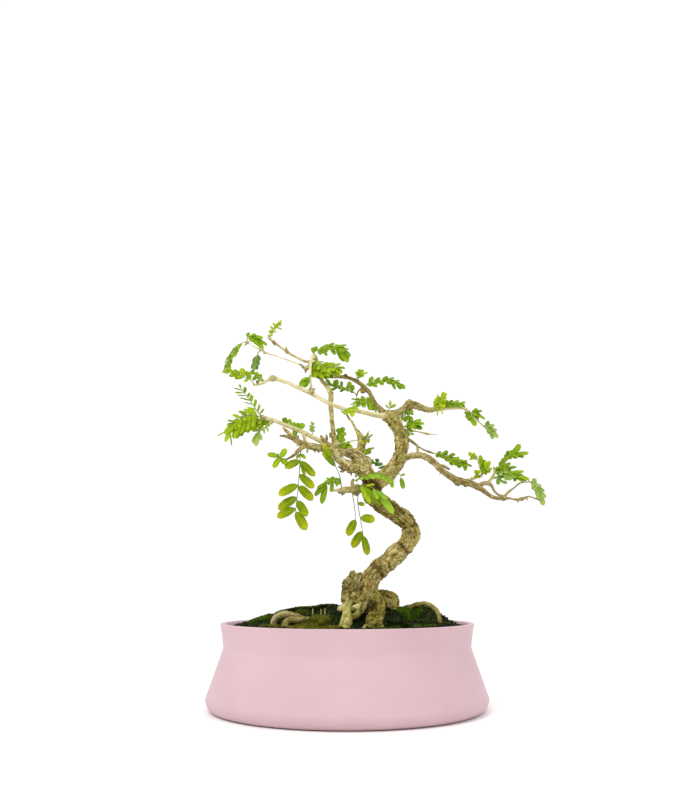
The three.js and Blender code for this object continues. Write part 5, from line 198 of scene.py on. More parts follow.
LARGE = [
    ["leaf_01", [[-70.6, 21.9, 317.3], [-71.2, 21.6, 321.0], [-69.8, 21.0, 325.7], [-68.0, 20.5, 328.4], [-65.7, 20.0, 331.1], [-62.4, 19.0, 333.1]], [[[-71.2, 21.6, 320.5], [-73.8, 21.0, 321.8], 1.65, [-0.25, -0.9, 0.4]], [[-70.7, 21.3, 323.4], [-72.9, 20.6, 326.3], 1.86, [-0.18, -0.9, 0.4]], [[-68.8, 20.7, 327.3], [-71.3, 20.0, 329.8], 2.07, [-0.2, -0.9, 0.4]], [[-66.6, 20.2, 330.2], [-69.1, 19.4, 333.1], 1.86, [-0.18, -0.9, 0.4]], [[-67.2, 20.3, 329.5], [-60.2, 19.0, 326.4], 1.65, [0.26, -0.9, 0.4]], [[-65.2, 19.9, 331.5], [-60.7, 19.0, 330.2], 1.55, [0.27, -0.9, 0.4]], [[-63.0, 19.2, 332.8], [-60.7, 18.6, 335.3], 1.76, [0.18, -0.9, 0.4]], [[-69.6, 20.9, 326.1], [-65.6, 20.0, 323.8], 1.55, [0.25, -0.9, 0.4]], [[-71.2, 21.7, 320.3], [-73.5, 21.9, 321.7], 1.87, [-0.15, -0.98, -0.1]], [[-71.2, 21.6, 321.3], [-68.9, 21.2, 322.2], 1.76, [-0.11, -0.99, -0.09]], [[-70.9, 21.4, 322.7], [-71.7, 22.4, 325.5], 1.74, [-0.64, -0.76, 0.07]], [[-70.6, 21.3, 323.6], [-68.1, 20.9, 324.6], 1.62, [-0.12, -0.99, -0.09]], [[-70.1, 21.1, 324.9], [-71.2, 22.6, 327.4], 1.65, [-0.65, -0.74, 0.16]], [[-69.7, 21.0, 325.8], [-67.1, 21.7, 326.1], 1.58, [0.27, -0.92, -0.28]], [[-69.0, 20.8, 327.0], [-69.8, 21.8, 329.5], 1.73, [-0.51, -0.84, 0.19]], [[-68.5, 20.6, 327.8], [-65.8, 19.9, 327.8], 1.91, [-0.25, -0.97, 0.0]], [[-67.6, 20.4, 328.9], [-67.2, 21.3, 330.9], 1.73, [-0.69, -0.59, 0.42]], [[-67.0, 20.3, 329.7], [-64.0, 20.8, 330.0], 1.82, [0.17, -0.94, -0.28]], [[-66.1, 20.1, 330.8], [-65.6, 21.7, 333.4], 1.82, [-0.62, -0.62, 0.48]], [[-65.3, 19.9, 331.4], [-63.0, 20.1, 331.2], 1.84, [0.05, -0.91, -0.42]], [[-64.2, 19.5, 332.1], [-63.6, 20.7, 334.9], 1.9, [-0.48, -0.77, 0.43]], [[-63.3, 19.3, 332.6], [-61.1, 19.1, 332.0], 1.88, [-0.16, -0.95, -0.26]]], "y"],
    ["leaf_02", [[-86.8, -23.0, 302.4], [-86.2, -22.0, 307.0], [-82.8, -21.0, 307.2], [-79.1, -20.0, 305.5]], [[[-84.8, -21.5, 307.4], [-79.7, -21.4, 309.9], 2.33, [0.25, -0.75, 0.65]], [[-82.8, -21.0, 307.2], [-73.2, -18.6, 306.8], 4.08, [0.28, -0.75, 0.65]], [[-81.1, -20.5, 306.6], [-69.7, -18.4, 300.0], 4.47, [0.24, -0.75, 0.65]], [[-81.6, -20.7, 306.8], [-72.7, -20.6, 295.9], 4.08, [0.18, -0.97, 0.2]], [[-83.9, -21.3, 307.4], [-77.0, -22.0, 299.1], 3.69, [0.18, -0.97, 0.2]], [[-85.8, -21.8, 307.3], [-82.2, -22.6, 302.0], 2.52, [0.17, -0.97, 0.2]], [[-86.4, -22.1, 306.7], [-86.5, -19.6, 311.8], 3.24, [-0.23, -0.87, 0.43]], [[-85.8, -21.8, 307.2], [-80.5, -20.2, 306.1], 3.04, [0.31, -0.95, 0.06]], [[-84.6, -21.5, 307.4], [-80.9, -18.4, 308.2], 3.14, [0.11, -0.36, 0.92]], [[-83.8, -21.3, 307.4], [-78.0, -20.4, 304.5], 3.12, [0.28, -0.91, 0.3]], [[-82.5, -20.9, 307.1], [-78.4, -18.4, 308.9], 3.29, [0.34, -0.85, 0.4]], [[-81.7, -20.7, 306.9], [-78.6, -20.2, 301.7], 3.17, [0.29, -0.95, 0.08]], [[-80.6, -20.4, 306.3], [-75.1, -17.5, 304.3], 3.28, [0.51, -0.48, 0.71]], [[-79.9, -20.2, 305.9], [-76.7, -19.4, 300.8], 3.05, [0.26, -0.97, 0.01]]], "g"],
    ["leaf_04", [[-75.3, -19.4, 295.7], [-77.6, -21.0, 291.8], [-78.7, -22.0, 286.9], [-79.3, -22.6, 283.7]], [[[-77.8, -21.2, 291.2], [-75.3, -20.6, 286.0], 2.32, [0.13, -0.97, 0.2]], [[-78.2, -21.5, 289.8], [-76.3, -21.0, 281.5], 2.7, [0.06, -0.97, 0.2]], [[-78.8, -22.1, 286.5], [-77.6, -22.0, 277.1], 2.9, [0.03, -0.97, 0.2]], [[-79.1, -22.4, 284.6], [-80.4, -23.4, 275.7], 2.9, [-0.05, -0.97, 0.2]], [[-78.7, -22.0, 286.9], [-82.5, -22.8, 278.0], 2.7, [-0.12, -0.97, 0.2]], [[-78.1, -21.4, 290.2], [-81.6, -21.8, 284.3], 2.51, [-0.15, -0.97, 0.2]]], "d"],
    ["leaf_05", [[-77.9, -36.9, 260.2], [-79.7, -38.0, 263.4], [-82.1, -39.0, 264.9], [-86.1, -40.5, 266.2], [-92.6, -42.5, 268.3], [-97.7, -44.0, 269.3]], [[[-97.5, -43.9, 269.3], [-103.5, -45.6, 269.7], 3.92, [-0.28, -0.9, 0.4]], [[-91.0, -42.0, 267.8], [-98.4, -43.5, 266.3], 3.17, [-0.28, -0.97, 0.2]], [[-89.0, -41.4, 267.2], [-95.5, -42.5, 271.5], 4.48, [-0.23, -0.75, 0.65]], [[-86.6, -40.7, 266.4], [-93.7, -42.0, 264.6], 2.8, [-0.28, -0.97, 0.2]], [[-85.7, -40.4, 266.1], [-88.7, -41.6, 273.7], 4.29, [-0.1, -0.9, 0.4]], [[-82.1, -39.0, 264.9], [-84.5, -40.0, 271.7], 2.99, [-0.09, -0.9, 0.4]], [[-80.8, -38.5, 264.3], [-82.5, -37.8, 271.7], 2.61, [-0.05, -0.9, 0.4]], [[-82.4, -39.1, 265.0], [-85.8, -40.0, 262.0], 2.8, [-0.22, -0.97, 0.2]], [[-95.0, -43.2, 268.8], [-99.7, -43.8, 273.4], 2.8, [-0.2, -0.75, 0.65]], [[-86.4, -40.6, 266.3], [-90.4, -42.2, 264.9], 2.66, [0.34, -0.94, 0.08]], [[-87.5, -40.9, 266.7], [-90.1, -39.3, 268.4], 2.88, [0.39, -0.29, 0.87]], [[-89.1, -41.4, 267.2], [-91.5, -43.0, 265.2], 2.55, [0.36, -0.9, 0.26]], [[-90.2, -41.8, 267.6], [-91.8, -40.3, 270.2], 2.67, [0.4, -0.65, 0.64]], [[-91.8, -42.3, 268.1], [-94.3, -43.3, 265.9], 2.77, [0.31, -0.95, 0.1]], [[-92.9, -42.6, 268.4], [-95.2, -41.1, 270.6], 2.46, [0.35, -0.55, 0.76]], [[-94.6, -43.1, 268.7], [-96.9, -44.6, 266.2], 2.41, [0.32, -0.92, 0.25]], [[-95.7, -43.4, 268.9], [-97.4, -41.9, 271.8], 2.72, [0.32, -0.73, 0.6]]], "y"],
    ["leaf_06", [[-69.3, -33.1, 264.4], [-73.6, -33.0, 267.3], [-76.6, -32.5, 269.5], [-78.9, -32.2, 270.9]], [[[-78.0, -32.3, 270.4], [-81.9, -32.0, 274.0], 3.02, [-0.21, -0.9, 0.4]], [[-76.6, -32.5, 269.5], [-79.4, -33.4, 265.1], 3.21, [-0.17, -0.97, 0.2]], [[-75.0, -32.8, 268.4], [-77.2, -32.2, 272.9], 2.46, [-0.12, -0.9, 0.4]], [[-72.8, -33.1, 266.7], [-73.1, -32.6, 271.0], 2.27, [-0.01, -0.9, 0.4]], [[-73.6, -33.0, 267.3], [-75.1, -34.0, 263.0], 2.27, [-0.11, -0.97, 0.2]], [[-70.8, -33.1, 265.4], [-72.8, -33.2, 264.6], 1.73, [0.04, -1.0, 0.06]], [[-71.6, -33.1, 266.0], [-72.3, -31.6, 267.4], 1.93, [0.49, -0.46, 0.74]], [[-72.8, -33.1, 266.7], [-75.1, -33.7, 265.7], 1.76, [0.15, -0.95, 0.28]], [[-73.6, -33.0, 267.3], [-72.7, -32.3, 269.8], 1.76, [0.08, -0.97, 0.24]], [[-74.7, -32.9, 268.1], [-76.5, -32.2, 267.1], 1.84, [-0.26, -0.96, -0.13]], [[-75.4, -32.7, 268.6], [-74.5, -31.4, 270.7], 1.94, [0.2, -0.85, 0.48]], [[-76.5, -32.5, 269.5], [-78.9, -31.4, 268.2], 1.89, [-0.3, -0.93, -0.23]], [[-77.3, -32.4, 270.0], [-77.4, -30.7, 272.0], 1.78, [0.28, -0.73, 0.62]]], "g"],
    ["leaf_07", [[-32.1, -13.7, 274.1], [-33.2, -17.4, 272.1], [-35.1, -19.6, 269.4]], [[[-33.0, -17.0, 272.4], [-40.4, -21.4, 262.8], 6.18, [-0.19, -0.97, 0.2]], [[-33.7, -18.1, 271.4], [-36.8, -21.0, 261.8], 4.64, [-0.1, -0.97, 0.2]], [[-33.3, -17.6, 271.9], [-40.1, -19.6, 268.2], 3.67, [-0.25, -0.75, 0.65]]], "g"],
    ["leaf_08", [[-70.8, -44.0, 232.8], [-74.1, -44.6, 236.4], [-77.9, -45.4, 242.1], [-81.6, -46.4, 247.3], [-86.6, -47.4, 253.4], [-87.7, -48.0, 255.3]], [[[-86.3, -47.3, 253.0], [-93.4, -49.4, 254.5], 1.56, [-0.27, -0.75, 0.65]], [[-84.7, -47.0, 251.1], [-92.3, -49.0, 251.0], 2.02, [-0.28, -0.75, 0.65]], [[-82.6, -46.6, 248.6], [-90.4, -48.6, 248.6], 1.29, [-0.28, -0.75, 0.65]], [[-79.9, -45.9, 244.9], [-88.2, -48.2, 246.8], 1.84, [-0.27, -0.75, 0.65]], [[-77.6, -45.3, 241.6], [-84.7, -47.0, 243.1], 1.29, [-0.27, -0.75, 0.65]], [[-75.1, -44.8, 237.7], [-81.0, -46.4, 239.0], 1.47, [-0.27, -0.75, 0.65]], [[-87.4, -47.8, 254.8], [-88.8, -48.0, 258.2], 1.66, [-0.1, -0.9, 0.4]], [[-84.3, -46.9, 250.5], [-84.2, -46.0, 256.5], 2.48, [0.02, -0.9, 0.4]], [[-81.8, -46.4, 247.6], [-80.5, -45.6, 251.7], 2.02, [0.1, -0.9, 0.4]], [[-79.0, -45.7, 243.6], [-78.7, -44.6, 250.2], 2.76, [0.02, -0.9, 0.4]], [[-76.0, -45.0, 239.2], [-75.4, -44.0, 246.6], 2.21, [0.03, -0.9, 0.4]], [[-73.4, -44.5, 235.6], [-72.1, -43.4, 242.5], 1.84, [0.07, -0.9, 0.4]], [[-71.8, -44.2, 233.8], [-68.6, -43.0, 238.6], 1.66, [0.17, -0.9, 0.4]]], "g"],
    ["leaf_09", [[-70.2, -44.9, 230.9], [-74.3, -49.0, 231.8], [-80.2, -54.0, 230.8], [-85.9, -59.0, 226.5], [-90.9, -62.0, 221.3], [-93.3, -64.0, 217.4]], [[[-73.2, -48.0, 231.7], [-81.3, -51.0, 238.2], 3.79, [-0.21, -0.75, 0.65]], [[-77.2, -51.5, 231.6], [-83.9, -55.0, 235.7], 3.61, [-0.23, -0.75, 0.65]], [[-80.0, -53.8, 230.9], [-87.3, -58.0, 233.2], 4.51, [-0.26, -0.75, 0.65]], [[-84.8, -58.1, 227.5], [-91.7, -61.4, 229.6], 3.79, [-0.26, -0.75, 0.65]], [[-88.3, -60.5, 224.2], [-95.2, -63.6, 224.6], 2.88, [-0.28, -0.75, 0.65]], [[-87.5, -60.0, 225.1], [-97.1, -65.6, 213.4], 4.51, [-0.2, -0.97, 0.2]], [[-91.1, -62.2, 221.0], [-96.0, -66.4, 206.7], 3.43, [-0.11, -0.97, 0.2]], [[-85.4, -58.7, 226.9], [-90.3, -62.4, 210.1], 4.33, [-0.1, -0.97, 0.2]], [[-82.9, -56.4, 229.1], [-85.1, -59.4, 214.5], 4.33, [-0.06, -0.97, 0.2]], [[-80.2, -54.0, 230.8], [-80.3, -57.0, 217.7], 4.33, [-0.02, -0.97, 0.2]], [[-76.9, -51.3, 231.7], [-76.2, -54.0, 220.9], 4.15, [0, -0.97, 0.2]], [[-93.2, -63.9, 217.6], [-102.9, -67.0, 211.2], 1.26, [-0.25, -0.9, 0.4]], [[-93.1, -63.8, 217.7], [-90.7, -66.0, 203.6], 1.17, [0.03, -0.9, 0.4]], [[-72.3, -47.0, 231.5], [-75.3, -50.2, 228.9], 3.18, [0.72, -0.7, 0.03]], [[-73.2, -47.9, 231.7], [-77.1, -47.7, 233.6], 2.9, [0.41, -0.26, 0.87]], [[-74.5, -49.2, 231.8], [-75.4, -52.8, 227.5], 2.97, [0.61, -0.67, 0.43]], [[-75.5, -50.0, 231.8], [-79.5, -50.3, 234.7], 3.07, [0.49, -0.6, 0.63]], [[-76.9, -51.3, 231.7], [-80.1, -53.5, 228.1], 3.17, [0.64, -0.76, -0.1]], [[-77.9, -52.1, 231.5], [-82.8, -52.5, 234.7], 2.92, [0.44, -0.68, 0.59]], [[-79.3, -53.2, 231.1], [-78.9, -55.6, 226.3], 2.94, [0.5, -0.76, 0.41]], [[-80.2, -54.0, 230.8], [-85.6, -54.0, 231.3], 3.15, [0.07, -0.52, 0.85]], [[-81.5, -55.2, 230.1], [-80.7, -56.4, 226.2], 3.02, [0.5, -0.79, 0.35]], [[-82.4, -55.9, 229.5], [-87.5, -56.2, 228.4], 3.19, [-0.16, -0.5, 0.85]], [[-83.6, -57.0, 228.6], [-81.8, -59.2, 225.1], 3.06, [0.2, -0.78, 0.6]], [[-84.3, -57.7, 227.9], [-89.3, -57.1, 228.0], 2.82, [-0.08, -0.66, 0.74]], [[-85.5, -58.7, 226.8], [-85.4, -61.2, 222.8], 3.08, [0.18, -0.83, 0.52]], [[-86.4, -59.3, 226.1], [-91.1, -59.6, 225.0], 3.29, [-0.11, -0.73, 0.67]], [[-87.6, -60.1, 224.9], [-85.9, -61.0, 219.6], 3.31, [0.29, -0.92, 0.25]], [[-88.4, -60.6, 224.1], [-93.0, -58.2, 223.1], 3.0, [-0.44, -0.53, 0.72]], [[-89.6, -61.2, 222.8], [-88.1, -62.7, 217.6], 2.81, [0.18, -0.93, 0.31]], [[-90.4, -61.7, 221.9], [-95.7, -62.4, 221.3], 3.33, [0.08, -0.91, 0.4]], [[-91.5, -62.4, 220.5], [-91.4, -62.6, 215.2], 3.2, [0.58, -0.81, 0.03]], [[-92.1, -62.9, 219.5], [-96.2, -62.3, 218.1], 3.2, [-0.31, -0.76, 0.57]]], "y"],
    ["leaf_10", [[-70.0, -43.6, 230.4], [-74.6, -45.4, 228.4], [-79.2, -47.6, 225.8], [-83.7, -49.8, 221.7], [-86.2, -51.4, 218.5]], [[[-72.7, -44.6, 229.3], [-72.1, -45.8, 221.8], 3.46, [0.01, -0.97, 0.2]], [[-74.2, -45.2, 228.6], [-80.8, -46.4, 231.3], 4.01, [-0.26, -0.75, 0.65]], [[-76.7, -46.4, 227.3], [-76.5, -48.4, 219.0], 3.83, [-0.01, -0.97, 0.2]], [[-79.2, -47.6, 225.8], [-85.6, -49.0, 228.3], 4.19, [-0.26, -0.75, 0.65]], [[-81.6, -48.7, 223.8], [-81.2, -50.6, 217.4], 3.65, [-0.01, -0.97, 0.2]], [[-83.7, -49.8, 221.7], [-89.6, -51.8, 222.0], 3.65, [-0.28, -0.75, 0.65]], [[-85.3, -50.8, 219.7], [-85.2, -52.6, 213.8], 3.28, [-0.02, -0.97, 0.2]], [[-86.0, -51.3, 218.8], [-89.7, -53.6, 212.0], 3.83, [-0.16, -0.97, 0.2]], [[-72.0, -44.4, 229.6], [-72.0, -46.7, 224.9], 3.32, [0.16, -0.89, 0.43]], [[-73.1, -44.8, 229.1], [-78.7, -44.1, 229.3], 2.99, [-0.06, -0.67, 0.74]], [[-74.8, -45.5, 228.3], [-75.4, -46.4, 223.0], 3.03, [0.35, -0.93, 0.12]], [[-75.9, -46.0, 227.8], [-80.4, -44.4, 228.1], 3.38, [-0.14, -0.57, 0.81]], [[-77.4, -46.7, 226.9], [-78.7, -47.2, 222.7], 3.09, [0.47, -0.88, -0.05]], [[-78.5, -47.2, 226.3], [-83.5, -46.4, 226.6], 3.24, [-0.08, -0.73, 0.67]], [[-79.9, -47.9, 225.2], [-79.6, -49.5, 220.0], 3.37, [0.22, -0.93, 0.28]], [[-80.9, -48.4, 224.5], [-85.0, -47.1, 223.8], 3.22, [-0.31, -0.65, 0.7]], [[-82.2, -49.0, 223.2], [-82.0, -49.8, 218.8], 3.3, [0.28, -0.94, 0.18]], [[-83.1, -49.5, 222.3], [-87.4, -47.3, 221.7], 2.96, [-0.41, -0.59, 0.7]], [[-84.3, -50.2, 221.0], [-84.4, -50.8, 216.7], 3.19, [0.4, -0.91, 0.13]], [[-85.1, -50.6, 220.0], [-90.8, -49.6, 219.1], 3.22, [-0.23, -0.79, 0.56]]], "y"],
    ["leaf_11", [[-61.3, -40.0, 228.3], [-66.5, -43.6, 223.2], [-71.0, -46.6, 219.3], [-73.2, -48.4, 215.7], [-73.8, -49.4, 213.1]], [[[-69.3, -45.4, 220.9], [-75.0, -47.6, 219.0], 3.83, [-0.27, -0.75, 0.65]], [[-71.0, -46.6, 219.3], [-76.4, -50.0, 208.7], 3.83, [-0.15, -0.97, 0.2]], [[-73.2, -48.4, 215.7], [-73.4, -51.4, 206.2], 3.83, [-0.03, -0.97, 0.2]], [[-68.1, -44.7, 221.9], [-67.3, -46.0, 217.3], 1.64, [0.03, -0.97, 0.2]], [[-66.1, -43.3, 223.6], [-64.4, -44.4, 219.1], 1.64, [0.09, -0.97, 0.2]], [[-72.1, -47.4, 217.8], [-69.6, -49.4, 211.1], 3.1, [0.09, -0.97, 0.2]], [[-62.6, -40.9, 227.0], [-61.6, -42.3, 225.6], 1.57, [-0.13, -0.75, 0.65]], [[-63.4, -41.4, 226.2], [-65.3, -40.6, 225.7], 1.66, [-0.43, -0.48, 0.76]], [[-64.5, -42.3, 225.1], [-63.9, -43.2, 223.4], 1.79, [0.1, -0.86, 0.5]], [[-65.3, -42.8, 224.3], [-67.4, -42.6, 224.2], 1.69, [-0.11, -0.75, 0.65]], [[-66.5, -43.6, 223.2], [-65.9, -43.6, 221.4], 1.5, [0.46, -0.87, 0.14]], [[-67.3, -44.2, 222.5], [-69.7, -43.8, 222.6], 1.51, [-0.07, -0.74, 0.67]], [[-68.6, -45.0, 221.4], [-68.7, -45.5, 219.4], 1.75, [0.41, -0.89, 0.21]], [[-69.5, -45.6, 220.8], [-71.3, -44.4, 220.9], 1.6, [-0.3, -0.54, 0.79]]], "l"],
    ["leaf_12", [[-63.2, -41.1, 228.9], [-67.1, -39.0, 228.0], [-72.2, -37.0, 226.5], [-79.1, -34.6, 224.9], [-83.7, -33.0, 224.1]], [[[-65.3, -39.9, 228.4], [-70.9, -39.0, 230.3], 3.33, [-0.27, -0.75, 0.65]], [[-68.3, -38.5, 227.7], [-75.1, -37.0, 229.7], 3.52, [-0.27, -0.75, 0.65]], [[-69.8, -37.9, 227.2], [-72.3, -38.6, 221.7], 3.15, [-0.13, -0.97, 0.2]], [[-73.3, -36.6, 226.2], [-80.2, -35.4, 228.5], 3.71, [-0.27, -0.75, 0.65]], [[-75.1, -36.0, 225.8], [-78.1, -36.6, 220.5], 3.15, [-0.15, -0.97, 0.2]], [[-78.6, -34.8, 225.0], [-85.1, -33.6, 227.2], 3.52, [-0.27, -0.75, 0.65]], [[-80.3, -34.2, 224.7], [-83.3, -34.6, 220.2], 2.96, [-0.17, -0.97, 0.2]], [[-83.3, -33.1, 224.2], [-88.6, -32.4, 222.5], 3.15, [-0.27, -0.75, 0.65]], [[-63.8, -40.8, 228.8], [-65.7, -40.6, 225.0], 2.15, [-0.51, -0.83, 0.23]], [[-64.6, -40.3, 228.6], [-65.0, -37.1, 229.0], 2.54, [-0.29, -0.15, 0.95]], [[-65.9, -39.6, 228.3], [-67.8, -39.2, 225.0], 2.37, [-0.5, -0.85, 0.19]], [[-66.7, -39.2, 228.1], [-69.2, -36.2, 228.8], 2.47, [-0.44, -0.54, 0.71]], [[-68.0, -38.6, 227.8], [-69.9, -38.5, 225.2], 2.09, [-0.44, -0.85, 0.28]], [[-68.8, -38.3, 227.5], [-70.5, -35.5, 228.5], 2.31, [-0.43, -0.53, 0.72]], [[-70.1, -37.8, 227.1], [-72.0, -36.8, 223.9], 2.32, [-0.32, -0.94, -0.1]], [[-71.0, -37.5, 226.8], [-73.5, -35.0, 227.7], 2.33, [-0.42, -0.66, 0.62]], [[-72.3, -37.0, 226.5], [-73.8, -37.8, 223.3], 2.37, [-0.41, -0.82, 0.41]], [[-73.1, -36.7, 226.3], [-74.8, -33.8, 227.6], 2.39, [-0.39, -0.57, 0.72]], [[-74.4, -36.2, 225.9], [-76.9, -36.0, 222.6], 2.1, [-0.37, -0.91, 0.22]], [[-75.3, -35.9, 225.7], [-77.1, -33.1, 226.4], 2.11, [-0.34, -0.44, 0.83]], [[-76.7, -35.4, 225.4], [-77.8, -34.7, 222.0], 2.4, [-0.3, -0.95, -0.12]], [[-77.5, -35.1, 225.2], [-79.2, -32.1, 227.0], 2.45, [-0.36, -0.61, 0.71]], [[-78.9, -34.7, 224.9], [-80.8, -35.6, 221.4], 2.22, [-0.37, -0.83, 0.42]], [[-79.8, -34.4, 224.8], [-82.5, -32.1, 226.9], 2.35, [-0.37, -0.83, 0.42]], [[-81.1, -33.9, 224.5], [-83.2, -33.2, 221.8], 2.49, [-0.33, -0.94, 0.02]], [[-82.0, -33.6, 224.4], [-84.1, -31.5, 225.4], 2.15, [-0.34, -0.67, 0.66]]], "g"],
    ["leaf_13", [[-38.8, -29.1, 222.8], [-41.8, -26.0, 225.9], [-45.9, -23.0, 228.0], [-50.4, -20.4, 230.1], [-53.1, -18.8, 231.7]], [[[-40.1, -27.7, 224.3], [-36.2, -28.0, 229.3], 4.53, [0.17, -0.9, 0.4]], [[-42.0, -25.9, 226.0], [-41.0, -26.0, 230.3], 3.4, [0.07, -0.9, 0.4]], [[-43.4, -24.7, 226.9], [-46.6, -24.0, 230.7], 3.59, [-0.17, -0.9, 0.4]], [[-47.4, -22.1, 228.7], [-49.3, -21.4, 234.7], 2.64, [-0.08, -0.9, 0.4]], [[-52.4, -19.2, 231.3], [-54.2, -18.6, 236.3], 3.97, [-0.09, -0.9, 0.4]], [[-43.4, -24.7, 226.9], [-44.0, -27.4, 218.5], 3.97, [-0.03, -0.97, 0.2]], [[-50.8, -20.2, 230.3], [-51.5, -20.0, 234.1], 2.27, [-0.04, -0.9, 0.4]], [[-40.5, -27.2, 224.7], [-42.8, -26.4, 224.5], 2.1, [-0.34, -0.81, 0.48]], [[-41.5, -26.3, 225.6], [-41.2, -24.5, 226.6], 1.9, [0.26, -0.48, 0.84]], [[-43.1, -24.9, 226.7], [-45.1, -24.4, 225.7], 2.12, [-0.42, -0.82, 0.38]], [[-44.3, -24.1, 227.3], [-43.9, -22.2, 229.4], 1.86, [-0.2, -0.72, 0.66]], [[-46.2, -22.8, 228.1], [-48.2, -22.0, 227.0], 2.08, [-0.46, -0.87, 0.19]], [[-47.4, -22.1, 228.7], [-47.0, -20.9, 230.3], 2.16, [-0.17, -0.77, 0.61]], [[-49.4, -21.0, 229.6], [-51.5, -20.9, 227.9], 1.89, [-0.31, -0.87, 0.37]], [[-50.7, -20.2, 230.2], [-50.8, -18.3, 231.2], 1.9, [0.22, -0.43, 0.87]]], "g"],
    ["leaf_14", [[-29.4, -26.0, 218.9], [-29.4, -25.6, 222.4], [-29.7, -25.2, 226.7], [-29.5, -25.0, 229.3]], [[[-29.5, -25.0, 228.8], [-27.5, -24.6, 230.3], 2.07, [0.24, -0.9, 0.4]], [[-29.6, -25.0, 228.7], [-30.3, -25.0, 231.6], 1.69, [-0.06, -0.9, 0.4]], [[-29.7, -25.2, 226.2], [-32.1, -25.6, 227.8], 1.88, [-0.23, -0.9, 0.4]], [[-29.6, -25.3, 225.5], [-27.1, -25.0, 226.9], 1.88, [0.25, -0.9, 0.4]], [[-29.5, -25.5, 223.8], [-32.2, -26.0, 224.5], 1.88, [-0.27, -0.9, 0.4]], [[-29.4, -25.5, 223.1], [-27.2, -25.0, 223.7], 1.88, [0.27, -0.9, 0.4]], [[-29.4, -25.6, 222.7], [-30.7, -24.6, 223.9], 1.47, [-0.57, -0.82, 0.05]], [[-29.5, -25.5, 223.7], [-28.6, -24.6, 225.1], 1.4, [0.56, -0.82, 0.13]], [[-29.6, -25.3, 225.2], [-31.2, -25.1, 226.2], 1.39, [-0.08, -0.99, 0.08]], [[-29.7, -25.2, 226.1], [-28.2, -25.1, 227.4], 1.41, [0.02, -1.0, 0.09]], [[-29.7, -25.1, 227.6], [-30.8, -24.8, 228.4], 1.38, [-0.2, -0.98, 0.09]], [[-29.6, -25.1, 228.6], [-28.6, -24.7, 229.6], 1.22, [0.3, -0.95, 0.04]]], "l"],
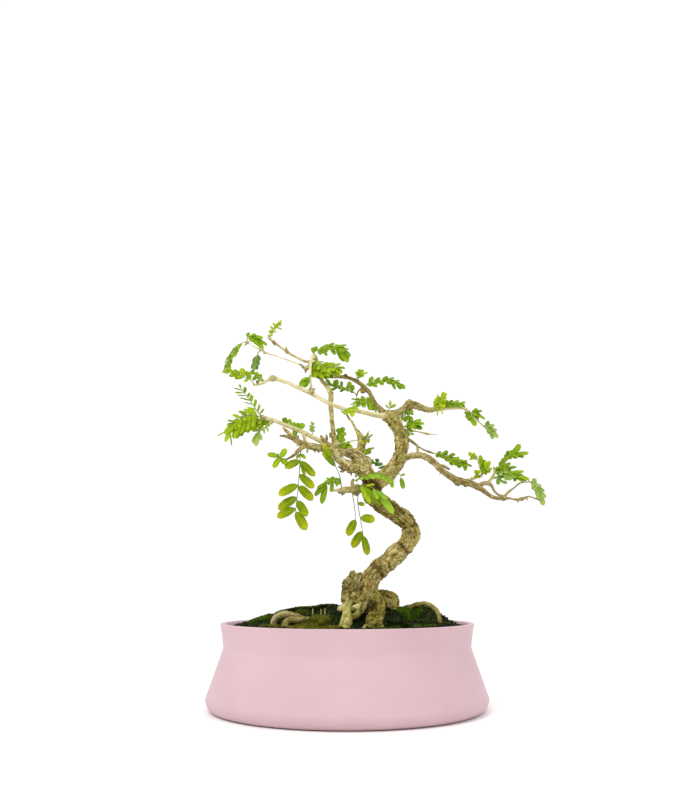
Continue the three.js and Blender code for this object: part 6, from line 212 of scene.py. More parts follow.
    ["leaf_21", [[-30.7, 9.0, 300.3], [-29.3, 8.0, 302.2], [-24.8, 6.0, 303.1], [-17.5, 3.4, 304.6], [-8.5, 0.0, 303.6], [-3.1, -3.0, 300.8]], [[[-30.4, 8.8, 300.8], [-31.9, 8.8, 306.5], 3.21, [-0.07, -0.9, 0.4]], [[-29.0, 7.9, 302.3], [-28.1, 7.4, 307.1], 3.21, [0.05, -0.9, 0.4]], [[-26.3, 6.6, 302.9], [-16.7, 5.2, 307.9], 4.02, [0.24, -0.75, 0.65]], [[-23.1, 5.4, 303.5], [-18.2, 3.0, 296.8], 2.81, [0.18, -0.97, 0.2]], [[-19.4, 4.1, 304.4], [-11.4, 2.6, 308.1], 3.61, [0.25, -0.75, 0.65]], [[-15.3, 2.6, 304.6], [-10.8, 0.0, 296.7], 3.21, [0.15, -0.97, 0.2]], [[-11.7, 1.3, 304.3], [-0.6, -1.6, 305.3], 4.02, [0.28, -0.75, 0.65]], [[-9.9, 0.6, 303.9], [-3.1, -3.0, 289.8], 4.82, [0.13, -0.97, 0.2]], [[-5.3, -1.7, 302.1], [0.3, -5.4, 288.6], 5.02, [0.12, -0.97, 0.2]], [[-3.5, -2.7, 301.0], [2.2, -6.6, 292.8], 4.02, [0.18, -0.97, 0.2]], [[-27.6, 7.2, 302.7], [-23.8, 9.4, 305.4], 2.97, [-0.33, -0.44, 0.83]], [[-26.8, 6.8, 302.8], [-23.0, 5.2, 299.1], 3.28, [-0.39, -0.92, -0.01]], [[-25.5, 6.3, 303.0], [-21.7, 6.2, 306.0], 2.97, [-0.39, -0.79, 0.48]], [[-24.6, 5.9, 303.1], [-21.2, 5.0, 300.4], 3.03, [-0.34, -0.93, -0.12]], [[-23.3, 5.4, 303.5], [-19.4, 5.5, 307.1], 3.21, [-0.4, -0.79, 0.45]], [[-22.5, 5.1, 303.7], [-18.1, 4.4, 300.9], 2.87, [-0.28, -0.94, -0.2]], [[-21.2, 4.7, 304.0], [-18.8, 6.1, 307.1], 2.84, [-0.39, -0.69, 0.62]], [[-20.3, 4.4, 304.2], [-17.1, 3.3, 301.9], 2.76, [-0.33, -0.95, 0.01]], [[-19.0, 3.9, 304.4], [-14.4, 6.1, 307.5], 2.77, [-0.3, -0.51, 0.81]], [[-18.1, 3.6, 304.6], [-14.2, 1.5, 302.6], 3.21, [-0.35, -0.89, 0.3]], [[-16.8, 3.1, 304.6], [-11.0, 4.1, 305.9], 3.28, [-0.14, -0.35, 0.93]], [[-15.9, 2.8, 304.6], [-12.8, 2.3, 301.9], 3.28, [-0.33, -0.92, -0.2]], [[-14.6, 2.3, 304.6], [-9.3, 4.5, 305.2], 3.08, [-0.02, -0.22, 0.98]], [[-13.7, 2.0, 304.5], [-11.4, -0.2, 300.7], 3.13, [-0.29, -0.89, 0.36]], [[-12.4, 1.6, 304.4], [-7.7, 1.4, 306.3], 3.29, [-0.24, -0.83, 0.5]], [[-11.5, 1.2, 304.3], [-9.9, -1.3, 301.3], 3.33, [-0.21, -0.79, 0.58]], [[-10.2, 0.7, 304.0], [-6.5, 2.3, 305.9], 2.96, [-0.11, -0.65, 0.75]], [[-9.3, 0.4, 303.8], [-7.4, -0.4, 299.5], 2.9, [-0.39, -0.92, -0.01]], [[-8.1, -0.2, 303.5], [-3.3, -0.7, 303.8], 2.8, [-0.13, -0.74, 0.66]], [[-7.3, -0.6, 303.2], [-5.2, -3.6, 298.6], 2.77, [-0.25, -0.86, 0.45]], [[-6.2, -1.2, 302.6], [-1.3, -1.6, 302.2], 2.96, [0.0, -0.69, 0.72]], [[-5.5, -1.6, 302.2], [-4.9, -3.7, 297.6], 3.31, [-0.3, -0.88, 0.37]], [[-4.4, -2.3, 301.5], [1.3, -2.2, 301.3], 3.09, [0.04, -0.68, 0.73]], [[-3.7, -2.7, 301.1], [-3.7, -5.3, 297.4], 3.31, [-0.15, -0.81, 0.56]]], "g"],
    ["leaf_22", [[-32.0, 1.5, 291.2], [-31.2, 3.0, 289.2], [-27.9, -1.0, 288.2], [-21.6, -6.0, 284.6], [-14.4, -10.0, 282.6], [-8.2, -13.0, 280.8]], [[[-29.8, 1.4, 288.7], [-30.5, -1.4, 281.3], 4.34, [-0.03, -0.97, 0.2]], [[-28.4, -0.5, 288.4], [-24.4, -2.0, 290.3], 3.75, [0.24, -0.75, 0.65]], [[-27.5, -1.4, 288.0], [-28.3, -5.4, 274.2], 5.13, [-0.02, -0.97, 0.2]], [[-25.2, -3.4, 286.6], [-21.9, -7.4, 273.4], 5.13, [0.07, -0.97, 0.2]], [[-23.9, -4.4, 285.8], [-16.8, -6.0, 287.9], 4.14, [0.26, -0.75, 0.65]], [[-21.3, -6.2, 284.5], [-15.8, -10.0, 274.2], 4.73, [0.14, -0.97, 0.2]], [[-19.0, -7.6, 283.7], [-10.9, -9.6, 286.7], 4.14, [0.26, -0.75, 0.65]], [[-16.5, -8.9, 283.1], [-10.0, -12.4, 275.5], 4.54, [0.2, -0.97, 0.2]], [[-13.6, -10.4, 282.4], [-5.6, -13.0, 285.1], 4.14, [0.26, -0.75, 0.65]], [[-11.8, -11.3, 281.8], [-4.6, -15.0, 275.9], 4.14, [0.23, -0.97, 0.2]], [[-9.0, -12.6, 281.0], [-2.0, -16.0, 280.1], 4.14, [0.28, -0.75, 0.65]], [[-31.7, 2.5, 290.1], [-27.5, 7.4, 289.8], 4.21, [0.71, -0.64, -0.31]], [[-31.1, 3.0, 289.1], [-31.5, 1.2, 283.2], 3.97, [-0.11, -0.95, 0.3]], [[-29.9, 1.6, 288.7], [-23.2, 3.0, 291.2], 3.69, [-0.27, -0.3, 0.91]], [[-29.2, 0.6, 288.6], [-29.5, -5.5, 282.2], 3.67, [-0.65, -0.53, 0.55]], [[-28.1, -0.8, 288.3], [-21.3, 1.0, 291.3], 4.08, [-0.23, -0.52, 0.82]], [[-27.2, -1.7, 287.9], [-28.8, -4.7, 281.5], 3.8, [-0.44, -0.76, 0.47]], [[-25.9, -2.8, 287.1], [-17.5, -2.2, 287.7], 3.9, [-0.02, -0.62, 0.79]], [[-25.1, -3.5, 286.5], [-25.8, -9.0, 280.7], 3.52, [-0.13, -0.71, 0.69]], [[-23.7, -4.5, 285.7], [-18.2, 0.0, 285.3], 4.0, [0.31, -0.3, 0.9]], [[-22.8, -5.2, 285.2], [-22.3, -8.5, 278.0], 3.8, [-0.4, -0.84, 0.36]], [[-21.4, -6.2, 284.5], [-14.1, -5.8, 286.3], 4.22, [-0.15, -0.67, 0.73]], [[-20.4, -6.8, 284.1], [-19.7, -11.0, 278.2], 3.96, [-0.31, -0.79, 0.52]], [[-18.8, -7.7, 283.7], [-13.4, -4.3, 288.5], 4.07, [-0.2, -0.68, 0.7]], [[-17.7, -8.3, 283.4], [-15.3, -8.4, 277.3], 3.89, [-0.5, -0.85, -0.18]], [[-16.1, -9.1, 283.0], [-10.8, -4.5, 284.5], 4.04, [0.04, -0.35, 0.93]], [[-15.0, -9.7, 282.8], [-16.4, -14.8, 276.5], 4.06, [-0.21, -0.73, 0.65]], [[-13.4, -10.5, 282.3], [-6.4, -6.6, 286.4], 4.22, [-0.1, -0.63, 0.77]], [[-12.3, -11.0, 282.0], [-12.5, -15.4, 277.7], 4.06, [-0.13, -0.69, 0.71]], [[-10.7, -11.8, 281.5], [-2.7, -8.7, 283.6], 3.6, [-0.01, -0.54, 0.84]], [[-9.6, -12.3, 281.2], [-7.6, -13.6, 273.7], 3.68, [-0.42, -0.91, 0.04]]], "y"],
    ["leaf_23", [[-32.2, -1.9, 287.8], [-29.8, 2.0, 284.4], [-26.2, 0.6, 281.8], [-19.9, -2.0, 279.3], [-14.5, -4.0, 278.2]], [[[-28.0, 1.5, 282.9], [-31.1, 0.6, 276.3], 3.96, [-0.13, -0.97, 0.2]], [[-26.5, 0.8, 282.0], [-21.4, 0.4, 285.8], 3.77, [0.23, -0.75, 0.65]], [[-24.5, -0.1, 281.0], [-24.4, -1.4, 274.0], 4.36, [-0.01, -0.97, 0.2]], [[-22.3, -1.0, 280.1], [-16.7, -1.4, 283.1], 3.77, [0.25, -0.75, 0.65]], [[-19.9, -2.0, 279.3], [-18.7, -3.4, 273.5], 4.16, [0.05, -0.97, 0.2]], [[-16.7, -3.2, 278.6], [-13.3, -5.0, 274.0], 3.77, [0.18, -0.97, 0.2]], [[-14.9, -3.8, 278.3], [-9.0, -6.0, 276.4], 3.57, [0.27, -0.75, 0.65]], [[-30.9, 0.8, 285.8], [-29.0, 4.4, 288.8], 3.12, [0.88, -0.47, -0.0]], [[-30.2, 1.8, 284.8], [-32.2, 1.5, 279.3], 3.07, [0.51, -0.85, -0.14]], [[-28.5, 1.8, 283.3], [-24.4, 3.7, 283.8], 3.3, [0.23, -0.67, 0.71]], [[-27.2, 1.1, 282.4], [-27.6, 0.5, 278.1], 3.46, [-0.39, -0.9, 0.17]], [[-25.3, 0.2, 281.3], [-21.2, 3.2, 283.1], 2.9, [0.12, -0.62, 0.78]], [[-23.9, -0.3, 280.7], [-24.4, -1.7, 276.0], 3.43, [-0.26, -0.92, 0.3]], [[-21.8, -1.2, 279.9], [-16.9, 1.1, 279.3], 2.9, [0.23, -0.24, 0.94]], [[-20.4, -1.8, 279.4], [-21.1, -4.7, 276.0], 2.93, [-0.1, -0.76, 0.64]], [[-18.2, -2.6, 278.9], [-14.3, -0.8, 281.8], 3.07, [-0.14, -0.74, 0.66]], [[-16.7, -3.2, 278.6], [-16.3, -3.9, 274.3], 3.42, [-0.32, -0.94, 0.13]]], "g"],
    ["leaf_24", [[8.3, 25.0, 266.0], [4.0, 22.0, 269.0], [-1.4, 20.0, 271.1], [-6.9, 18.0, 272.5], [-13.1, 15.0, 273.3], [-16.7, 13.6, 274.0]], [[[4.8, 22.4, 268.6], [4.4, 22.4, 275.1], 3.25, [-0.02, -0.9, 0.4]], [[1.4, 20.9, 270.2], [1.7, 20.6, 277.8], 3.86, [0.01, -0.9, 0.4]], [[-1.9, 19.8, 271.2], [-7.0, 18.4, 267.2], 2.64, [-0.23, -0.97, 0.2]], [[-5.3, 18.6, 272.2], [-5.6, 18.0, 277.4], 2.64, [-0.02, -0.9, 0.4]], [[-7.4, 17.8, 272.6], [-16.7, 14.6, 266.7], 2.64, [-0.25, -0.97, 0.2]], [[-9.3, 16.9, 272.8], [-11.4, 16.0, 278.2], 4.67, [-0.1, -0.75, 0.65]], [[-12.2, 15.4, 273.2], [-19.5, 12.6, 272.9], 4.06, [-0.28, -0.75, 0.65]], [[-15.2, 14.1, 273.7], [-19.6, 12.8, 277.4], 3.45, [-0.21, -0.75, 0.65]], [[5.4, 22.8, 268.2], [2.8, 20.6, 267.7], 2.14, [0.63, -0.77, 0.15]], [[4.6, 22.4, 268.6], [2.8, 23.5, 271.8], 2.19, [0.65, -0.52, 0.55]], [[3.4, 21.7, 269.3], [1.6, 20.1, 268.0], 2.21, [0.51, -0.81, 0.3]], [[2.6, 21.4, 269.7], [0.6, 23.4, 271.5], 2.57, [0.47, -0.28, 0.84]], [[1.3, 20.9, 270.2], [-1.0, 19.8, 268.6], 2.21, [0.36, -0.92, 0.13]], [[0.4, 20.6, 270.5], [-1.2, 21.6, 273.7], 2.29, [0.41, -0.8, 0.43]], [[-1.0, 20.1, 271.0], [-2.6, 18.7, 269.1], 2.42, [0.41, -0.86, 0.32]], [[-1.9, 19.8, 271.3], [-4.4, 20.7, 272.7], 2.43, [0.38, -0.31, 0.87]], [[-3.3, 19.3, 271.7], [-5.1, 17.0, 269.3], 2.38, [0.4, -0.79, 0.47]], [[-4.2, 19.0, 271.9], [-6.5, 19.7, 274.0], 2.12, [0.39, -0.66, 0.64]], [[-5.6, 18.5, 272.2], [-8.4, 17.2, 270.0], 2.42, [0.37, -0.93, 0.08]], [[-6.5, 18.2, 272.4], [-9.4, 19.4, 274.4], 2.19, [0.35, -0.47, 0.81]], [[-7.8, 17.6, 272.7], [-8.9, 16.1, 270.7], 2.12, [0.44, -0.82, 0.38]], [[-8.7, 17.2, 272.8], [-11.7, 17.0, 275.4], 2.52, [0.44, -0.78, 0.45]], [[-10.1, 16.5, 272.9], [-12.3, 13.8, 271.2], 2.42, [0.42, -0.7, 0.57]], [[-10.9, 16.0, 273.0], [-13.2, 17.3, 274.9], 2.44, [0.35, -0.52, 0.78]], [[-12.3, 15.4, 273.2], [-14.5, 13.8, 271.6], 2.52, [0.44, -0.87, 0.23]], [[-13.2, 15.0, 273.3], [-15.7, 15.8, 274.7], 2.46, [0.32, -0.41, 0.86]], [[-14.6, 14.4, 273.6], [-16.0, 13.3, 271.5], 2.22, [0.39, -0.9, 0.21]], [[-15.5, 14.1, 273.8], [-17.6, 15.0, 275.4], 2.41, [0.36, -0.54, 0.76]]], "d"],
    ["leaf_25", [[26.9, 14.2, 249.5], [20.5, 10.0, 254.3], [14.6, 6.0, 256.7], [10.1, 2.6, 255.7]], [[[21.0, 10.4, 254.0], [17.2, 9.0, 260.2], 3.98, [-0.14, -0.75, 0.65]], [[18.5, 8.7, 255.4], [20.6, 7.2, 247.7], 3.78, [0.08, -0.97, 0.2]], [[16.0, 7.0, 256.4], [11.8, 5.6, 260.2], 3.98, [-0.2, -0.75, 0.65]], [[15.1, 6.3, 256.6], [14.2, 4.2, 249.6], 4.18, [-0.03, -0.97, 0.2]], [[12.5, 4.4, 256.4], [3.1, 1.0, 256.6], 2.59, [-0.28, -0.75, 0.65]], [[11.6, 3.7, 256.1], [8.7, 1.4, 249.7], 3.98, [-0.12, -0.97, 0.2]], [[10.5, 2.9, 255.8], [5.5, 0.4, 252.5], 3.38, [-0.25, -0.75, 0.65]], [[22.6, 11.4, 252.9], [25.6, 9.0, 246.1], 1.59, [0.14, -0.97, 0.2]], [[24.8, 12.8, 251.2], [21.1, 10.1, 249.5], 2.72, [0.58, -0.81, 0.06]], [[24.0, 12.3, 251.8], [21.8, 13.2, 254.6], 2.8, [0.71, -0.29, 0.64]], [[22.9, 11.6, 252.7], [19.2, 10.2, 251.6], 2.98, [0.41, -0.88, -0.23]], [[22.1, 11.1, 253.3], [21.9, 11.7, 257.4], 2.72, [0.62, -0.77, 0.15]], [[20.9, 10.3, 254.1], [17.7, 9.0, 253.2], 2.78, [0.41, -0.87, -0.28]], [[20.1, 9.7, 254.5], [17.8, 11.1, 257.3], 2.6, [0.62, -0.34, 0.7]], [[18.9, 8.9, 255.2], [17.2, 6.0, 253.2], 2.85, [0.64, -0.65, 0.41]], [[18.0, 8.4, 255.6], [16.1, 8.6, 258.4], 2.74, [0.63, -0.59, 0.5]], [[16.8, 7.5, 256.2], [13.5, 4.4, 254.7], 2.82, [0.61, -0.76, 0.24]], [[15.9, 6.9, 256.4], [12.9, 7.6, 259.2], 2.8, [0.53, -0.47, 0.71]], [[14.6, 6.0, 256.7], [12.6, 3.9, 252.8], 2.65, [0.58, -0.8, 0.14]], [[13.7, 5.3, 256.7], [9.4, 5.5, 257.6], 2.92, [0.17, -0.37, 0.91]], [[12.4, 4.4, 256.4], [12.1, 2.1, 252.8], 2.98, [0.46, -0.77, 0.44]], [[11.6, 3.7, 256.1], [8.0, 3.9, 257.8], 2.7, [0.28, -0.67, 0.69]]], "g"],
    ["leaf_26", [[8.2, 24.9, 265.5], [8.1, 11.0, 257.6], [6.9, 0.0, 252.6], [5.0, -9.0, 248.5], [4.1, -12.0, 245.5]], [[[4.8, -9.8, 247.9], [2.4, -13.6, 242.6], 2.96, [-0.13, -0.97, 0.2]], [[4.3, -11.4, 246.1], [-3.3, -13.6, 239.9], 3.95, [-0.22, -0.97, 0.2]], [[4.1, -12.0, 245.5], [4.1, -13.4, 237.7], 3.95, [0, -0.97, 0.2]], [[5.1, -8.4, 248.9], [9.1, -12.0, 243.3], 2.96, [0.18, -0.97, 0.2]], [[7.8, 6.6, 255.5], [10.0, 5.7, 253.8], 2.75, [0.44, -0.4, 0.8]], [[7.5, 4.6, 254.6], [5.2, 2.9, 254.1], 2.84, [0.07, -0.41, 0.91]], [[7.1, 1.5, 253.3], [8.8, -0.1, 250.5], 2.49, [0.68, -0.38, 0.63]], [[6.8, -0.5, 252.4], [3.8, -2.1, 251.8], 2.75, [0.04, -0.41, 0.91]], [[6.2, -3.6, 251.1], [7.4, -5.4, 249.0], 2.67, [0.6, -0.4, 0.69]], [[5.8, -5.7, 250.2], [2.4, -7.5, 249.6], 2.85, [0.05, -0.41, 0.91]], [[5.1, -8.6, 248.7], [7.3, -9.5, 245.2], 2.79, [0.66, -0.51, 0.55]], [[4.6, -10.3, 247.3], [1.5, -11.5, 245.1], 2.83, [-0.26, -0.66, 0.71]]], "y"],
    ["leaf_27", [[9.8, 27.6, 279.5], [10.1, 26.0, 282.6], [11.7, 25.0, 285.7]], [[[10.3, 25.8, 283.1], [7.5, 26.0, 288.6], 2.26, [-0.13, -0.9, 0.4]], [[10.6, 25.6, 283.8], [15.4, 24.4, 283.9], 2.88, [0.28, -0.9, 0.4]], [[11.2, 25.3, 284.8], [19.0, 23.4, 287.0], 2.05, [0.27, -0.9, 0.4]], [[11.4, 25.2, 285.2], [10.3, 24.6, 290.4], 3.08, [-0.06, -0.9, 0.4]], [[11.7, 25.0, 285.7], [14.3, 24.0, 289.8], 2.88, [0.15, -0.9, 0.4]], [[9.9, 26.4, 281.8], [8.2, 26.4, 283.5], 1.71, [-0.37, -0.85, -0.37]], [[10.1, 26.1, 282.4], [12.8, 25.6, 284.0], 1.76, [0.1, -0.9, -0.42]], [[10.4, 25.7, 283.3], [9.5, 26.2, 286.2], 1.86, [-0.56, -0.83, -0.03]], [[10.7, 25.5, 283.9], [12.8, 26.1, 284.6], 1.78, [0.34, -0.83, -0.44]], [[11.1, 25.3, 284.7], [11.1, 25.9, 286.9], 1.79, [-0.68, -0.71, 0.19]], [[11.5, 25.1, 285.3], [14.1, 24.6, 285.8], 2.0, [-0.17, -0.97, -0.2]]], "y"],
    ["leaf_28", [[15.4, 22.4, 273.3], [19.0, 22.0, 275.5], [24.9, 20.4, 277.0], [30.3, 19.0, 278.2], [35.7, 17.6, 278.2], [41.1, 16.2, 276.5], [45.5, 14.8, 274.2]], [[[19.4, 21.9, 275.7], [23.0, 21.0, 282.4], 3.66, [0.13, -0.9, 0.4]], [[20.9, 21.6, 276.1], [27.1, 19.8, 272.4], 3.05, [0.25, -0.97, 0.2]], [[24.9, 20.4, 277.0], [29.8, 19.4, 280.9], 3.25, [0.22, -0.75, 0.65]], [[27.6, 19.7, 277.7], [32.6, 18.0, 273.6], 3.45, [0.23, -0.97, 0.2]], [[31.0, 18.8, 278.3], [37.0, 17.6, 281.2], 3.45, [0.25, -0.75, 0.65]], [[34.4, 17.9, 278.3], [39.2, 16.2, 274.1], 3.45, [0.23, -0.97, 0.2]], [[36.6, 17.4, 278.0], [42.4, 16.0, 279.8], 3.25, [0.26, -0.75, 0.65]], [[39.4, 16.7, 277.2], [43.0, 14.4, 268.5], 2.64, [0.13, -0.97, 0.2]], [[41.7, 16.0, 276.2], [47.3, 14.4, 277.0], 3.05, [0.28, -0.75, 0.65]], [[44.1, 15.3, 275.0], [47.8, 13.0, 268.3], 3.05, [0.16, -0.97, 0.2]], [[45.3, 14.9, 274.3], [51.6, 12.6, 269.0], 4.06, [0.23, -0.97, 0.2]], [[17.6, 22.2, 274.8], [18.9, 24.0, 277.0], 2.23, [-0.48, -0.54, 0.69]], [[18.5, 22.1, 275.2], [21.3, 21.6, 273.6], 2.31, [-0.17, -0.99, 0.02]], [[19.7, 21.8, 275.8], [22.6, 22.7, 278.0], 2.5, [-0.38, -0.59, 0.71]], [[20.6, 21.6, 276.0], [23.3, 20.2, 273.2], 2.26, [-0.3, -0.94, 0.18]], [[22.0, 21.2, 276.4], [24.7, 22.5, 277.6], 2.27, [-0.29, -0.29, 0.91]], [[22.9, 21.0, 276.6], [25.2, 20.7, 274.6], 2.12, [-0.25, -0.96, -0.14]], [[24.2, 20.6, 276.8], [25.9, 21.6, 280.0], 2.39, [-0.33, -0.83, 0.46]], [[25.1, 20.3, 277.0], [27.3, 19.4, 275.3], 2.32, [-0.29, -0.94, 0.16]], [[26.4, 20.0, 277.4], [29.0, 21.5, 279.8], 2.38, [-0.34, -0.58, 0.74]], [[27.3, 19.8, 277.6], [29.8, 18.8, 275.9], 2.55, [-0.28, -0.95, 0.13]], [[28.7, 19.4, 277.9], [31.4, 20.7, 279.0], 2.45, [-0.26, -0.24, 0.94]], [[29.6, 19.2, 278.1], [32.4, 17.6, 275.7], 2.27, [-0.28, -0.92, 0.29]], [[31.0, 18.8, 278.3], [34.3, 20.2, 279.9], 2.25, [-0.21, -0.51, 0.84]], [[31.9, 18.6, 278.3], [33.8, 17.5, 276.2], 2.42, [-0.26, -0.93, 0.25]], [[33.3, 18.2, 278.4], [36.7, 18.9, 280.1], 2.43, [-0.19, -0.72, 0.67]], [[34.2, 18.0, 278.4], [35.7, 15.9, 275.7], 2.2, [-0.18, -0.82, 0.55]], [[35.5, 17.6, 278.2], [38.6, 18.3, 279.5], 2.35, [-0.1, -0.75, 0.65]], [[36.5, 17.4, 278.1], [38.0, 16.1, 275.9], 2.45, [-0.13, -0.89, 0.44]], [[37.8, 17.1, 277.7], [40.7, 18.1, 278.1], 2.54, [0.1, -0.57, 0.81]], [[38.7, 16.8, 277.4], [40.3, 16.2, 274.5], 2.46, [-0.22, -0.97, 0.08]], [[40.0, 16.5, 277.0], [43.5, 18.0, 278.0], 2.45, [0.09, -0.69, 0.72]], [[40.8, 16.3, 276.6], [42.1, 14.8, 274.1], 2.43, [-0.04, -0.87, 0.5]], [[42.1, 15.9, 276.1], [44.9, 17.5, 276.1], 2.47, [0.26, -0.49, 0.83]], [[42.9, 15.6, 275.6], [43.4, 14.2, 273.3], 2.31, [0.02, -0.84, 0.54]], [[44.1, 15.3, 275.0], [47.4, 16.6, 275.3], 2.26, [0.19, -0.66, 0.73]], [[44.9, 15.0, 274.5], [46.3, 13.4, 271.9], 2.42, [0.0, -0.86, 0.51]]], "g"],
    ["leaf_31", [[48.4, 8.4, 232.9], [52.6, 3.0, 233.9], [56.3, 0.0, 234.2], [58.8, -2.0, 233.6]], [[[51.5, 4.2, 233.7], [56.3, 3.0, 238.0], 3.92, [0.2, -0.75, 0.65]], [[51.0, 4.9, 233.6], [56.5, 3.0, 229.2], 3.14, [0.22, -0.97, 0.2]], [[54.6, 1.3, 234.2], [64.6, -2.4, 237.4], 4.51, [0.26, -0.75, 0.65]], [[57.2, -0.7, 234.1], [66.9, -5.0, 233.2], 4.71, [0.28, -0.75, 0.65]], [[55.0, 1.0, 234.2], [65.3, -2.6, 229.3], 4.51, [0.26, -0.97, 0.2]], [[50.6, 5.4, 233.5], [54.9, 4.2, 235.7], 3.45, [-0.49, -0.2, 0.85]], [[51.1, 4.7, 233.6], [51.5, -0.4, 231.5], 3.09, [-0.6, -0.34, 0.72]], [[52.1, 3.6, 233.8], [55.1, 2.7, 236.6], 3.1, [-0.66, -0.48, 0.57]], [[52.7, 2.9, 233.9], [54.2, -0.9, 231.0], 3.46, [-0.66, -0.6, 0.45]], [[53.8, 1.9, 234.1], [56.9, 3.0, 236.8], 3.29, [-0.48, -0.46, 0.74]], [[54.5, 1.4, 234.2], [56.3, -2.0, 229.7], 3.19, [-0.59, -0.74, 0.33]], [[55.7, 0.5, 234.2], [59.3, 0.5, 236.7], 3.57, [-0.45, -0.59, 0.67]], [[56.4, -0.1, 234.2], [57.8, -2.3, 230.9], 3.56, [-0.58, -0.76, 0.28]], [[57.5, -1.0, 234.0], [62.2, 0.5, 234.3], 3.54, [0.02, -0.3, 0.95]], [[58.3, -1.6, 233.7], [58.9, -3.4, 228.8], 3.41, [-0.57, -0.79, 0.22]]], "g"],
    ["leaf_33", [[81.4, 30.1, 255.1], [82.4, 30.0, 257.2], [84.2, 29.0, 260.3], [86.0, 28.2, 263.1]], [[[82.5, 30.0, 257.3], [79.1, 29.4, 252.9], 2.05, [-0.17, -0.97, 0.2]], [[82.7, 29.9, 257.7], [80.2, 29.0, 264.1], 2.66, [-0.1, -0.9, 0.4]], [[82.9, 29.8, 258.1], [81.6, 28.4, 247.1], 1.43, [-0.02, -0.97, 0.2]], [[83.3, 29.6, 258.7], [89.4, 27.4, 255.7], 4.1, [0.26, -0.97, 0.2]], [[83.7, 29.3, 259.4], [79.2, 28.6, 260.4], 3.28, [-0.27, -0.9, 0.4]], [[84.0, 29.1, 259.9], [82.5, 28.6, 267.5], 1.64, [-0.06, -0.9, 0.4]], [[84.3, 28.9, 260.5], [86.6, 27.6, 247.7], 1.43, [0.06, -0.97, 0.2]], [[84.6, 28.8, 260.9], [90.2, 27.0, 260.8], 4.1, [0.28, -0.75, 0.65]], [[85.5, 28.4, 262.3], [88.1, 27.6, 269.9], 2.77, [0.09, -0.9, 0.4]], [[85.8, 28.3, 262.9], [90.7, 26.8, 268.3], 3.07, [0.19, -0.9, 0.4]], [[85.2, 28.5, 261.9], [90.5, 27.2, 264.2], 3.48, [0.25, -0.9, 0.4]], [[81.6, 30.1, 255.4], [79.4, 32.5, 259.2], 2.95, [-0.53, -0.82, 0.23]], [[81.8, 30.1, 255.9], [87.3, 31.3, 255.2], 2.71, [0.2, -0.98, -0.1]], [[82.1, 30.1, 256.5], [79.1, 31.2, 261.4], 2.93, [-0.26, -0.96, 0.07]], [[82.3, 30.0, 257.0], [86.7, 28.6, 257.2], 3.17, [-0.32, -0.95, 0.03]], [[82.6, 29.9, 257.6], [78.8, 32.6, 262.0], 2.64, [-0.52, -0.85, 0.07]], [[82.8, 29.8, 258.0], [89.0, 28.5, 258.7], 2.77, [-0.17, -0.96, -0.2]], [[83.2, 29.6, 258.6], [83.3, 33.2, 261.5], 2.97, [-0.87, -0.3, 0.4]], [[83.4, 29.4, 259.0], [89.2, 28.5, 259.4], 2.71, [-0.15, -0.95, -0.26]], [[83.8, 29.2, 259.6], [81.7, 30.5, 264.9], 2.85, [-0.51, -0.86, 0.01]], [[84.0, 29.1, 260.0], [90.2, 29.0, 260.6], 2.95, [0.02, -0.95, -0.32]], [[84.4, 28.9, 260.6], [81.5, 31.9, 265.4], 3.07, [-0.6, -0.79, 0.14]], [[84.7, 28.8, 261.0], [90.0, 27.9, 261.3], 2.87, [-0.15, -0.97, -0.18]], [[85.0, 28.6, 261.6], [83.0, 30.7, 265.5], 2.71, [-0.56, -0.82, 0.14]], [[85.3, 28.5, 262.0], [89.9, 27.3, 261.2], 3.08, [-0.27, -0.96, -0.09]]], "y"],
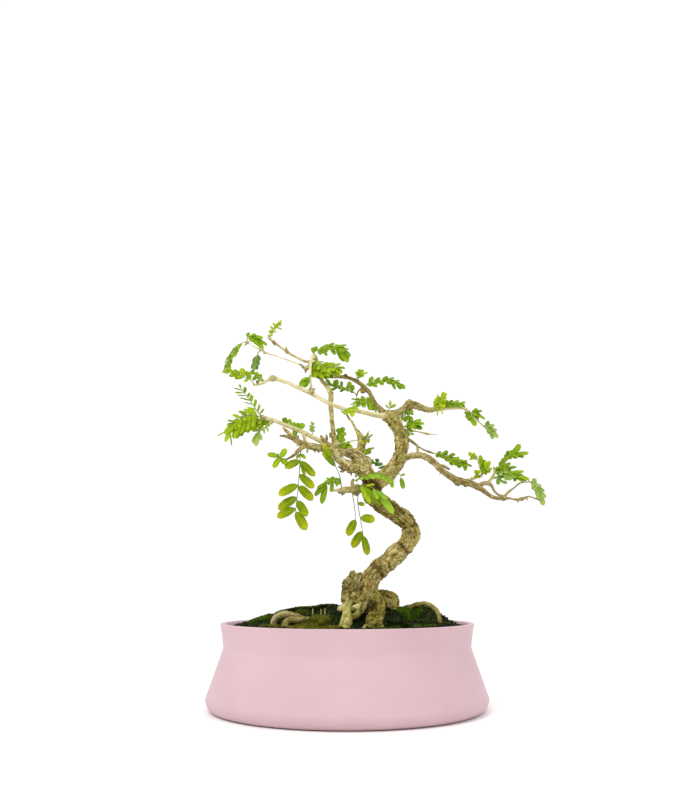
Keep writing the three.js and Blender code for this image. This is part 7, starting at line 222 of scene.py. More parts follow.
    ["leaf_34", [[83.8, 32.0, 256.0], [88.4, 31.4, 258.0], [94.9, 32.0, 259.1], [101.6, 33.4, 259.4], [105.4, 34.6, 259.1]], [[[87.0, 31.5, 257.5], [88.4, 30.4, 261.6], 3.09, [0.09, -0.75, 0.65]], [[89.4, 31.4, 258.3], [92.6, 30.4, 262.1], 3.29, [0.18, -0.75, 0.65]], [[90.2, 31.5, 258.4], [95.4, 30.6, 256.0], 3.29, [0.26, -0.97, 0.2]], [[93.0, 31.7, 258.9], [96.8, 31.0, 262.6], 3.5, [0.19, -0.75, 0.65]], [[95.2, 32.0, 259.1], [100.3, 31.6, 256.4], 3.29, [0.25, -0.97, 0.2]], [[97.8, 32.5, 259.3], [102.4, 32.0, 262.1], 3.5, [0.24, -0.75, 0.65]], [[100.6, 33.1, 259.4], [106.0, 33.0, 256.9], 3.29, [0.26, -0.97, 0.2]], [[103.1, 33.8, 259.3], [108.9, 34.0, 261.0], 3.29, [0.27, -0.75, 0.65]], [[86.7, 31.5, 257.4], [88.9, 33.4, 260.2], 2.36, [-0.39, -0.6, 0.7]], [[87.4, 31.5, 257.6], [90.5, 31.2, 256.0], 2.45, [-0.08, -1.0, -0.03]], [[88.4, 31.4, 258.0], [91.0, 31.9, 260.1], 2.53, [-0.14, -0.9, 0.42]], [[89.1, 31.4, 258.2], [91.9, 30.6, 256.8], 2.51, [-0.08, -0.93, 0.37]], [[90.1, 31.4, 258.4], [92.7, 32.5, 260.2], 2.61, [-0.07, -0.81, 0.59]], [[90.8, 31.5, 258.6], [93.7, 31.6, 257.7], 2.43, [0.06, -0.99, 0.13]], [[91.9, 31.6, 258.7], [94.2, 32.5, 260.3], 2.52, [0.02, -0.88, 0.48]], [[92.6, 31.7, 258.8], [95.5, 32.5, 256.5], 2.56, [0.14, -0.98, -0.17]], [[93.7, 31.8, 259.0], [95.4, 33.9, 260.6], 2.34, [-0.01, -0.61, 0.79]], [[94.4, 31.9, 259.0], [98.0, 31.0, 257.7], 2.28, [0.04, -0.78, 0.63]], [[95.5, 32.1, 259.2], [97.4, 34.0, 259.8], 2.5, [-0.04, -0.28, 0.96]], [[96.2, 32.2, 259.2], [98.8, 32.3, 257.7], 2.24, [0.15, -0.96, 0.23]], [[97.2, 32.4, 259.3], [99.8, 34.5, 261.5], 2.44, [0.12, -0.79, 0.6]], [[97.9, 32.5, 259.3], [100.3, 32.2, 257.6], 2.6, [0.17, -0.9, 0.4]], [[99.0, 32.8, 259.4], [101.3, 35.4, 260.7], 2.23, [0.08, -0.51, 0.86]], [[99.7, 32.9, 259.4], [103.0, 33.6, 257.5], 2.34, [0.22, -0.97, 0.06]], [[100.8, 33.2, 259.4], [103.0, 35.9, 259.9], 2.51, [0.06, -0.23, 0.97]], [[101.5, 33.4, 259.4], [103.9, 33.5, 257.0], 2.35, [0.25, -0.94, 0.22]], [[102.5, 33.7, 259.4], [105.0, 35.5, 260.5], 2.59, [0.25, -0.73, 0.64]], [[103.2, 33.9, 259.3], [106.3, 34.4, 257.8], 2.16, [0.32, -0.89, 0.32]], [[104.2, 34.2, 259.2], [106.1, 37.0, 260.8], 2.33, [0.28, -0.62, 0.73]], [[104.9, 34.4, 259.1], [108.1, 35.0, 257.3], 2.28, [0.32, -0.9, 0.28]]], "g"],
    ["leaf_35", [[114.1, 42.0, 252.7], [116.6, 40.6, 252.8], [119.6, 39.0, 251.2]], [[[115.9, 41.0, 252.9], [120.7, 40.0, 256.3], 3.32, [0.23, -0.75, 0.65]], [[116.2, 40.8, 252.9], [120.7, 38.0, 245.3], 2.28, [0.17, -0.97, 0.2]], [[117.1, 40.3, 252.6], [124.5, 38.0, 253.8], 3.32, [0.27, -0.75, 0.65]], [[118.5, 39.6, 251.9], [122.6, 37.6, 248.1], 3.11, [0.23, -0.97, 0.2]], [[119.2, 39.2, 251.4], [126.3, 36.0, 245.5], 3.74, [0.23, -0.75, 0.65]], [[115.1, 41.5, 252.8], [119.3, 42.3, 256.1], 3.41, [-0.42, -0.6, 0.69]], [[115.6, 41.2, 252.9], [118.6, 39.7, 249.4], 3.08, [-0.49, -0.87, -0.06]], [[116.4, 40.7, 252.8], [119.8, 40.8, 254.8], 3.13, [-0.32, -0.74, 0.58]], [[116.9, 40.4, 252.7], [118.8, 37.7, 249.6], 3.34, [-0.25, -0.8, 0.55]], [[117.6, 40.1, 252.4], [122.9, 41.0, 252.0], 3.36, [0.16, -0.53, 0.83]], [[118.1, 39.8, 252.1], [119.4, 37.6, 248.7], 2.95, [-0.15, -0.85, 0.5]], [[118.8, 39.4, 251.7], [123.2, 39.3, 250.5], 3.24, [0.19, -0.58, 0.79]], [[119.2, 39.2, 251.4], [121.0, 37.6, 247.2], 3.05, [-0.38, -0.91, 0.17]]], "g"],
    ["leaf_36", [[110.1, 41.3, 256.0], [111.1, 40.0, 251.9], [112.9, 38.0, 247.2]], [[[110.5, 40.8, 254.3], [114.1, 39.0, 251.5], 2.49, [0.24, -0.75, 0.65]], [[111.1, 40.0, 251.9], [112.0, 38.8, 244.5], 2.69, [0.05, -0.97, 0.2]], [[112.0, 39.0, 249.6], [116.2, 37.0, 246.4], 3.11, [0.24, -0.75, 0.65]], [[112.7, 38.2, 247.6], [117.7, 35.4, 239.2], 4.56, [0.17, -0.97, 0.2]], [[110.5, 40.8, 254.5], [113.4, 40.5, 253.1], 2.64, [0.05, -0.95, 0.3]], [[110.6, 40.6, 253.6], [108.5, 39.2, 251.3], 2.71, [0.21, -0.92, 0.33]], [[111.0, 40.2, 252.4], [114.0, 40.0, 249.8], 2.77, [0.27, -0.88, 0.38]], [[111.2, 39.9, 251.6], [109.5, 39.4, 247.8], 2.53, [-0.31, -0.92, 0.25]], [[111.6, 39.4, 250.4], [114.8, 40.0, 248.1], 2.34, [0.48, -0.73, 0.49]], [[111.9, 39.1, 249.7], [110.1, 38.6, 246.4], 2.77, [-0.27, -0.92, 0.29]], [[112.4, 38.6, 248.5], [115.6, 39.3, 245.8], 2.53, [0.57, -0.64, 0.51]], [[112.7, 38.2, 247.8], [111.3, 37.9, 245.2], 2.49, [-0.3, -0.91, 0.28]]], "g"],
    ["leaf_37", [[126.2, 45.3, 241.1], [128.3, 43.4, 240.9], [131.4, 41.0, 237.4]], [[[127.5, 44.1, 241.1], [131.5, 42.6, 245.5], 2.9, [0.18, -0.75, 0.65]], [[129.1, 42.8, 240.3], [136.0, 41.0, 240.8], 4.15, [0.28, -0.75, 0.65]], [[129.6, 42.4, 239.7], [130.0, 41.0, 232.8], 3.11, [0.04, -0.97, 0.2]], [[130.2, 41.9, 238.9], [137.7, 39.4, 235.5], 4.36, [0.26, -0.75, 0.65]], [[131.0, 41.3, 237.9], [133.4, 38.8, 227.1], 3.11, [0.08, -0.97, 0.2]], [[131.3, 41.1, 237.5], [138.0, 38.2, 228.5], 4.15, [0.19, -0.97, 0.2]], [[127.7, 43.9, 241.1], [132.2, 43.8, 243.2], 2.81, [-0.37, -0.54, 0.75]], [[128.1, 43.6, 241.0], [130.4, 41.1, 237.3], 2.82, [-0.62, -0.77, 0.13]], [[128.6, 43.1, 240.7], [132.2, 44.7, 239.6], 2.98, [0.4, -0.32, 0.86]], [[128.9, 42.9, 240.4], [128.3, 41.3, 237.0], 3.05, [-0.26, -0.86, 0.44]], [[129.4, 42.5, 239.9], [134.1, 42.2, 237.5], 3.05, [0.33, -0.63, 0.7]], [[129.7, 42.3, 239.5], [130.0, 40.2, 235.2], 3.16, [-0.14, -0.89, 0.43]], [[130.2, 41.9, 239.0], [135.0, 42.6, 236.8], 3.11, [0.39, -0.63, 0.67]], [[130.4, 41.7, 238.6], [129.6, 40.6, 235.1], 2.98, [-0.23, -0.91, 0.35]], [[130.9, 41.4, 238.0], [135.7, 41.2, 237.1], 3.01, [0.07, -0.83, 0.56]], [[131.2, 41.2, 237.7], [130.6, 39.8, 233.9], 3.22, [-0.24, -0.9, 0.37]]], "l"],
    ["leaf_38", [[75.5, 15.0, 210.7], [79.8, 13.0, 209.8], [85.6, 10.0, 207.9], [90.4, 7.0, 204.4], [95.3, 4.6, 201.1], [101.8, 1.8, 199.8]], [[[78.5, 13.6, 210.1], [83.3, 12.4, 211.4], 2.94, [0.24, -0.75, 0.65]], [[79.8, 13.0, 209.8], [83.8, 11.6, 206.5], 3.14, [0.23, -0.97, 0.2]], [[83.0, 11.4, 208.9], [88.5, 9.8, 211.9], 3.53, [0.25, -0.75, 0.65]], [[84.9, 10.4, 208.2], [88.3, 8.6, 202.5], 3.73, [0.16, -0.97, 0.2]], [[87.9, 8.6, 206.4], [94.4, 6.8, 208.6], 3.92, [0.26, -0.75, 0.65]], [[89.4, 7.6, 205.1], [91.5, 5.8, 198.3], 3.92, [0.1, -0.97, 0.2]], [[92.0, 6.2, 203.2], [97.6, 4.4, 205.1], 3.73, [0.26, -0.75, 0.65]], [[95.1, 4.7, 201.2], [97.5, 3.0, 195.8], 3.14, [0.14, -0.97, 0.2]], [[94.6, 4.9, 201.4], [100.8, 2.8, 202.6], 3.53, [0.27, -0.75, 0.65]], [[98.5, 3.2, 200.3], [103.9, 1.2, 202.0], 3.14, [0.26, -0.75, 0.65]], [[99.3, 2.9, 200.2], [103.3, 1.0, 195.7], 2.75, [0.21, -0.97, 0.2]], [[101.5, 1.9, 199.9], [101.8, 0.8, 192.9], 2.94, [0.03, -0.97, 0.2]], [[101.8, 1.8, 199.8], [107.4, -0.4, 196.5], 2.94, [0.25, -0.75, 0.65]], [[77.5, 14.1, 210.3], [80.6, 14.7, 210.5], 2.6, [0.02, -0.35, 0.94]], [[78.2, 13.8, 210.2], [80.1, 12.4, 206.8], 2.84, [-0.39, -0.91, 0.15]], [[79.3, 13.3, 209.9], [82.3, 13.5, 212.1], 2.37, [-0.28, -0.83, 0.48]], [[80.0, 12.9, 209.8], [82.3, 12.1, 207.2], 2.54, [-0.47, -0.87, -0.15]], [[81.0, 12.4, 209.5], [85.6, 12.7, 209.3], 2.73, [0.06, -0.37, 0.93]], [[81.7, 12.0, 209.3], [83.7, 9.2, 206.4], 2.56, [-0.23, -0.77, 0.59]], [[82.8, 11.5, 209.0], [87.0, 12.0, 209.3], 2.63, [-0.01, -0.52, 0.86]], [[83.5, 11.1, 208.8], [84.5, 10.5, 205.4], 2.61, [-0.45, -0.89, 0.04]], [[84.5, 10.6, 208.4], [88.4, 10.6, 210.3], 2.56, [-0.25, -0.83, 0.5]], [[85.2, 10.2, 208.1], [85.5, 8.3, 205.1], 2.67, [-0.22, -0.83, 0.51]], [[86.1, 9.7, 207.6], [90.0, 10.2, 207.2], 2.59, [0.17, -0.54, 0.83]], [[86.7, 9.3, 207.2], [87.5, 8.0, 203.4], 2.78, [-0.41, -0.89, 0.21]], [[87.6, 8.8, 206.6], [92.1, 9.1, 206.0], 2.64, [0.15, -0.65, 0.75]], [[88.2, 8.4, 206.2], [87.7, 7.9, 202.8], 2.88, [-0.43, -0.88, 0.18]], [[89.0, 7.8, 205.5], [92.7, 7.8, 204.5], 2.51, [0.2, -0.63, 0.75]], [[89.6, 7.5, 205.0], [90.3, 5.5, 201.0], 2.82, [-0.24, -0.89, 0.39]], [[90.4, 7.0, 204.4], [94.7, 6.3, 205.2], 2.59, [-0.22, -0.9, 0.39]], [[91.0, 6.6, 203.9], [91.3, 6.2, 199.7], 2.42, [-0.43, -0.9, 0.06]], [[91.9, 6.2, 203.2], [95.7, 6.2, 202.3], 2.7, [0.19, -0.7, 0.69]], [[92.5, 5.9, 202.8], [92.3, 3.8, 198.7], 2.63, [-0.09, -0.88, 0.46]], [[93.4, 5.5, 202.1], [96.1, 7.2, 201.6], 2.7, [0.4, -0.36, 0.84]], [[94.1, 5.2, 201.7], [94.7, 4.6, 198.1], 2.63, [-0.38, -0.92, 0.07]], [[95.1, 4.7, 201.2], [99.3, 5.2, 201.2], 2.7, [0.07, -0.62, 0.78]], [[95.8, 4.4, 200.9], [97.3, 2.4, 198.2], 2.57, [-0.2, -0.84, 0.51]], [[96.8, 3.9, 200.6], [100.7, 4.8, 200.8], 2.86, [0.05, -0.39, 0.92]], [[97.6, 3.6, 200.5], [99.5, 2.4, 197.3], 2.55, [-0.37, -0.92, 0.14]], [[98.7, 3.1, 200.3], [101.7, 3.9, 202.4], 2.56, [-0.23, -0.76, 0.61]], [[99.4, 2.8, 200.2], [101.2, 1.8, 196.7], 2.62, [-0.38, -0.92, 0.07]], [[100.5, 2.3, 200.0], [104.3, 2.7, 200.5], 2.48, [-0.07, -0.47, 0.88]], [[101.3, 2.0, 199.9], [101.9, -0.9, 196.7], 2.55, [-0.21, -0.75, 0.63]]], "g"],
    ["leaf_39", [[112.0, 0.8, 205.8], [109.3, -1.0, 204.4], [107.8, -2.2, 204.8]], [[[109.3, -1.0, 204.4], [105.1, -2.6, 202.6], 2.13, [-0.26, -0.97, 0.2]], [[108.1, -2.0, 204.7], [104.4, -3.6, 208.7], 3.29, [-0.18, -0.9, 0.4]], [[109.9, -0.6, 204.6], [109.1, -1.4, 208.9], 2.32, [-0.05, -0.9, 0.4]], [[110.8, 0.0, 205.1], [110.7, -0.0, 202.4], 2.01, [0.55, -0.84, -0.01]], [[110.4, -0.2, 204.8], [107.4, 0.8, 205.3], 2.17, [-0.08, -0.58, 0.81]], [[109.7, -0.7, 204.5], [109.3, -2.1, 202.6], 2.02, [0.36, -0.78, 0.51]], [[109.3, -1.0, 204.4], [107.3, -0.4, 205.3], 2.18, [0.26, -0.45, 0.85]], [[108.6, -1.6, 204.5], [107.5, -3.2, 203.3], 2.09, [0.66, -0.68, 0.32]], [[108.1, -1.9, 204.7], [106.9, -2.1, 207.0], 2.12, [0.67, -0.67, 0.31]]], "y"],
    ["leaf_40", [[115.0, -4.5, 189.7], [115.6, -6.8, 192.9], [114.6, -8.6, 196.0]], [[[115.0, -7.9, 194.8], [113.1, -10.4, 205.4], 3.44, [-0.05, -0.9, 0.4]], [[115.5, -7.3, 193.7], [117.5, -9.0, 201.7], 2.68, [0.07, -0.9, 0.4]], [[114.7, -8.5, 195.7], [116.3, -12.0, 188.7], 3.83, [0.1, -0.97, 0.2]], [[115.4, -5.7, 191.3], [115.3, -6.8, 194.0], 2.28, [-0.69, -0.65, -0.31]], [[115.5, -6.1, 191.9], [117.7, -8.3, 193.9], 2.31, [-0.31, -0.8, -0.52]], [[115.6, -6.7, 192.8], [114.0, -7.1, 195.3], 2.63, [-0.57, -0.67, -0.47]], [[115.5, -7.1, 193.4], [116.8, -7.4, 196.2], 2.26, [0.57, -0.75, -0.34]], [[115.2, -7.7, 194.3], [112.8, -8.6, 195.7], 2.31, [0.06, -0.88, -0.48]], [[115.0, -8.0, 194.9], [115.3, -8.7, 197.8], 2.35, [0.52, -0.82, -0.25]]], "g"],
    ["leaf_41", [[115.2, -4.6, 189.4], [117.9, -9.4, 192.0], [119.3, -11.4, 194.1]], [[[118.1, -9.7, 192.3], [117.5, -11.6, 200.2], 2.86, [-0.02, -0.9, 0.4]], [[119.2, -11.2, 193.9], [120.5, -12.8, 200.1], 3.05, [0.06, -0.9, 0.4]], [[117.5, -8.7, 191.5], [121.6, -10.4, 191.0], 2.48, [0.28, -0.97, 0.2]], [[116.4, -6.7, 190.5], [118.6, -7.0, 193.8], 2.46, [-0.82, -0.18, 0.54]], [[116.8, -7.5, 190.9], [118.6, -10.3, 188.8], 2.35, [-0.86, -0.51, -0.07]], [[117.5, -8.7, 191.5], [119.2, -8.6, 194.9], 2.27, [-0.86, -0.22, 0.46]], [[117.9, -9.4, 192.0], [120.0, -11.2, 190.8], 2.58, [-0.71, -0.65, -0.27]], [[118.6, -10.4, 192.9], [119.3, -9.0, 196.3], 2.36, [-0.9, -0.3, 0.31]], [[119.0, -11.0, 193.6], [122.7, -12.4, 192.8], 2.6, [-0.41, -0.8, -0.43]]], "y"],
    ["leaf_42", [[111.3, -7.1, 187.0], [112.7, -8.6, 186.1], [111.3, -11.6, 187.3], [110.4, -13.4, 188.4]], [[[110.8, -12.6, 187.9], [107.0, -15.0, 191.4], 3.23, [-0.17, -0.9, 0.4]], [[110.6, -13.0, 188.2], [111.1, -14.6, 192.0], 2.47, [0, -0.9, 0.4]], [[111.6, -11.1, 187.1], [107.0, -13.0, 186.4], 2.47, [-0.28, -0.97, 0.2]], [[112.7, -8.6, 186.1], [115.0, -10.8, 186.5], 2.22, [-0.25, -0.1, 0.96]], [[112.5, -9.4, 186.3], [110.7, -10.8, 189.1], 2.59, [0.86, -0.19, 0.46]], [[112.0, -10.5, 186.7], [110.5, -12.9, 186.1], 2.39, [0.85, -0.52, 0.0]], [[111.5, -11.2, 187.1], [109.8, -11.6, 188.9], 2.14, [0.74, -0.08, 0.67]], [[111.0, -12.2, 187.6], [109.4, -14.3, 187.1], 2.34, [0.8, -0.55, -0.25]], [[110.7, -12.9, 188.1], [108.7, -13.0, 190.8], 2.22, [0.82, -0.04, 0.58]]], "y"],
    ["leaf_43", [[125.4, -9.3, 191.4], [130.0, -14.0, 196.1], [131.9, -15.6, 199.3], [133.8, -17.6, 202.1], [137.6, -20.0, 203.4], [140.6, -22.1, 204.3]], [[[130.7, -14.6, 197.2], [133.5, -15.6, 198.1], 1.7, [0.26, -0.9, 0.4]], [[131.9, -15.6, 199.3], [130.1, -16.4, 201.4], 1.7, [-0.17, -0.9, 0.4]], [[134.1, -17.8, 202.3], [135.5, -19.6, 207.7], 2.65, [0.07, -0.9, 0.4]], [[134.6, -18.2, 202.6], [138.4, -19.6, 200.9], 2.65, [0.27, -0.97, 0.2]], [[136.5, -19.3, 203.1], [139.0, -21.0, 207.7], 3.78, [0.14, -0.9, 0.4]], [[137.7, -20.1, 203.4], [142.7, -21.8, 201.1], 3.4, [0.26, -0.97, 0.2]], [[138.4, -20.5, 203.6], [141.8, -23.0, 209.0], 3.59, [0.15, -0.9, 0.4]], [[139.5, -21.3, 204.0], [144.7, -25.0, 212.3], 4.35, [0.14, -0.9, 0.4]], [[140.0, -21.7, 204.1], [147.6, -24.0, 201.1], 3.03, [0.27, -0.97, 0.2]], [[140.0, -21.7, 204.1], [151.6, -25.0, 204.7], 4.16, [0.24, -0.8, 0.6]], [[129.3, -13.3, 195.2], [129.4, -12.9, 198.7], 2.29, [-0.76, -0.65, 0.1]], [[129.7, -13.7, 195.8], [132.9, -15.9, 195.4], 2.76, [-0.58, -0.8, -0.16]], [[130.4, -14.3, 196.6], [129.3, -14.2, 199.4], 2.67, [-0.5, -0.85, -0.15]], [[130.8, -14.7, 197.3], [133.5, -16.0, 197.2], 2.72, [-0.42, -0.89, -0.17]], [[131.3, -15.1, 198.3], [131.1, -15.8, 201.7], 2.34, [-0.33, -0.92, -0.22]], [[131.7, -15.4, 198.9], [134.6, -17.6, 199.9], 2.34, [-0.57, -0.82, -0.09]], [[132.2, -15.9, 199.9], [132.8, -15.1, 203.1], 2.48, [-0.89, -0.39, 0.25]], [[132.6, -16.3, 200.5], [135.9, -16.8, 201.7], 2.71, [0.1, -0.8, -0.59]], [[133.1, -17.0, 201.4], [133.8, -17.4, 204.9], 2.53, [-0.76, -0.65, 0.06]], [[133.6, -17.4, 201.9], [135.6, -19.8, 201.1], 2.65, [-0.72, -0.67, 0.15]], [[134.5, -18.1, 202.5], [136.4, -17.4, 204.8], 2.53, [-0.61, -0.47, 0.64]], [[135.1, -18.5, 202.7], [137.1, -19.5, 200.8], 2.35, [-0.51, -0.86, -0.07]], [[136.1, -19.1, 203.0], [138.8, -18.6, 204.4], 2.46, [-0.4, -0.32, 0.86]], [[136.8, -19.5, 203.2], [138.0, -22.0, 201.7], 2.78, [-0.52, -0.6, 0.61]], [[137.8, -20.2, 203.5], [140.2, -20.0, 205.7], 2.41, [-0.55, -0.52, 0.65]], [[138.5, -20.6, 203.7], [140.4, -23.0, 202.7], 2.46, [-0.6, -0.66, 0.46]], [[139.5, -21.3, 204.0], [142.1, -21.2, 205.7], 2.59, [-0.49, -0.37, 0.79]], [[140.1, -21.8, 204.2], [142.3, -23.9, 201.4], 2.47, [-0.6, -0.79, 0.15]]], "g"],
    ["leaf_44", [[125.1, -7.9, 193.7], [128.4, -13.0, 194.9], [131.9, -17.0, 193.2], [136.0, -21.0, 189.2], [139.4, -24.0, 186.3]], [[[127.5, -11.8, 194.8], [126.3, -15.0, 187.8], 3.39, [-0.01, -0.97, 0.2]], [[129.1, -13.9, 194.8], [127.9, -17.6, 184.6], 3.96, [0, -0.97, 0.2]], [[130.9, -15.9, 193.9], [137.8, -17.0, 197.4], 3.02, [0.25, -0.75, 0.65]], [[131.6, -16.7, 193.4], [131.5, -20.6, 183.4], 4.15, [0.03, -0.97, 0.2]], [[132.6, -17.7, 192.7], [142.1, -19.0, 193.9], 3.21, [0.28, -0.75, 0.65]], [[134.3, -19.4, 190.9], [135.4, -23.4, 183.1], 4.15, [0.08, -0.97, 0.2]], [[136.0, -21.0, 189.2], [147.5, -23.4, 189.3], 3.39, [0.28, -0.75, 0.65]], [[137.1, -22.0, 188.2], [139.4, -25.6, 182.0], 3.77, [0.14, -0.97, 0.2]], [[138.7, -23.4, 186.9], [145.2, -27.0, 180.5], 3.77, [0.22, -0.97, 0.2]], [[139.4, -24.0, 186.3], [150.6, -27.4, 182.1], 4.34, [0.27, -0.75, 0.65]], [[126.7, -10.4, 194.5], [131.9, -10.9, 196.9], 3.31, [-0.42, 0.02, 0.91]], [[127.1, -11.1, 194.7], [127.2, -17.0, 192.7], 3.49, [-0.67, -0.25, 0.7]], [[127.8, -12.2, 194.9], [131.4, -13.8, 196.7], 2.92, [-0.52, -0.28, 0.81]], [[128.3, -12.9, 194.9], [128.8, -18.7, 192.8], 3.15, [-0.4, -0.34, 0.85]], [[129.1, -13.9, 194.7], [133.5, -14.0, 196.3], 3.12, [-0.31, -0.47, 0.83]], [[129.7, -14.6, 194.5], [129.5, -17.7, 190.4], 3.12, [-0.53, -0.66, 0.53]], [[130.5, -15.5, 194.1], [135.6, -14.8, 192.7], 3.46, [0.29, -0.22, 0.93]], [[131.1, -16.1, 193.8], [130.1, -17.8, 189.2], 3.16, [-0.54, -0.74, 0.39]], [[131.9, -17.0, 193.2], [137.0, -19.2, 193.3], 3.05, [-0.33, -0.73, 0.6]], [[132.4, -17.5, 192.8], [132.6, -19.9, 189.1], 3.0, [-0.4, -0.78, 0.48]], [[133.2, -18.3, 192.1], [137.7, -18.6, 190.7], 2.9, [0.2, -0.58, 0.79]], [[133.7, -18.8, 191.6], [132.1, -21.1, 186.7], 3.16, [-0.31, -0.82, 0.48]], [[134.4, -19.5, 190.8], [140.2, -18.8, 188.8], 3.44, [0.33, -0.52, 0.78]], [[134.9, -20.0, 190.3], [134.7, -22.1, 185.4], 3.03, [-0.38, -0.84, 0.39]], [[135.7, -20.7, 189.5], [141.4, -20.6, 186.7], 3.41, [0.41, -0.4, 0.82]], [[136.2, -21.2, 189.0], [136.6, -25.0, 185.4], 3.23, [0.03, -0.68, 0.73]], [[137.0, -21.9, 188.3], [141.4, -22.2, 186.3], 2.97, [0.35, -0.42, 0.84]], [[137.6, -22.4, 187.8], [138.8, -23.7, 183.4], 3.12, [-0.64, -0.77, 0.04]], [[138.4, -23.2, 187.1], [144.0, -24.5, 187.3], 3.38, [-0.22, -0.79, 0.57]], [[139.0, -23.6, 186.7], [139.4, -25.2, 180.6], 3.21, [-0.57, -0.81, 0.17]]], "g"],
    ["leaf_47", [[123.3, -11.7, 187.0], [125.4, -16.0, 184.8], [127.2, -19.0, 182.6]], [[[125.7, -16.5, 184.4], [130.3, -20.0, 184.8], 2.83, [0.28, -0.75, 0.65]], [[126.1, -17.2, 184.0], [125.7, -20.0, 178.5], 2.83, [0.02, -0.97, 0.2]], [[127.0, -18.6, 182.9], [132.5, -23.0, 179.3], 3.96, [0.25, -0.75, 0.65]], [[124.3, -13.9, 185.9], [128.0, -15.0, 185.6], 2.44, [-0.07, -0.46, 0.88]], [[124.7, -14.7, 185.5], [122.9, -17.9, 183.6], 2.43, [-0.07, -0.48, 0.87]], [[125.3, -15.9, 184.9], [128.7, -15.9, 183.0], 2.37, [0.48, -0.25, 0.84]], [[125.8, -16.7, 184.4], [125.7, -18.2, 181.2], 2.62, [-0.71, -0.63, 0.32]], [[126.4, -17.7, 183.6], [129.3, -18.5, 182.6], 2.55, [0.14, -0.55, 0.82]], [[126.9, -18.5, 183.0], [126.7, -20.4, 180.5], 2.63, [-0.4, -0.7, 0.59]]], "l"],
    ["leaf_48", [[154.1, -11.0, 182.3], [156.4, -13.6, 180.8], [158.3, -17.0, 177.2], [159.6, -20.0, 173.0], [160.3, -22.2, 169.4]], [[[155.4, -12.4, 181.6], [159.6, -13.0, 184.4], 3.57, [0.23, -0.75, 0.65]], [[156.7, -14.0, 180.4], [163.0, -16.0, 178.1], 3.75, [0.27, -0.75, 0.65]], [[157.0, -14.6, 179.9], [155.4, -16.0, 174.8], 2.44, [-0.06, -0.97, 0.2]], [[158.2, -16.9, 177.4], [164.5, -19.0, 173.2], 4.13, [0.25, -0.75, 0.65]], [[158.3, -17.0, 177.2], [157.5, -19.4, 168.5], 1.69, [0.01, -0.97, 0.2]], [[159.3, -19.3, 174.1], [164.4, -22.4, 167.4], 4.5, [0.2, -0.75, 0.65]], [[159.6, -20.0, 173.0], [157.3, -22.4, 166.9], 3.19, [-0.07, -0.97, 0.2]], [[160.2, -21.9, 169.8], [161.4, -25.4, 160.9], 3.94, [0.08, -0.97, 0.2]], [[154.9, -11.9, 181.9], [158.1, -12.9, 181.5], 2.94, [-0.08, -0.5, 0.86]], [[155.3, -12.3, 181.6], [156.3, -15.8, 178.9], 2.63, [-0.28, -0.63, 0.72]], [[155.9, -13.0, 181.2], [159.8, -13.7, 182.0], 2.76, [-0.26, -0.66, 0.7]], [[156.3, -13.4, 180.9], [156.4, -15.6, 177.2], 2.96, [-0.56, -0.73, 0.4]], [[156.7, -14.1, 180.4], [160.6, -14.8, 177.9], 2.73, [0.43, -0.44, 0.79]], [[157.0, -14.5, 180.0], [155.0, -17.6, 176.9], 2.74, [-0.01, -0.7, 0.71]], [[157.4, -15.1, 179.3], [160.5, -17.1, 177.5], 3.03, [-0.08, -0.75, 0.66]], [[157.6, -15.6, 178.9], [156.5, -15.7, 175.0], 3.0, [-0.74, -0.63, 0.22]], [[157.9, -16.2, 178.2], [161.6, -16.7, 175.8], 2.83, [0.36, -0.63, 0.69]], [[158.1, -16.6, 177.7], [155.9, -18.0, 174.4], 2.61, [-0.29, -0.79, 0.54]], [[158.4, -17.2, 177.0], [160.6, -17.4, 174.3], 2.91, [0.7, -0.4, 0.59]], [[158.6, -17.6, 176.5], [156.7, -18.8, 172.5], 2.8, [-0.44, -0.78, 0.44]], [[158.8, -18.1, 175.7], [161.7, -19.2, 174.1], 2.75, [0.04, -0.8, 0.6]], [[159.0, -18.5, 175.2], [157.8, -18.8, 171.8], 2.95, [-0.65, -0.7, 0.29]], [[159.2, -19.0, 174.4], [162.5, -19.8, 172.9], 2.85, [0.07, -0.81, 0.58]], [[159.4, -19.4, 173.9], [157.0, -19.8, 170.3], 2.76, [-0.47, -0.79, 0.4]], [[159.6, -19.9, 173.1], [162.7, -21.1, 170.8], 3.02, [0.09, -0.82, 0.56]], [[159.7, -20.3, 172.6], [157.8, -21.5, 168.9], 3.13, [-0.33, -0.83, 0.46]], [[159.9, -20.8, 171.8], [162.5, -21.9, 168.5], 3.08, [0.35, -0.77, 0.54]], [[160.0, -21.1, 171.2], [158.4, -21.5, 168.1], 2.73, [-0.53, -0.77, 0.36]], [[160.1, -21.6, 170.4], [162.7, -22.1, 167.5], 3.08, [0.44, -0.74, 0.52]], [[160.2, -21.9, 169.8], [159.0, -23.1, 165.7], 2.77, [-0.52, -0.77, 0.37]]], "l"],
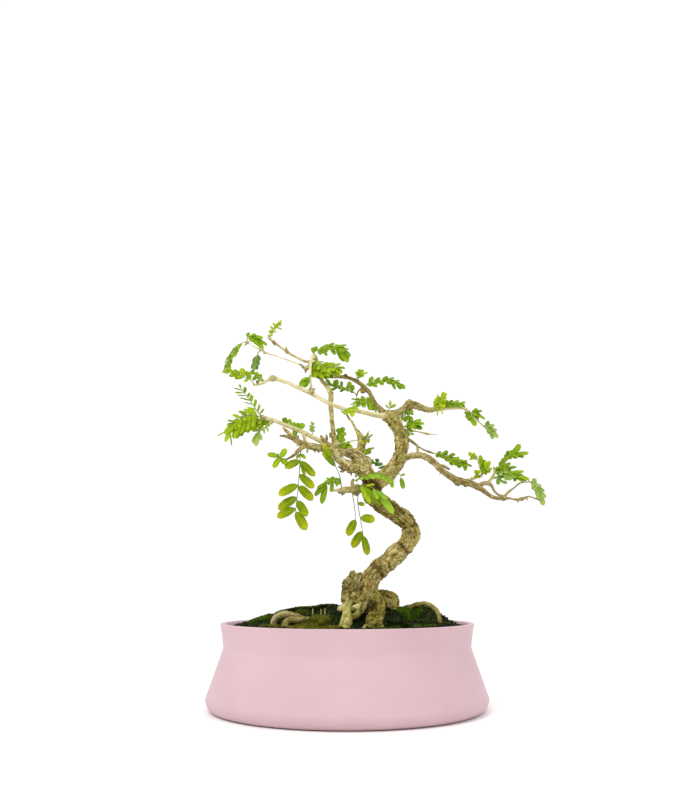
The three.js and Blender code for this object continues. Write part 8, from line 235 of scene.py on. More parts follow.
    ["leaf_49", [[-8.9, -18.6, 212.9], [-7.5, -15.6, 217.3], [-6.3, -13.0, 221.2], [-5.5, -11.0, 224.2]], [[[-7.2, -14.9, 218.3], [-10.2, -14.4, 221.0], 2.86, [-0.22, -0.9, 0.4]], [[-7.1, -14.7, 218.6], [-9.8, -16.6, 215.1], 3.44, [-0.19, -0.97, 0.2]], [[-6.3, -13.0, 221.2], [-2.9, -15.0, 215.5], 4.2, [0.15, -0.97, 0.2]], [[-5.9, -12.0, 222.7], [-0.7, -11.6, 223.2], 3.82, [0.28, -0.9, 0.4]], [[-5.7, -11.4, 223.6], [-9.0, -10.8, 228.1], 3.82, [-0.17, -0.9, 0.4]], [[-5.5, -11.0, 224.2], [-3.3, -10.0, 229.6], 3.82, [0.11, -0.9, 0.4]], [[-8.3, -17.4, 214.6], [-10.6, -15.4, 215.7], 2.3, [-0.37, -0.71, 0.6]], [[-8.1, -16.9, 215.4], [-4.6, -15.2, 216.3], 2.72, [0.27, -0.83, 0.48]], [[-7.7, -16.0, 216.6], [-10.0, -13.5, 217.7], 2.3, [-0.45, -0.66, 0.59]], [[-7.5, -15.5, 217.5], [-4.9, -14.4, 218.3], 2.4, [0.17, -0.84, 0.51]], [[-7.1, -14.7, 218.7], [-9.2, -12.0, 219.2], 2.63, [-0.58, -0.58, 0.57]], [[-6.8, -14.1, 219.5], [-4.0, -13.2, 219.4], 2.77, [0.29, -0.84, 0.47]], [[-6.4, -13.3, 220.7], [-8.6, -12.0, 223.3], 2.51, [0.12, -0.84, 0.53]], [[-6.2, -12.8, 221.5], [-2.9, -11.3, 221.3], 2.6, [0.39, -0.81, 0.43]], [[-5.9, -12.0, 222.8], [-8.5, -10.2, 223.8], 2.45, [-0.3, -0.76, 0.58]], [[-5.7, -11.4, 223.6], [-2.5, -10.2, 223.4], 2.35, [0.34, -0.82, 0.46]]], "g"],
    ["leaf_50", [[-7.0, -22.6, 211.8], [-4.5, -25.6, 212.0], [-2.0, -28.0, 211.4]], [[[-4.9, -25.1, 212.0], [2.5, -29.0, 212.6], 3.94, [0.28, -0.75, 0.65]], [[-4.0, -26.1, 211.9], [4.2, -30.0, 208.4], 4.31, [0.26, -0.75, 0.65]], [[-5.1, -24.9, 212.0], [-1.1, -27.6, 207.6], 3.19, [0.2, -0.97, 0.2]], [[-6.2, -23.6, 211.9], [-3.1, -23.7, 214.0], 2.87, [-0.54, -0.35, 0.77]], [[-5.8, -24.1, 211.9], [-5.8, -27.7, 210.0], 2.67, [-0.57, -0.39, 0.73]], [[-5.2, -24.9, 212.0], [-2.3, -25.1, 213.1], 2.65, [-0.36, -0.27, 0.89]], [[-4.7, -25.4, 212.0], [-4.1, -27.1, 209.1], 2.48, [-0.72, -0.65, 0.23]], [[-4.0, -26.1, 211.9], [-0.6, -25.5, 212.6], 2.51, [-0.14, -0.31, 0.94]], [[-3.6, -26.5, 211.8], [-3.2, -27.5, 208.9], 2.44, [-0.66, -0.73, 0.17]], [[-2.8, -27.2, 211.6], [0.0, -27.8, 212.5], 2.73, [-0.35, -0.6, 0.72]], [[-2.4, -27.7, 211.5], [-2.3, -28.9, 208.5], 2.47, [-0.61, -0.73, 0.3]]], "g"],
    ["leaf_15", [[-38.2, -38.0, 204.6], [-38.1, -46.0, 197.3], [-38.4, -50.0, 183.8], [-39.5, -52.0, 167.6], [-40.8, -53.0, 153.3]], [[[-38.1, -47.0, 195.4], [-50.0, -50.0, 188.6], 6.74, [-0.15, -0.95, 0.25]], [[-38.1, -47.6, 193.8], [-33.8, -52.0, 181.9], 4.01, [0.75, -0.6, 0.1]], [[-38.1, -47.2, 194.9], [-26.0, -45.0, 182.6], 6.25, [0.2, -0.95, 0.2]], [[-38.4, -50.0, 183.8], [-26.4, -52.0, 172.3], 6.58, [0.1, -0.97, 0.2]], [[-38.9, -51.3, 175.1], [-54.4, -54.0, 166.6], 7.22, [-0.1, -0.97, 0.2]], [[-39.0, -51.4, 174.4], [-27.2, -50.0, 162.8], 7.06, [0.15, -0.97, 0.1]], [[-39.7, -52.2, 165.2], [-54.9, -51.0, 155.6], 7.54, [-0.05, -0.97, 0.25]], [[-39.9, -52.4, 162.8], [-31.6, -54.0, 149.6], 6.74, [0.2, -0.95, 0.1]], [[-40.5, -52.8, 156.3], [-55.1, -55.0, 149.0], 7.06, [-0.1, -0.9, 0.35]], [[-40.7, -53.0, 153.9], [-32.1, -52.0, 139.1], 7.38, [0.1, -0.98, 0.1]], [[-38.1, -41.5, 201.8], [-33.9, -44.0, 197.1], 3.05, [0.1, -0.9, 0.3]], [[-38.1, -41.9, 201.5], [-41.2, -45.0, 196.9], 2.89, [-0.1, -0.9, 0.3]]], "a"],
    ["leaf_16", [[-48.5, -44.8, 196.6], [-52.3, -47.0, 196.6], [-56.1, -49.0, 198.6]], [[[-53.9, -47.9, 197.3], [-48.8, -51.0, 204.0], 5.01, [0, -0.95, 0.2]], [[-55.5, -48.7, 198.2], [-64.4, -50.0, 199.7], 4.84, [0, -0.9, 0.4]], [[-54.5, -48.2, 197.7], [-58.8, -52.0, 188.3], 4.84, [-0.2, -0.95, 0]], [[-52.9, -47.4, 196.8], [-48.8, -50.0, 191.3], 4.68, [0.1, -0.95, 0.1]], [[-52.1, -46.9, 196.6], [-54.0, -48.8, 194.3], 2.56, [0.51, -0.82, 0.26]], [[-52.7, -47.2, 196.7], [-54.5, -45.5, 198.3], 2.58, [0.46, -0.31, 0.83]], [[-53.5, -47.6, 197.1], [-55.0, -49.9, 194.8], 2.43, [0.57, -0.75, 0.34]], [[-54.0, -47.9, 197.4], [-55.2, -46.0, 198.8], 2.58, [0.57, -0.23, 0.78]], [[-54.8, -48.3, 197.8], [-56.6, -49.3, 196.4], 2.31, [0.47, -0.88, 0.03]], [[-55.3, -48.6, 198.2], [-56.0, -48.1, 200.5], 2.26, [0.58, -0.74, 0.33]]], "y"],
    ["leaf_18", [[-4.7, -23.2, 175.2], [-6.4, -27.0, 185.5], [-9.8, -31.0, 192.9], [-12.8, -34.0, 199.5]], [[[-9.5, -30.7, 192.3], [-20.7, -34.0, 204.9], 4.79, [-0.3, -0.9, 0.2]], [[-12.8, -34.0, 199.5], [-19.6, -36.0, 210.6], 4.63, [-0.5, -0.8, 0.2]]], "y"],
    ["leaf_19", [[-4.7, -23.6, 175.1], [-4.9, -24.0, 177.7], [-6.9, -27.0, 180.5], [-11.0, -30.0, 181.1], [-15.8, -33.0, 179.1], [-17.4, -34.0, 177.6]], [[[-15.2, -32.6, 179.5], [-24.7, -35.0, 174.1], 3.79, [-0.1, -0.7, 0.7]], [[-16.6, -33.5, 178.4], [-26.5, -37.0, 167.7], 4.77, [-0.1, -0.9, 0.4]], [[-17.1, -33.8, 177.9], [-20.9, -37.0, 161.1], 4.77, [0, -0.98, 0.15]], [[-12.2, -30.8, 180.8], [-13.2, -33.0, 170.9], 3.29, [0.3, -0.95, 0]], [[-11.4, -30.3, 181.0], [-17.5, -30.6, 182.8], 2.96, [0, -0.7, 0.7]], [[-8.4, -28.3, 181.0], [-13.5, -27.6, 184.4], 2.96, [0, -0.7, 0.7]], [[-7.6, -27.6, 180.8], [-9.0, -29.4, 176.2], 2.63, [0, -0.95, 0.3]], [[-5.9, -25.8, 179.6], [-8.4, -25.4, 183.8], 2.63, [0, -0.8, 0.6]], [[-5.7, -25.4, 179.3], [-7.0, -27.5, 178.6], 2.13, [0.85, -0.53, -0.02]], [[-6.1, -26.0, 179.9], [-7.3, -25.4, 183.2], 2.51, [0.87, -0.32, 0.37]], [[-6.9, -27.0, 180.5], [-8.5, -29.3, 178.5], 2.18, [0.74, -0.65, 0.16]], [[-7.6, -27.7, 180.8], [-8.9, -27.6, 183.7], 2.38, [0.66, -0.68, 0.31]], [[-8.8, -28.5, 181.1], [-10.9, -29.4, 178.8], 2.3, [0.54, -0.82, -0.21]], [[-9.6, -29.1, 181.2], [-12.3, -27.8, 182.9], 2.13, [0.33, -0.45, 0.83]], [[-10.8, -29.9, 181.1], [-11.8, -32.0, 179.6], 2.51, [0.37, -0.66, 0.65]], [[-11.6, -30.4, 181.0], [-14.5, -30.0, 182.2], 2.52, [0.21, -0.61, 0.76]], [[-12.8, -31.2, 180.6], [-14.0, -32.8, 178.1], 2.17, [0.4, -0.85, 0.35]], [[-13.6, -31.6, 180.3], [-17.1, -32.0, 181.0], 2.34, [0.2, -0.76, 0.61]], [[-14.7, -32.4, 179.7], [-16.0, -33.1, 177.0], 2.49, [0.52, -0.85, 0.0]], [[-15.5, -32.8, 179.3], [-18.9, -32.9, 180.2], 2.25, [0.17, -0.82, 0.55]]], "g"],
    ["leaf_20", [[4.0, -19.0, 172.7], [4.9, -22.0, 166.6], [6.2, -25.0, 157.3], [6.8, -26.0, 149.5]], [[[6.8, -26.0, 149.8], [0.3, -29.0, 136.1], 6.94, [-0.2, -0.95, 0.15]]], "a"],
    ["leaf_54", [[9.1, -16.0, 173.5], [8.7, -21.0, 163.4], [10.9, -24.0, 149.2], [13.1, -26.0, 135.7]], [[[8.7, -20.8, 163.9], [14.1, -24.0, 161.3], 3.97, [0.1, -0.9, 0.4]], [[10.5, -23.6, 151.6], [22.7, -26.0, 149.2], 7.1, [0, -0.97, 0.2]], [[12.4, -25.4, 140.2], [4.0, -28.0, 126.7], 6.94, [-0.1, -0.98, 0.1]], [[13.0, -25.9, 136.3], [16.3, -28.0, 120.5], 6.28, [0.4, -0.9, 0.1]]], "a"],
    ["leaf_55", [[6.7, -18.2, 177.2], [7.5, -20.0, 179.3], [10.9, -24.0, 177.7], [15.0, -27.0, 176.7]], [[[12.4, -25.2, 177.3], [18.9, -29.0, 161.8], 4.48, [-0.2, -0.95, 0.1]], [[14.8, -26.9, 176.7], [27.9, -29.0, 160.5], 4.32, [0.3, -0.9, 0.2]], [[11.2, -24.3, 177.6], [15.8, -28.0, 166.8], 3.82, [-0.5, -0.85, 0.1]], [[15.0, -27.0, 176.7], [22.4, -30.0, 177.6], 3.82, [0, -0.7, 0.7]]], "y"],
    ["leaf_56", [[10.2, -17.0, 176.4], [15.8, -26.0, 178.2], [20.3, -30.0, 175.2], [25.5, -32.0, 171.2]], [[[25.3, -31.9, 171.4], [38.1, -29.0, 153.5], 6.25, [0.2, -0.95, 0.2]], [[23.5, -31.3, 172.7], [32.3, -34.0, 164.9], 5.1, [0.2, -0.7, 0.6]], [[21.1, -30.5, 174.6], [25.4, -33.0, 165.0], 3.95, [-0.3, -0.9, 0.1]]], "y"],
    ["leaf_57", [[40.8, -4.5, 191.1], [43.5, -8.0, 189.7], [45.0, -10.0, 187.8], [45.4, -11.0, 185.5]], [[[45.3, -10.7, 186.2], [47.2, -13.0, 175.9], 4.08, [0.2, -0.95, 0.1]], [[45.0, -9.9, 187.9], [48.9, -12.0, 188.2], 2.89, [0, -0.8, 0.6]]], "g"],
]

SPRIGS = [
    ["sprig_1", [[37.3, 11.7, 247.3], [37.3, 11.0, 250.8], [39.4, 10.0, 253.5]], 3, 0.3, 5.34, 1.69, 46, 8, [0, -1, 0.2], "y"],
    ["sprig_2", [[47.7, 10.6, 238.3], [50.4, 6.0, 241.6], [53.7, 4.0, 242.5]], 3, 0.05, 8.3, 4.24, 45, 8, [0, -0.85, 0.5], "g"],
    ["sprig_3", [[50.0, 9.9, 230.3], [53.6, 8.0, 228.7], [55.1, 6.0, 225.9]], 3, 0.2, 4.76, 2.12, 40, 5, [0, -1, 0.2], "y"],
    ["sprig_4", [[125.5, -8.8, 192.0], [128.0, -17.0, 190.1], [131.5, -22.0, 187.1], [134.2, -25.0, 185.0]], 4, 0.06, 8.39, 4.03, 26, 14, [0.1, -0.9, 0.35], "l"],
    ["sprig_5", [[13.5, -15.6, 208.3], [16.0, -19.0, 207.7], [18.2, -21.0, 207.5]], 3, 0.08, 5.91, 2.87, 38, 5, [0, -0.9, 0.4], "g"],
]

# short spurs, buds and root ends on the wood: foot, tip, radius at the foot and at the tip, pale, green, dark
SPURS = [
    [[-31.4, -22.0, 259.5], [-32.4, -24.0, 260.6], 0.68, 0.43, 0.2, 0.2, 0.8],
    [[-28.9, -22.0, 259.5], [-27.7, -23.0, 260.8], 0.68, 0.43, 0.2, 0.2, 0.8],
    [[-30.1, -24.0, 256.8], [-29.7, -26.0, 254.5], 0.77, 0.42, 0.2, 0.2, 0.8],
    [[-38.9, -4.0, 284.4], [-41.7, -7.0, 286.5], 1.06, 0.53, 0.3, 0.1, 0.8],
    [[-36.9, -4.0, 282.8], [-37.0, -6.0, 279.2], 1.06, 0.61, 0.3, 0.1, 0.7],
    [[-34.9, -3.0, 285.4], [-33.4, -5.0, 287.4], 0.97, 0.53, 0.3, 0.1, 0.6],
    [[-55.5, 15.0, 303.4], [-55.8, 13.0, 307.4], 1.18, 0.82, 0.3, 0.7, 0.2],
    [[-74.9, -36.0, 261.3], [-75.9, -38.0, 263.7], 1.01, 0.5, 0.2, 0.1, 0.8],
    [[85.8, -5.0, 194.5], [87.7, -3.0, 193.6], 0.77, 0.52, 0.1, 0.1, 0.85],
    [[-18.4, -26.0, 214.1], [-22.3, -29.0, 218.4], 1.59, 1.0, 0.15, 0.2, 0.6],
    [[-17.1, -25.0, 215.7], [-17.5, -28.0, 219.4], 1.17, 0.67, 0.1, 0.7, 0.6],
    [[-14.0, -21.0, 218.9], [-14.6, -23.0, 222.0], 1.27, 0.76, 0.2, 0.7, 0.4],
    [[-27.0, -31.0, 206.6], [-26.7, -32.0, 204.1], 0.83, 0.5, 0.1, 1, 0.2],
    [[-24.2, -29.0, 206.9], [-23.7, -30.0, 203.9], 0.83, 0.5, 0.1, 1, 0.2],
    [[-32.8, -34.0, 206.9], [-33.3, -36.0, 203.4], 0.91, 0.58, 0.1, 1, 0.2],
    [[-39.4, -38.0, 212.2], [-41.2, -40.0, 208.1], 0.99, 0.57, 0.2, 0.6, 0.4],
    [[9.0, -14.0, 217.4], [-0.3, -18.0, 215.5], 0.6, 0.3, 0.5, 0, 0.35],
    [[15.8, -14.0, 219.8], [18.2, -17.0, 224.5], 0.94, 0.43, 0.2, 0.8, 0.1],
    [[-71.9, -18.0, 293.8], [-73.3, -19.0, 296.4], 1.04, 0.52, 0.4, 0, 0.6],
    [[-86.4, -23.0, 301.5], [-88.2, -25.0, 298.2], 1.04, 0.52, 0.4, 0, 0.7],
    [[-68.3, 21.0, 315.5], [-66.8, 20.0, 311.9], 1.2, 0.73, 0.2, 0.1, 0.85],
    [[-25.8, 6.0, 277.1], [-29.3, 5.0, 278.7], 0.89, 0.53, 0.3, 0.2, 0.5],
    [[-14.9, 0.0, 261.1], [-12.4, -2.0, 262.2], 0.79, 0.53, 0.2, 0.2, 0.5],
    [[-15.6, -4.0, 251.2], [-18.2, -6.0, 252.9], 1.13, 0.7, 0.2, 0.2, 0.5],
    [[15.0, -13.0, 205.7], [20.0, -16.0, 206.1], 1.02, 0.42, 0.3, 0.2, 0.5],
    [[57.0, 18.0, 249.6], [58.3, 16.0, 245.9], 1.35, 0.81, 0.1, 0.1, 0.9],
    [[53.4, 17.0, 249.4], [52.8, 15.0, 246.2], 1.26, 0.8, 0.1, 0.1, 0.9],
    [[140.0, -31.0, 164.4], [138.9, -32.0, 162.8], 0.57, 0.33, 0.2, 0.2, 0.7],
    [[146.1, -33.4, 166.1], [146.7, -34.0, 164.4], 0.49, 0.33, 0.2, 0.2, 0.8],
    [[93.1, -18.0, 179.6], [92.4, -19.0, 177.6], 0.75, 0.42, 0.2, 0.2, 0.7],
    [[79.3, -12.0, 190.5], [78.0, -13.0, 188.4], 0.76, 0.42, 0.2, 0.2, 0.6],
    [[6.9, -15.0, 186.3], [8.4, -16.0, 188.9], 1.18, 0.67, 0.1, 0.3, 0.6],
    [[-3.2, -20.0, 190.2], [-5.8, -22.0, 189.4], 1.26, 0.67, 0.1, 0.1, 0.8],
    [[-4.9, -18.0, 193.0], [-7.9, -20.0, 193.9], 1.01, 0.5, 0.1, 0.1, 0.6],
    [[3.4, -15.0, 189.7], [3.0, -16.0, 187.2], 1.01, 0.59, 0.1, 0.1, 0.7],
    [[-28.4, -9.6, 72.3], [-28.3, -8.6, 77.9], 0.61, 0.37, 0.08, 0.3, 0.4],
    [[-21.6, -11.0, 72.3], [-21.5, -10.0, 77.7], 0.49, 0.29, 0.08, 0.3, 0.4],
    [[-18.4, -11.3, 72.5], [-18.2, -10.3, 78.4], 0.65, 0.39, 0.08, 0.3, 0.4],
]

# tone along a strand: 0 old bark, 1 pale young wood, as (share of length, tone)
TONE = {
    "trunk": [(0, 0.03), (0.3, 0.06), (0.5, 0.1), (0.62, 0.08), (0.75, 0.03), (1, 0.03)], "right_leader": [(0, 0.02), (1, 0.1)], "left_low": [(0, 0.1), (1, 0.3)],
    "left_high": [(0, 0.1), (1, 0.34)], "stub_up": [(0, 0.12), (1, 0.2)], "stick": [(0, 0.2), (0.35, 0.3), (1, 0.42)],
    "branch_left": [(0, 0.4), (0.15, 0.78), (0.93, 0.85), (1, 0.2)], "gnarl": [(0, 0.25), (1, 0.1)], "gnarl_stub": [(0, 0.1), (1, 0.1)],
    "gnarl_link": [(0, 0.3), (1, 0.3)], "gnarl_down": [(0, 0.1), (1, 0.05)],
    "branch_long": [(0, 0.3), (0.07, 0.78), (0.5, 0.95), (0.9, 0.92), (1, 0.4)], "riser": [(0, 0.8), (1, 1.0)],
    "twig_top": [(0, 0.3), (1, 0.3)], "twig_pale": [(0, 0.7), (0.2, 1.0), (1, 1.0)], "branch_back": [(0, 0.12), (1, 0.02)],
    "back_loop": [(0, 0.1), (1, 0.1)], "branch_right": [(0, 0.12), (0.5, 0.2), (0.56, 0.85), (0.85, 0.95), (1, 0.7)],
    "right_strut": [(0, 0.7), (1, 0.6)], "branch_low": [(0, 0.08), (0.1, 0.28), (0.3, 0.14), (0.6, 0.16), (1, 0.3)],
    "low_strand": [(0, 0.35), (1, 0.4)], "low_up": [(0, 0.6), (1, 0.7)], "low_up2": [(0, 0.5), (1, 0.5)],
    "low_fork": [(0, 0.3), (0.3, 0.45), (1, 0.3)], "low_nub": [(0, 0.3), (1, 0.3)], "twig_right": [(0, 0.15), (1, 0.2)],
    "twig_drop": [(0, 0.4), (1, 0.3)], "twig_hair": [(0, 0.4), (1, 0.5)], "root_bump_m": [(0, 0.55), (1, 0.7)], "root_mid": [(0, 0.2), (0.6, 0.35), (1, 0.2)], "front_stub": [(0, 0.1), (0.5, 0.35), (1, 0.85)],
    "stub_knob": [(0, 0.1), (1, 0.1)], "stub_spur": [(0, 0.1), (1, 0.1)],
    "root_pale": [(0, 0.12), (0.3, 0.5), (1, 0.6)], "root_left": [(0, 0.1), (0.4, 0.22), (1, 0.22)],
    "root_left_in": [(0, 0.1), (1, 0.12)], "root_arch": [(0, 0.05), (0.5, 0.12), (1, 0.25)], "root_bump_l": [(0, 0.6), (1, 0.75)],
    "root_front_r": [(0, 0.1), (0.5, 0.2), (1, 0.2)], "root_back_r": [(0, 0.05), (1, 0.2)],
}
MOSSY = {
    "trunk": [(0, 0.85), (0.2, 0.5), (0.32, 0.12), (0.6, 0.12), (0.72, 0.6), (0.88, 0.6), (1, 0.4)], "stump": [(0, 0.95), (1, 0.75)],
    "right_leader": [(0, 0.3), (0.3, 0.2), (0.5, 0.6), (0.8, 0.55), (1, 0.4)],
    "left_low": [(0, 0.25), (1, 0.3)], "left_high": [(0, 0.2), (1, 0.15)], "stub_up": [(0, 0.5), (1, 0.5)], "stick": [(0, 0.45), (0.5, 0.3), (1, 0.1)],
    "front_stub": [(0, 0.3), (0.5, 0.4), (1, 0)], "branch_right": [(0, 0.3), (0.3, 0.25), (0.5, 0.6), (0.6, 0.0), (1, 0)],
    "root_pale": [(0, 0.8), (1, 1.0)], "root_left": [(0, 0.8), (0.5, 0.22), (1, 0.12)], "root_left_in": [(0, 0.5), (1, 0.4)],
    "root_arch": [(0, 0.9), (0.5, 0.95), (1, 0.5)], "root_front_r": [(0, 0.7), (0.4, 1.0), (1, 1.0)], "root_mid": [(0, 0.8), (1, 0.9)],
    "root_back_r": [(0, 0.8), (1, 1.0)], "root_bump_l": [(0, 0.7), (1, 0.6)], "root_bump_m": [(0, 0.7), (1, 0.7)],
    "root_back_1": [(0, 0.7), (1, 0.7)], "root_back_2": [(0, 0.7), (1, 0.7)], "root_fore_l": [(0, 0.8), (1, 0.7)], "root_fore_r": [(0, 0.8), (1, 0.7)],
    "gnarl": [(0, 0.25), (1, 0.1)], "branch_left": [(0, 0.2), (0.3, 0), (1, 0)],
}
DARK = {
    "trunk": [(0, 0.3), (0.12, 0.1), (0.3, 0), (0.6, 0), (0.72, 0.2), (0.88, 0.2), (1, 0.05)], "stump": [(0, 0.48), (1, 0.44)],
    "right_leader": [(0, 0.1), (0.4, 0.18), (1, 0.16)], "branch_left": [(0, 0.1), (0.5, 0.03), (0.93, 0.08), (1, 0.7)],
    "root_front_r": [(0, 0.4), (1, 0.3)], "root_back_r": [(0, 0.25), (1, 0.15)], "root_arch": [(0, 0.4), (0.6, 0.32), (1, 0.25)],
    "root_left": [(0, 0.4), (1, 0.3)], "root_mid": [(0, 0.35), (1, 0.3)], "root_left_in": [(0, 0.45), (1, 0.4)],
    "branch_back": [(0, 0.45), (1, 0.7)], "gnarl_down": [(0, 0.2), (1, 0.7)], "gnarl": [(0, 0.1), (0.6, 0.25), (1, 0.75)],
    "stub_spur": [(0, 0.3), (1, 0.7)], "twig_top": [(0, 0.1), (1, 0.3)], "twig_right": [(0, 0.45), (1, 0.45)], "twig_drop": [(0, 0.4), (1, 0.3)],
    "branch_low": [(0, 0.26), (0.15, 0.26), (0.3, 0.48), (0.5, 0.62), (0.8, 0.62), (1, 0.72)], "branch_right": [(0, 0.2), (0.2, 0.42), (0.45, 0.25), (0.56, 0), (1, 0)],
    "low_strand": [(0, 0.4), (1, 0.4)], "low_fork": [(0, 0.3), (0.5, 0.35), (1, 0.3)], "low_nub": [(0, 0.4), (1, 0.6)], "stick": [(0, 0.2), (0.3, 0.1), (1, 0.12)], "right_strut": [(0, 0.1), (1, 0.2)],
}
# how much slimmer than the solid a few young shoots are drawn
SLIM = {"root_arch": 0.95, "branch_long": 0.95, "twig_pale": 0.86, "riser": 0.93, "low_up": 0.94}
# cracks and hollows: points, half width, depth, darkness; the darkness is partly the cracks' own colour and partly
# painted shade in hollows, in the crotch and along the top of the trunk
CRACKS = [
    [[[8.0, -6.1, 95.5], [6.3, -7.8, 93.1], [3.0, -9.5, 90.7], [1.0, -11.8, 88.3]], 0.9, 1.1, 0.85],
    [[[3.0, -14.6, 86.7], [3.0, -14.6, 86.7]], 1.6, 1.2, 0.9],
    [[[2.2, -8.7, 97.5], [2.2, -8.7, 97.5]], 0.8, 0.8, 0.7],
    [[[23.9, -4.3, 107.7], [27.2, -3.5, 105.2], [30.7, 0.5, 103.6]], 0.9, 1.0, 0.8],
    [[[34.9, -1.0, 113.4], [35.8, 0.1, 111.0]], 1.0, 0.9, 0.8],
    [[[13.8, -6.3, 97.1], [12.1, -7.2, 93.0]], 0.8, 0.8, 0.65],
    [[[21.8, -14.1, 87.5], [22.0, -6.8, 82.6]], 0.9, 1.0, 0.8],
    [[[15.3, -13.9, 89.1], [12.7, -20.1, 82.9], [11.0, -24.8, 77.6]], 1.0, 1.2, 0.85],
    [[[29.2, 8.2, 89.6], [34.4, 11.0, 87.1], [36.9, 11.6, 85.5]], 0.9, 1.0, 0.75],
    [[[8.0, -9.5, 85.1], [8.4, -9.1, 82.7]], 0.9, 0.8, 0.8],
    [[[17.8, -9.0, 81.9], [15.3, -9.8, 78.7]], 1.1, 1.1, 0.85],
    [[[45.5, 2.0, 131.8], [48.7, 1.4, 126.8], [50.5, 3.1, 124.3]], 0.8, 0.8, 0.7],
    [[[24.9, -1.6, 114.3], [29.8, -2.6, 107.7]], 0.8, 0.7, 0.65],
    # a deep hollow among the roots, painted near black as shade
    [[[15.3, -9.8, 77.9], [18.6, -8.3, 77.1], [21.1, -7.4, 78.6]], 2.4, 2.0, 0.97],
    [[[31.8, 1.4, 81.6], [32.3, 8.7, 74.9]], 1.2, 0.6, 0.9],
    [[[27.6, 9.7, 91.7], [36.3, 14.1, 91.2]], 1.2, 0.4, 0.75],
    [[[4.6, -17.8, 70.3], [8.7, -8.4, 68.7], [12.8, -9.6, 70.0]], 1.6, 1.2, 0.9],
    # wide dark bands below: painted shade along the top of the trunk and in the crotch under the leaves
    [[[27.5, -11.4, 170.6], [31.7, -10.4, 167.0], [36.8, -8.6, 163.8], [42.8, -6.2, 160.6], [48.0, -4.2, 157.0]], 2.3, 0.5, 0.8],
    [[[19.9, -9.8, 163.6], [25.8, -8.6, 160.0]], 1.8, 0.5, 0.7],
    [[[14.8, -14.4, 181.7], [19.0, -13.6, 178.4], [22.4, -13.9, 175.0], [25.8, -13.0, 172.6]], 3.4, 0.8, 0.97],
    [[[34.2, -10.1, 161.9], [39.3, -7.6, 156.3]], 0.8, 0.7, 0.6],
    [[[19.8, -18.1, 182.9], [24.9, -14.5, 180.0], [27.5, -11.3, 175.3]], 3.0, 0.5, 0.95],
    [[[-1.2, -21.1, 206.1], [3.9, -17.8, 201.5], [10.6, -17.8, 199.0]], 0.8, 0.7, 0.6],
    [[[14.1, -14.7, 207.1], [14.1, -14.7, 207.1]], 0.8, 0.7, 0.6],
    [[[-10.3, -25.7, 209.6], [-5.4, -21.5, 206.1], [-0.3, -21.4, 199.3]], 0.8, 0.6, 0.55],
    [[[12.3, -18.5, 194.6], [19.1, -14.7, 192.6]], 0.8, 0.6, 0.6],
    [[[43.6, -5.0, 150.6], [48.0, -1.4, 145.9]], 0.8, 0.6, 0.6],
    [[[53.9, -0.6, 140.9], [56.5, 1.2, 136.0]], 0.8, 0.6, 0.6],
    [[[31.3, -6.3, 192.9], [34.5, -8.9, 185.7]], 0.9, 0.8, 0.6],
    [[[42.5, 4.9, 220.9], [41.5, 4.3, 211.9], [42.7, -2.9, 203.8]], 0.8, 0.7, 0.65],
    [[[38.4, 9.8, 230.7], [38.4, 9.8, 230.7]], 0.7, 0.6, 0.6],
    [[[46.3, 7.5, 235.7], [45.1, 3.5, 227.7]], 0.7, 0.6, 0.6],
    [[[48.2, 0.3, 214.8], [48.9, -0.9, 207.6]], 0.7, 0.6, 0.6],
    [[[3.9, -3.4, 102.8], [8.0, -4.4, 101.1]], 0.8, 0.7, 0.6],
    [[[18.7, -7.7, 94.7], [24.7, -2.8, 93.0]], 0.8, 0.8, 0.7],
    [[[30.6, 1.9, 81.6], [37.6, 9.3, 79.8]], 0.9, 0.9, 0.75],
    [[[60.2, -3.2, 83.3], [60.2, -3.2, 83.3]], 0.9, 0.8, 0.6],
    [[[64.0, -7.0, 80.2], [64.0, -7.0, 80.2]], 0.8, 0.7, 0.6],
]
# how cracked the bark is along a strand
CREV = {
    "trunk": [(0, 0.8), (0.25, 0.4), (0.35, 0.25), (0.62, 0.25), (0.74, 0.6), (1, 0.45)], "stump": [(0, 1.2), (1, 1.2)],
    "right_leader": [(0, 0.4), (0.4, 0.6), (1, 0.45)], "left_low": [(0, 0.8), (1, 0.75)], "left_high": [(0, 0.8), (1, 0.75)], "gnarl": [(0, 0.85), (1, 0.7)],
    "stub_up": [(0, 0.7), (1, 0.3)], "root_back_r": [(0, 0.9), (1, 0.8)], "root_front_r": [(0, 0.9), (1, 0.9)], "root_mid": [(0, 0.9), (1, 0.8)],
    "root_pale": [(0, 0.6), (0.4, 0.3), (1, 0.3)], "root_left": [(0, 0.8), (1, 0.6)], "root_left_in": [(0, 0.7), (1, 0.6)], "root_arch": [(0, 0.8), (1, 0.5)],
    "branch_low": [(0, 0.5), (0.4, 0.75), (1, 0.5)], "branch_right": [(0, 0.5), (0.5, 0.4), (0.6, 0.1), (1, 0.1)], "branch_back": [(0, 0.5), (1, 0.4)],
    "branch_long": [(0, 0.2), (0.1, 0.02), (1, 0.02)], "riser": [(0, 0.05), (1, 0.05)], "twig_pale": [(0, 0), (1, 0)], "branch_left": [(0, 0.15), (1, 0.08)],
    "front_stub": [(0, 0.7), (0.6, 0.3), (1, 0.1)],
}
# rings where the trunk's bark is pinched: a point on the limb, half width, depth; the groove is also painted darker
# with its depth, partly dark bark, partly painted shade
RINGS = [
    [53.6, 6.0, 147.2, 1.6, 1.0],
    [48.1, 4.0, 126.9, 1.7, 1.0],
    [26.6, 2.0, 107.7, 1.6, 0.8],
]


# ---------------------------------------------------------------- numbers: noise and curves
def lattice(ix, iy, iz, seed):
    h = (ix * 73856093) ^ (iy * 19349663) ^ (iz * 83492791) ^ ((seed * 2654435761) & 0x7FFFFFFF)
    h = h & 0xFFFFFFFF
    for _ in range(2):
        h ^= h >> 16
        h = (h * 0x45D9F3B) & 0xFFFFFFFF
    h ^= h >> 16
    return h / 4294967295.0


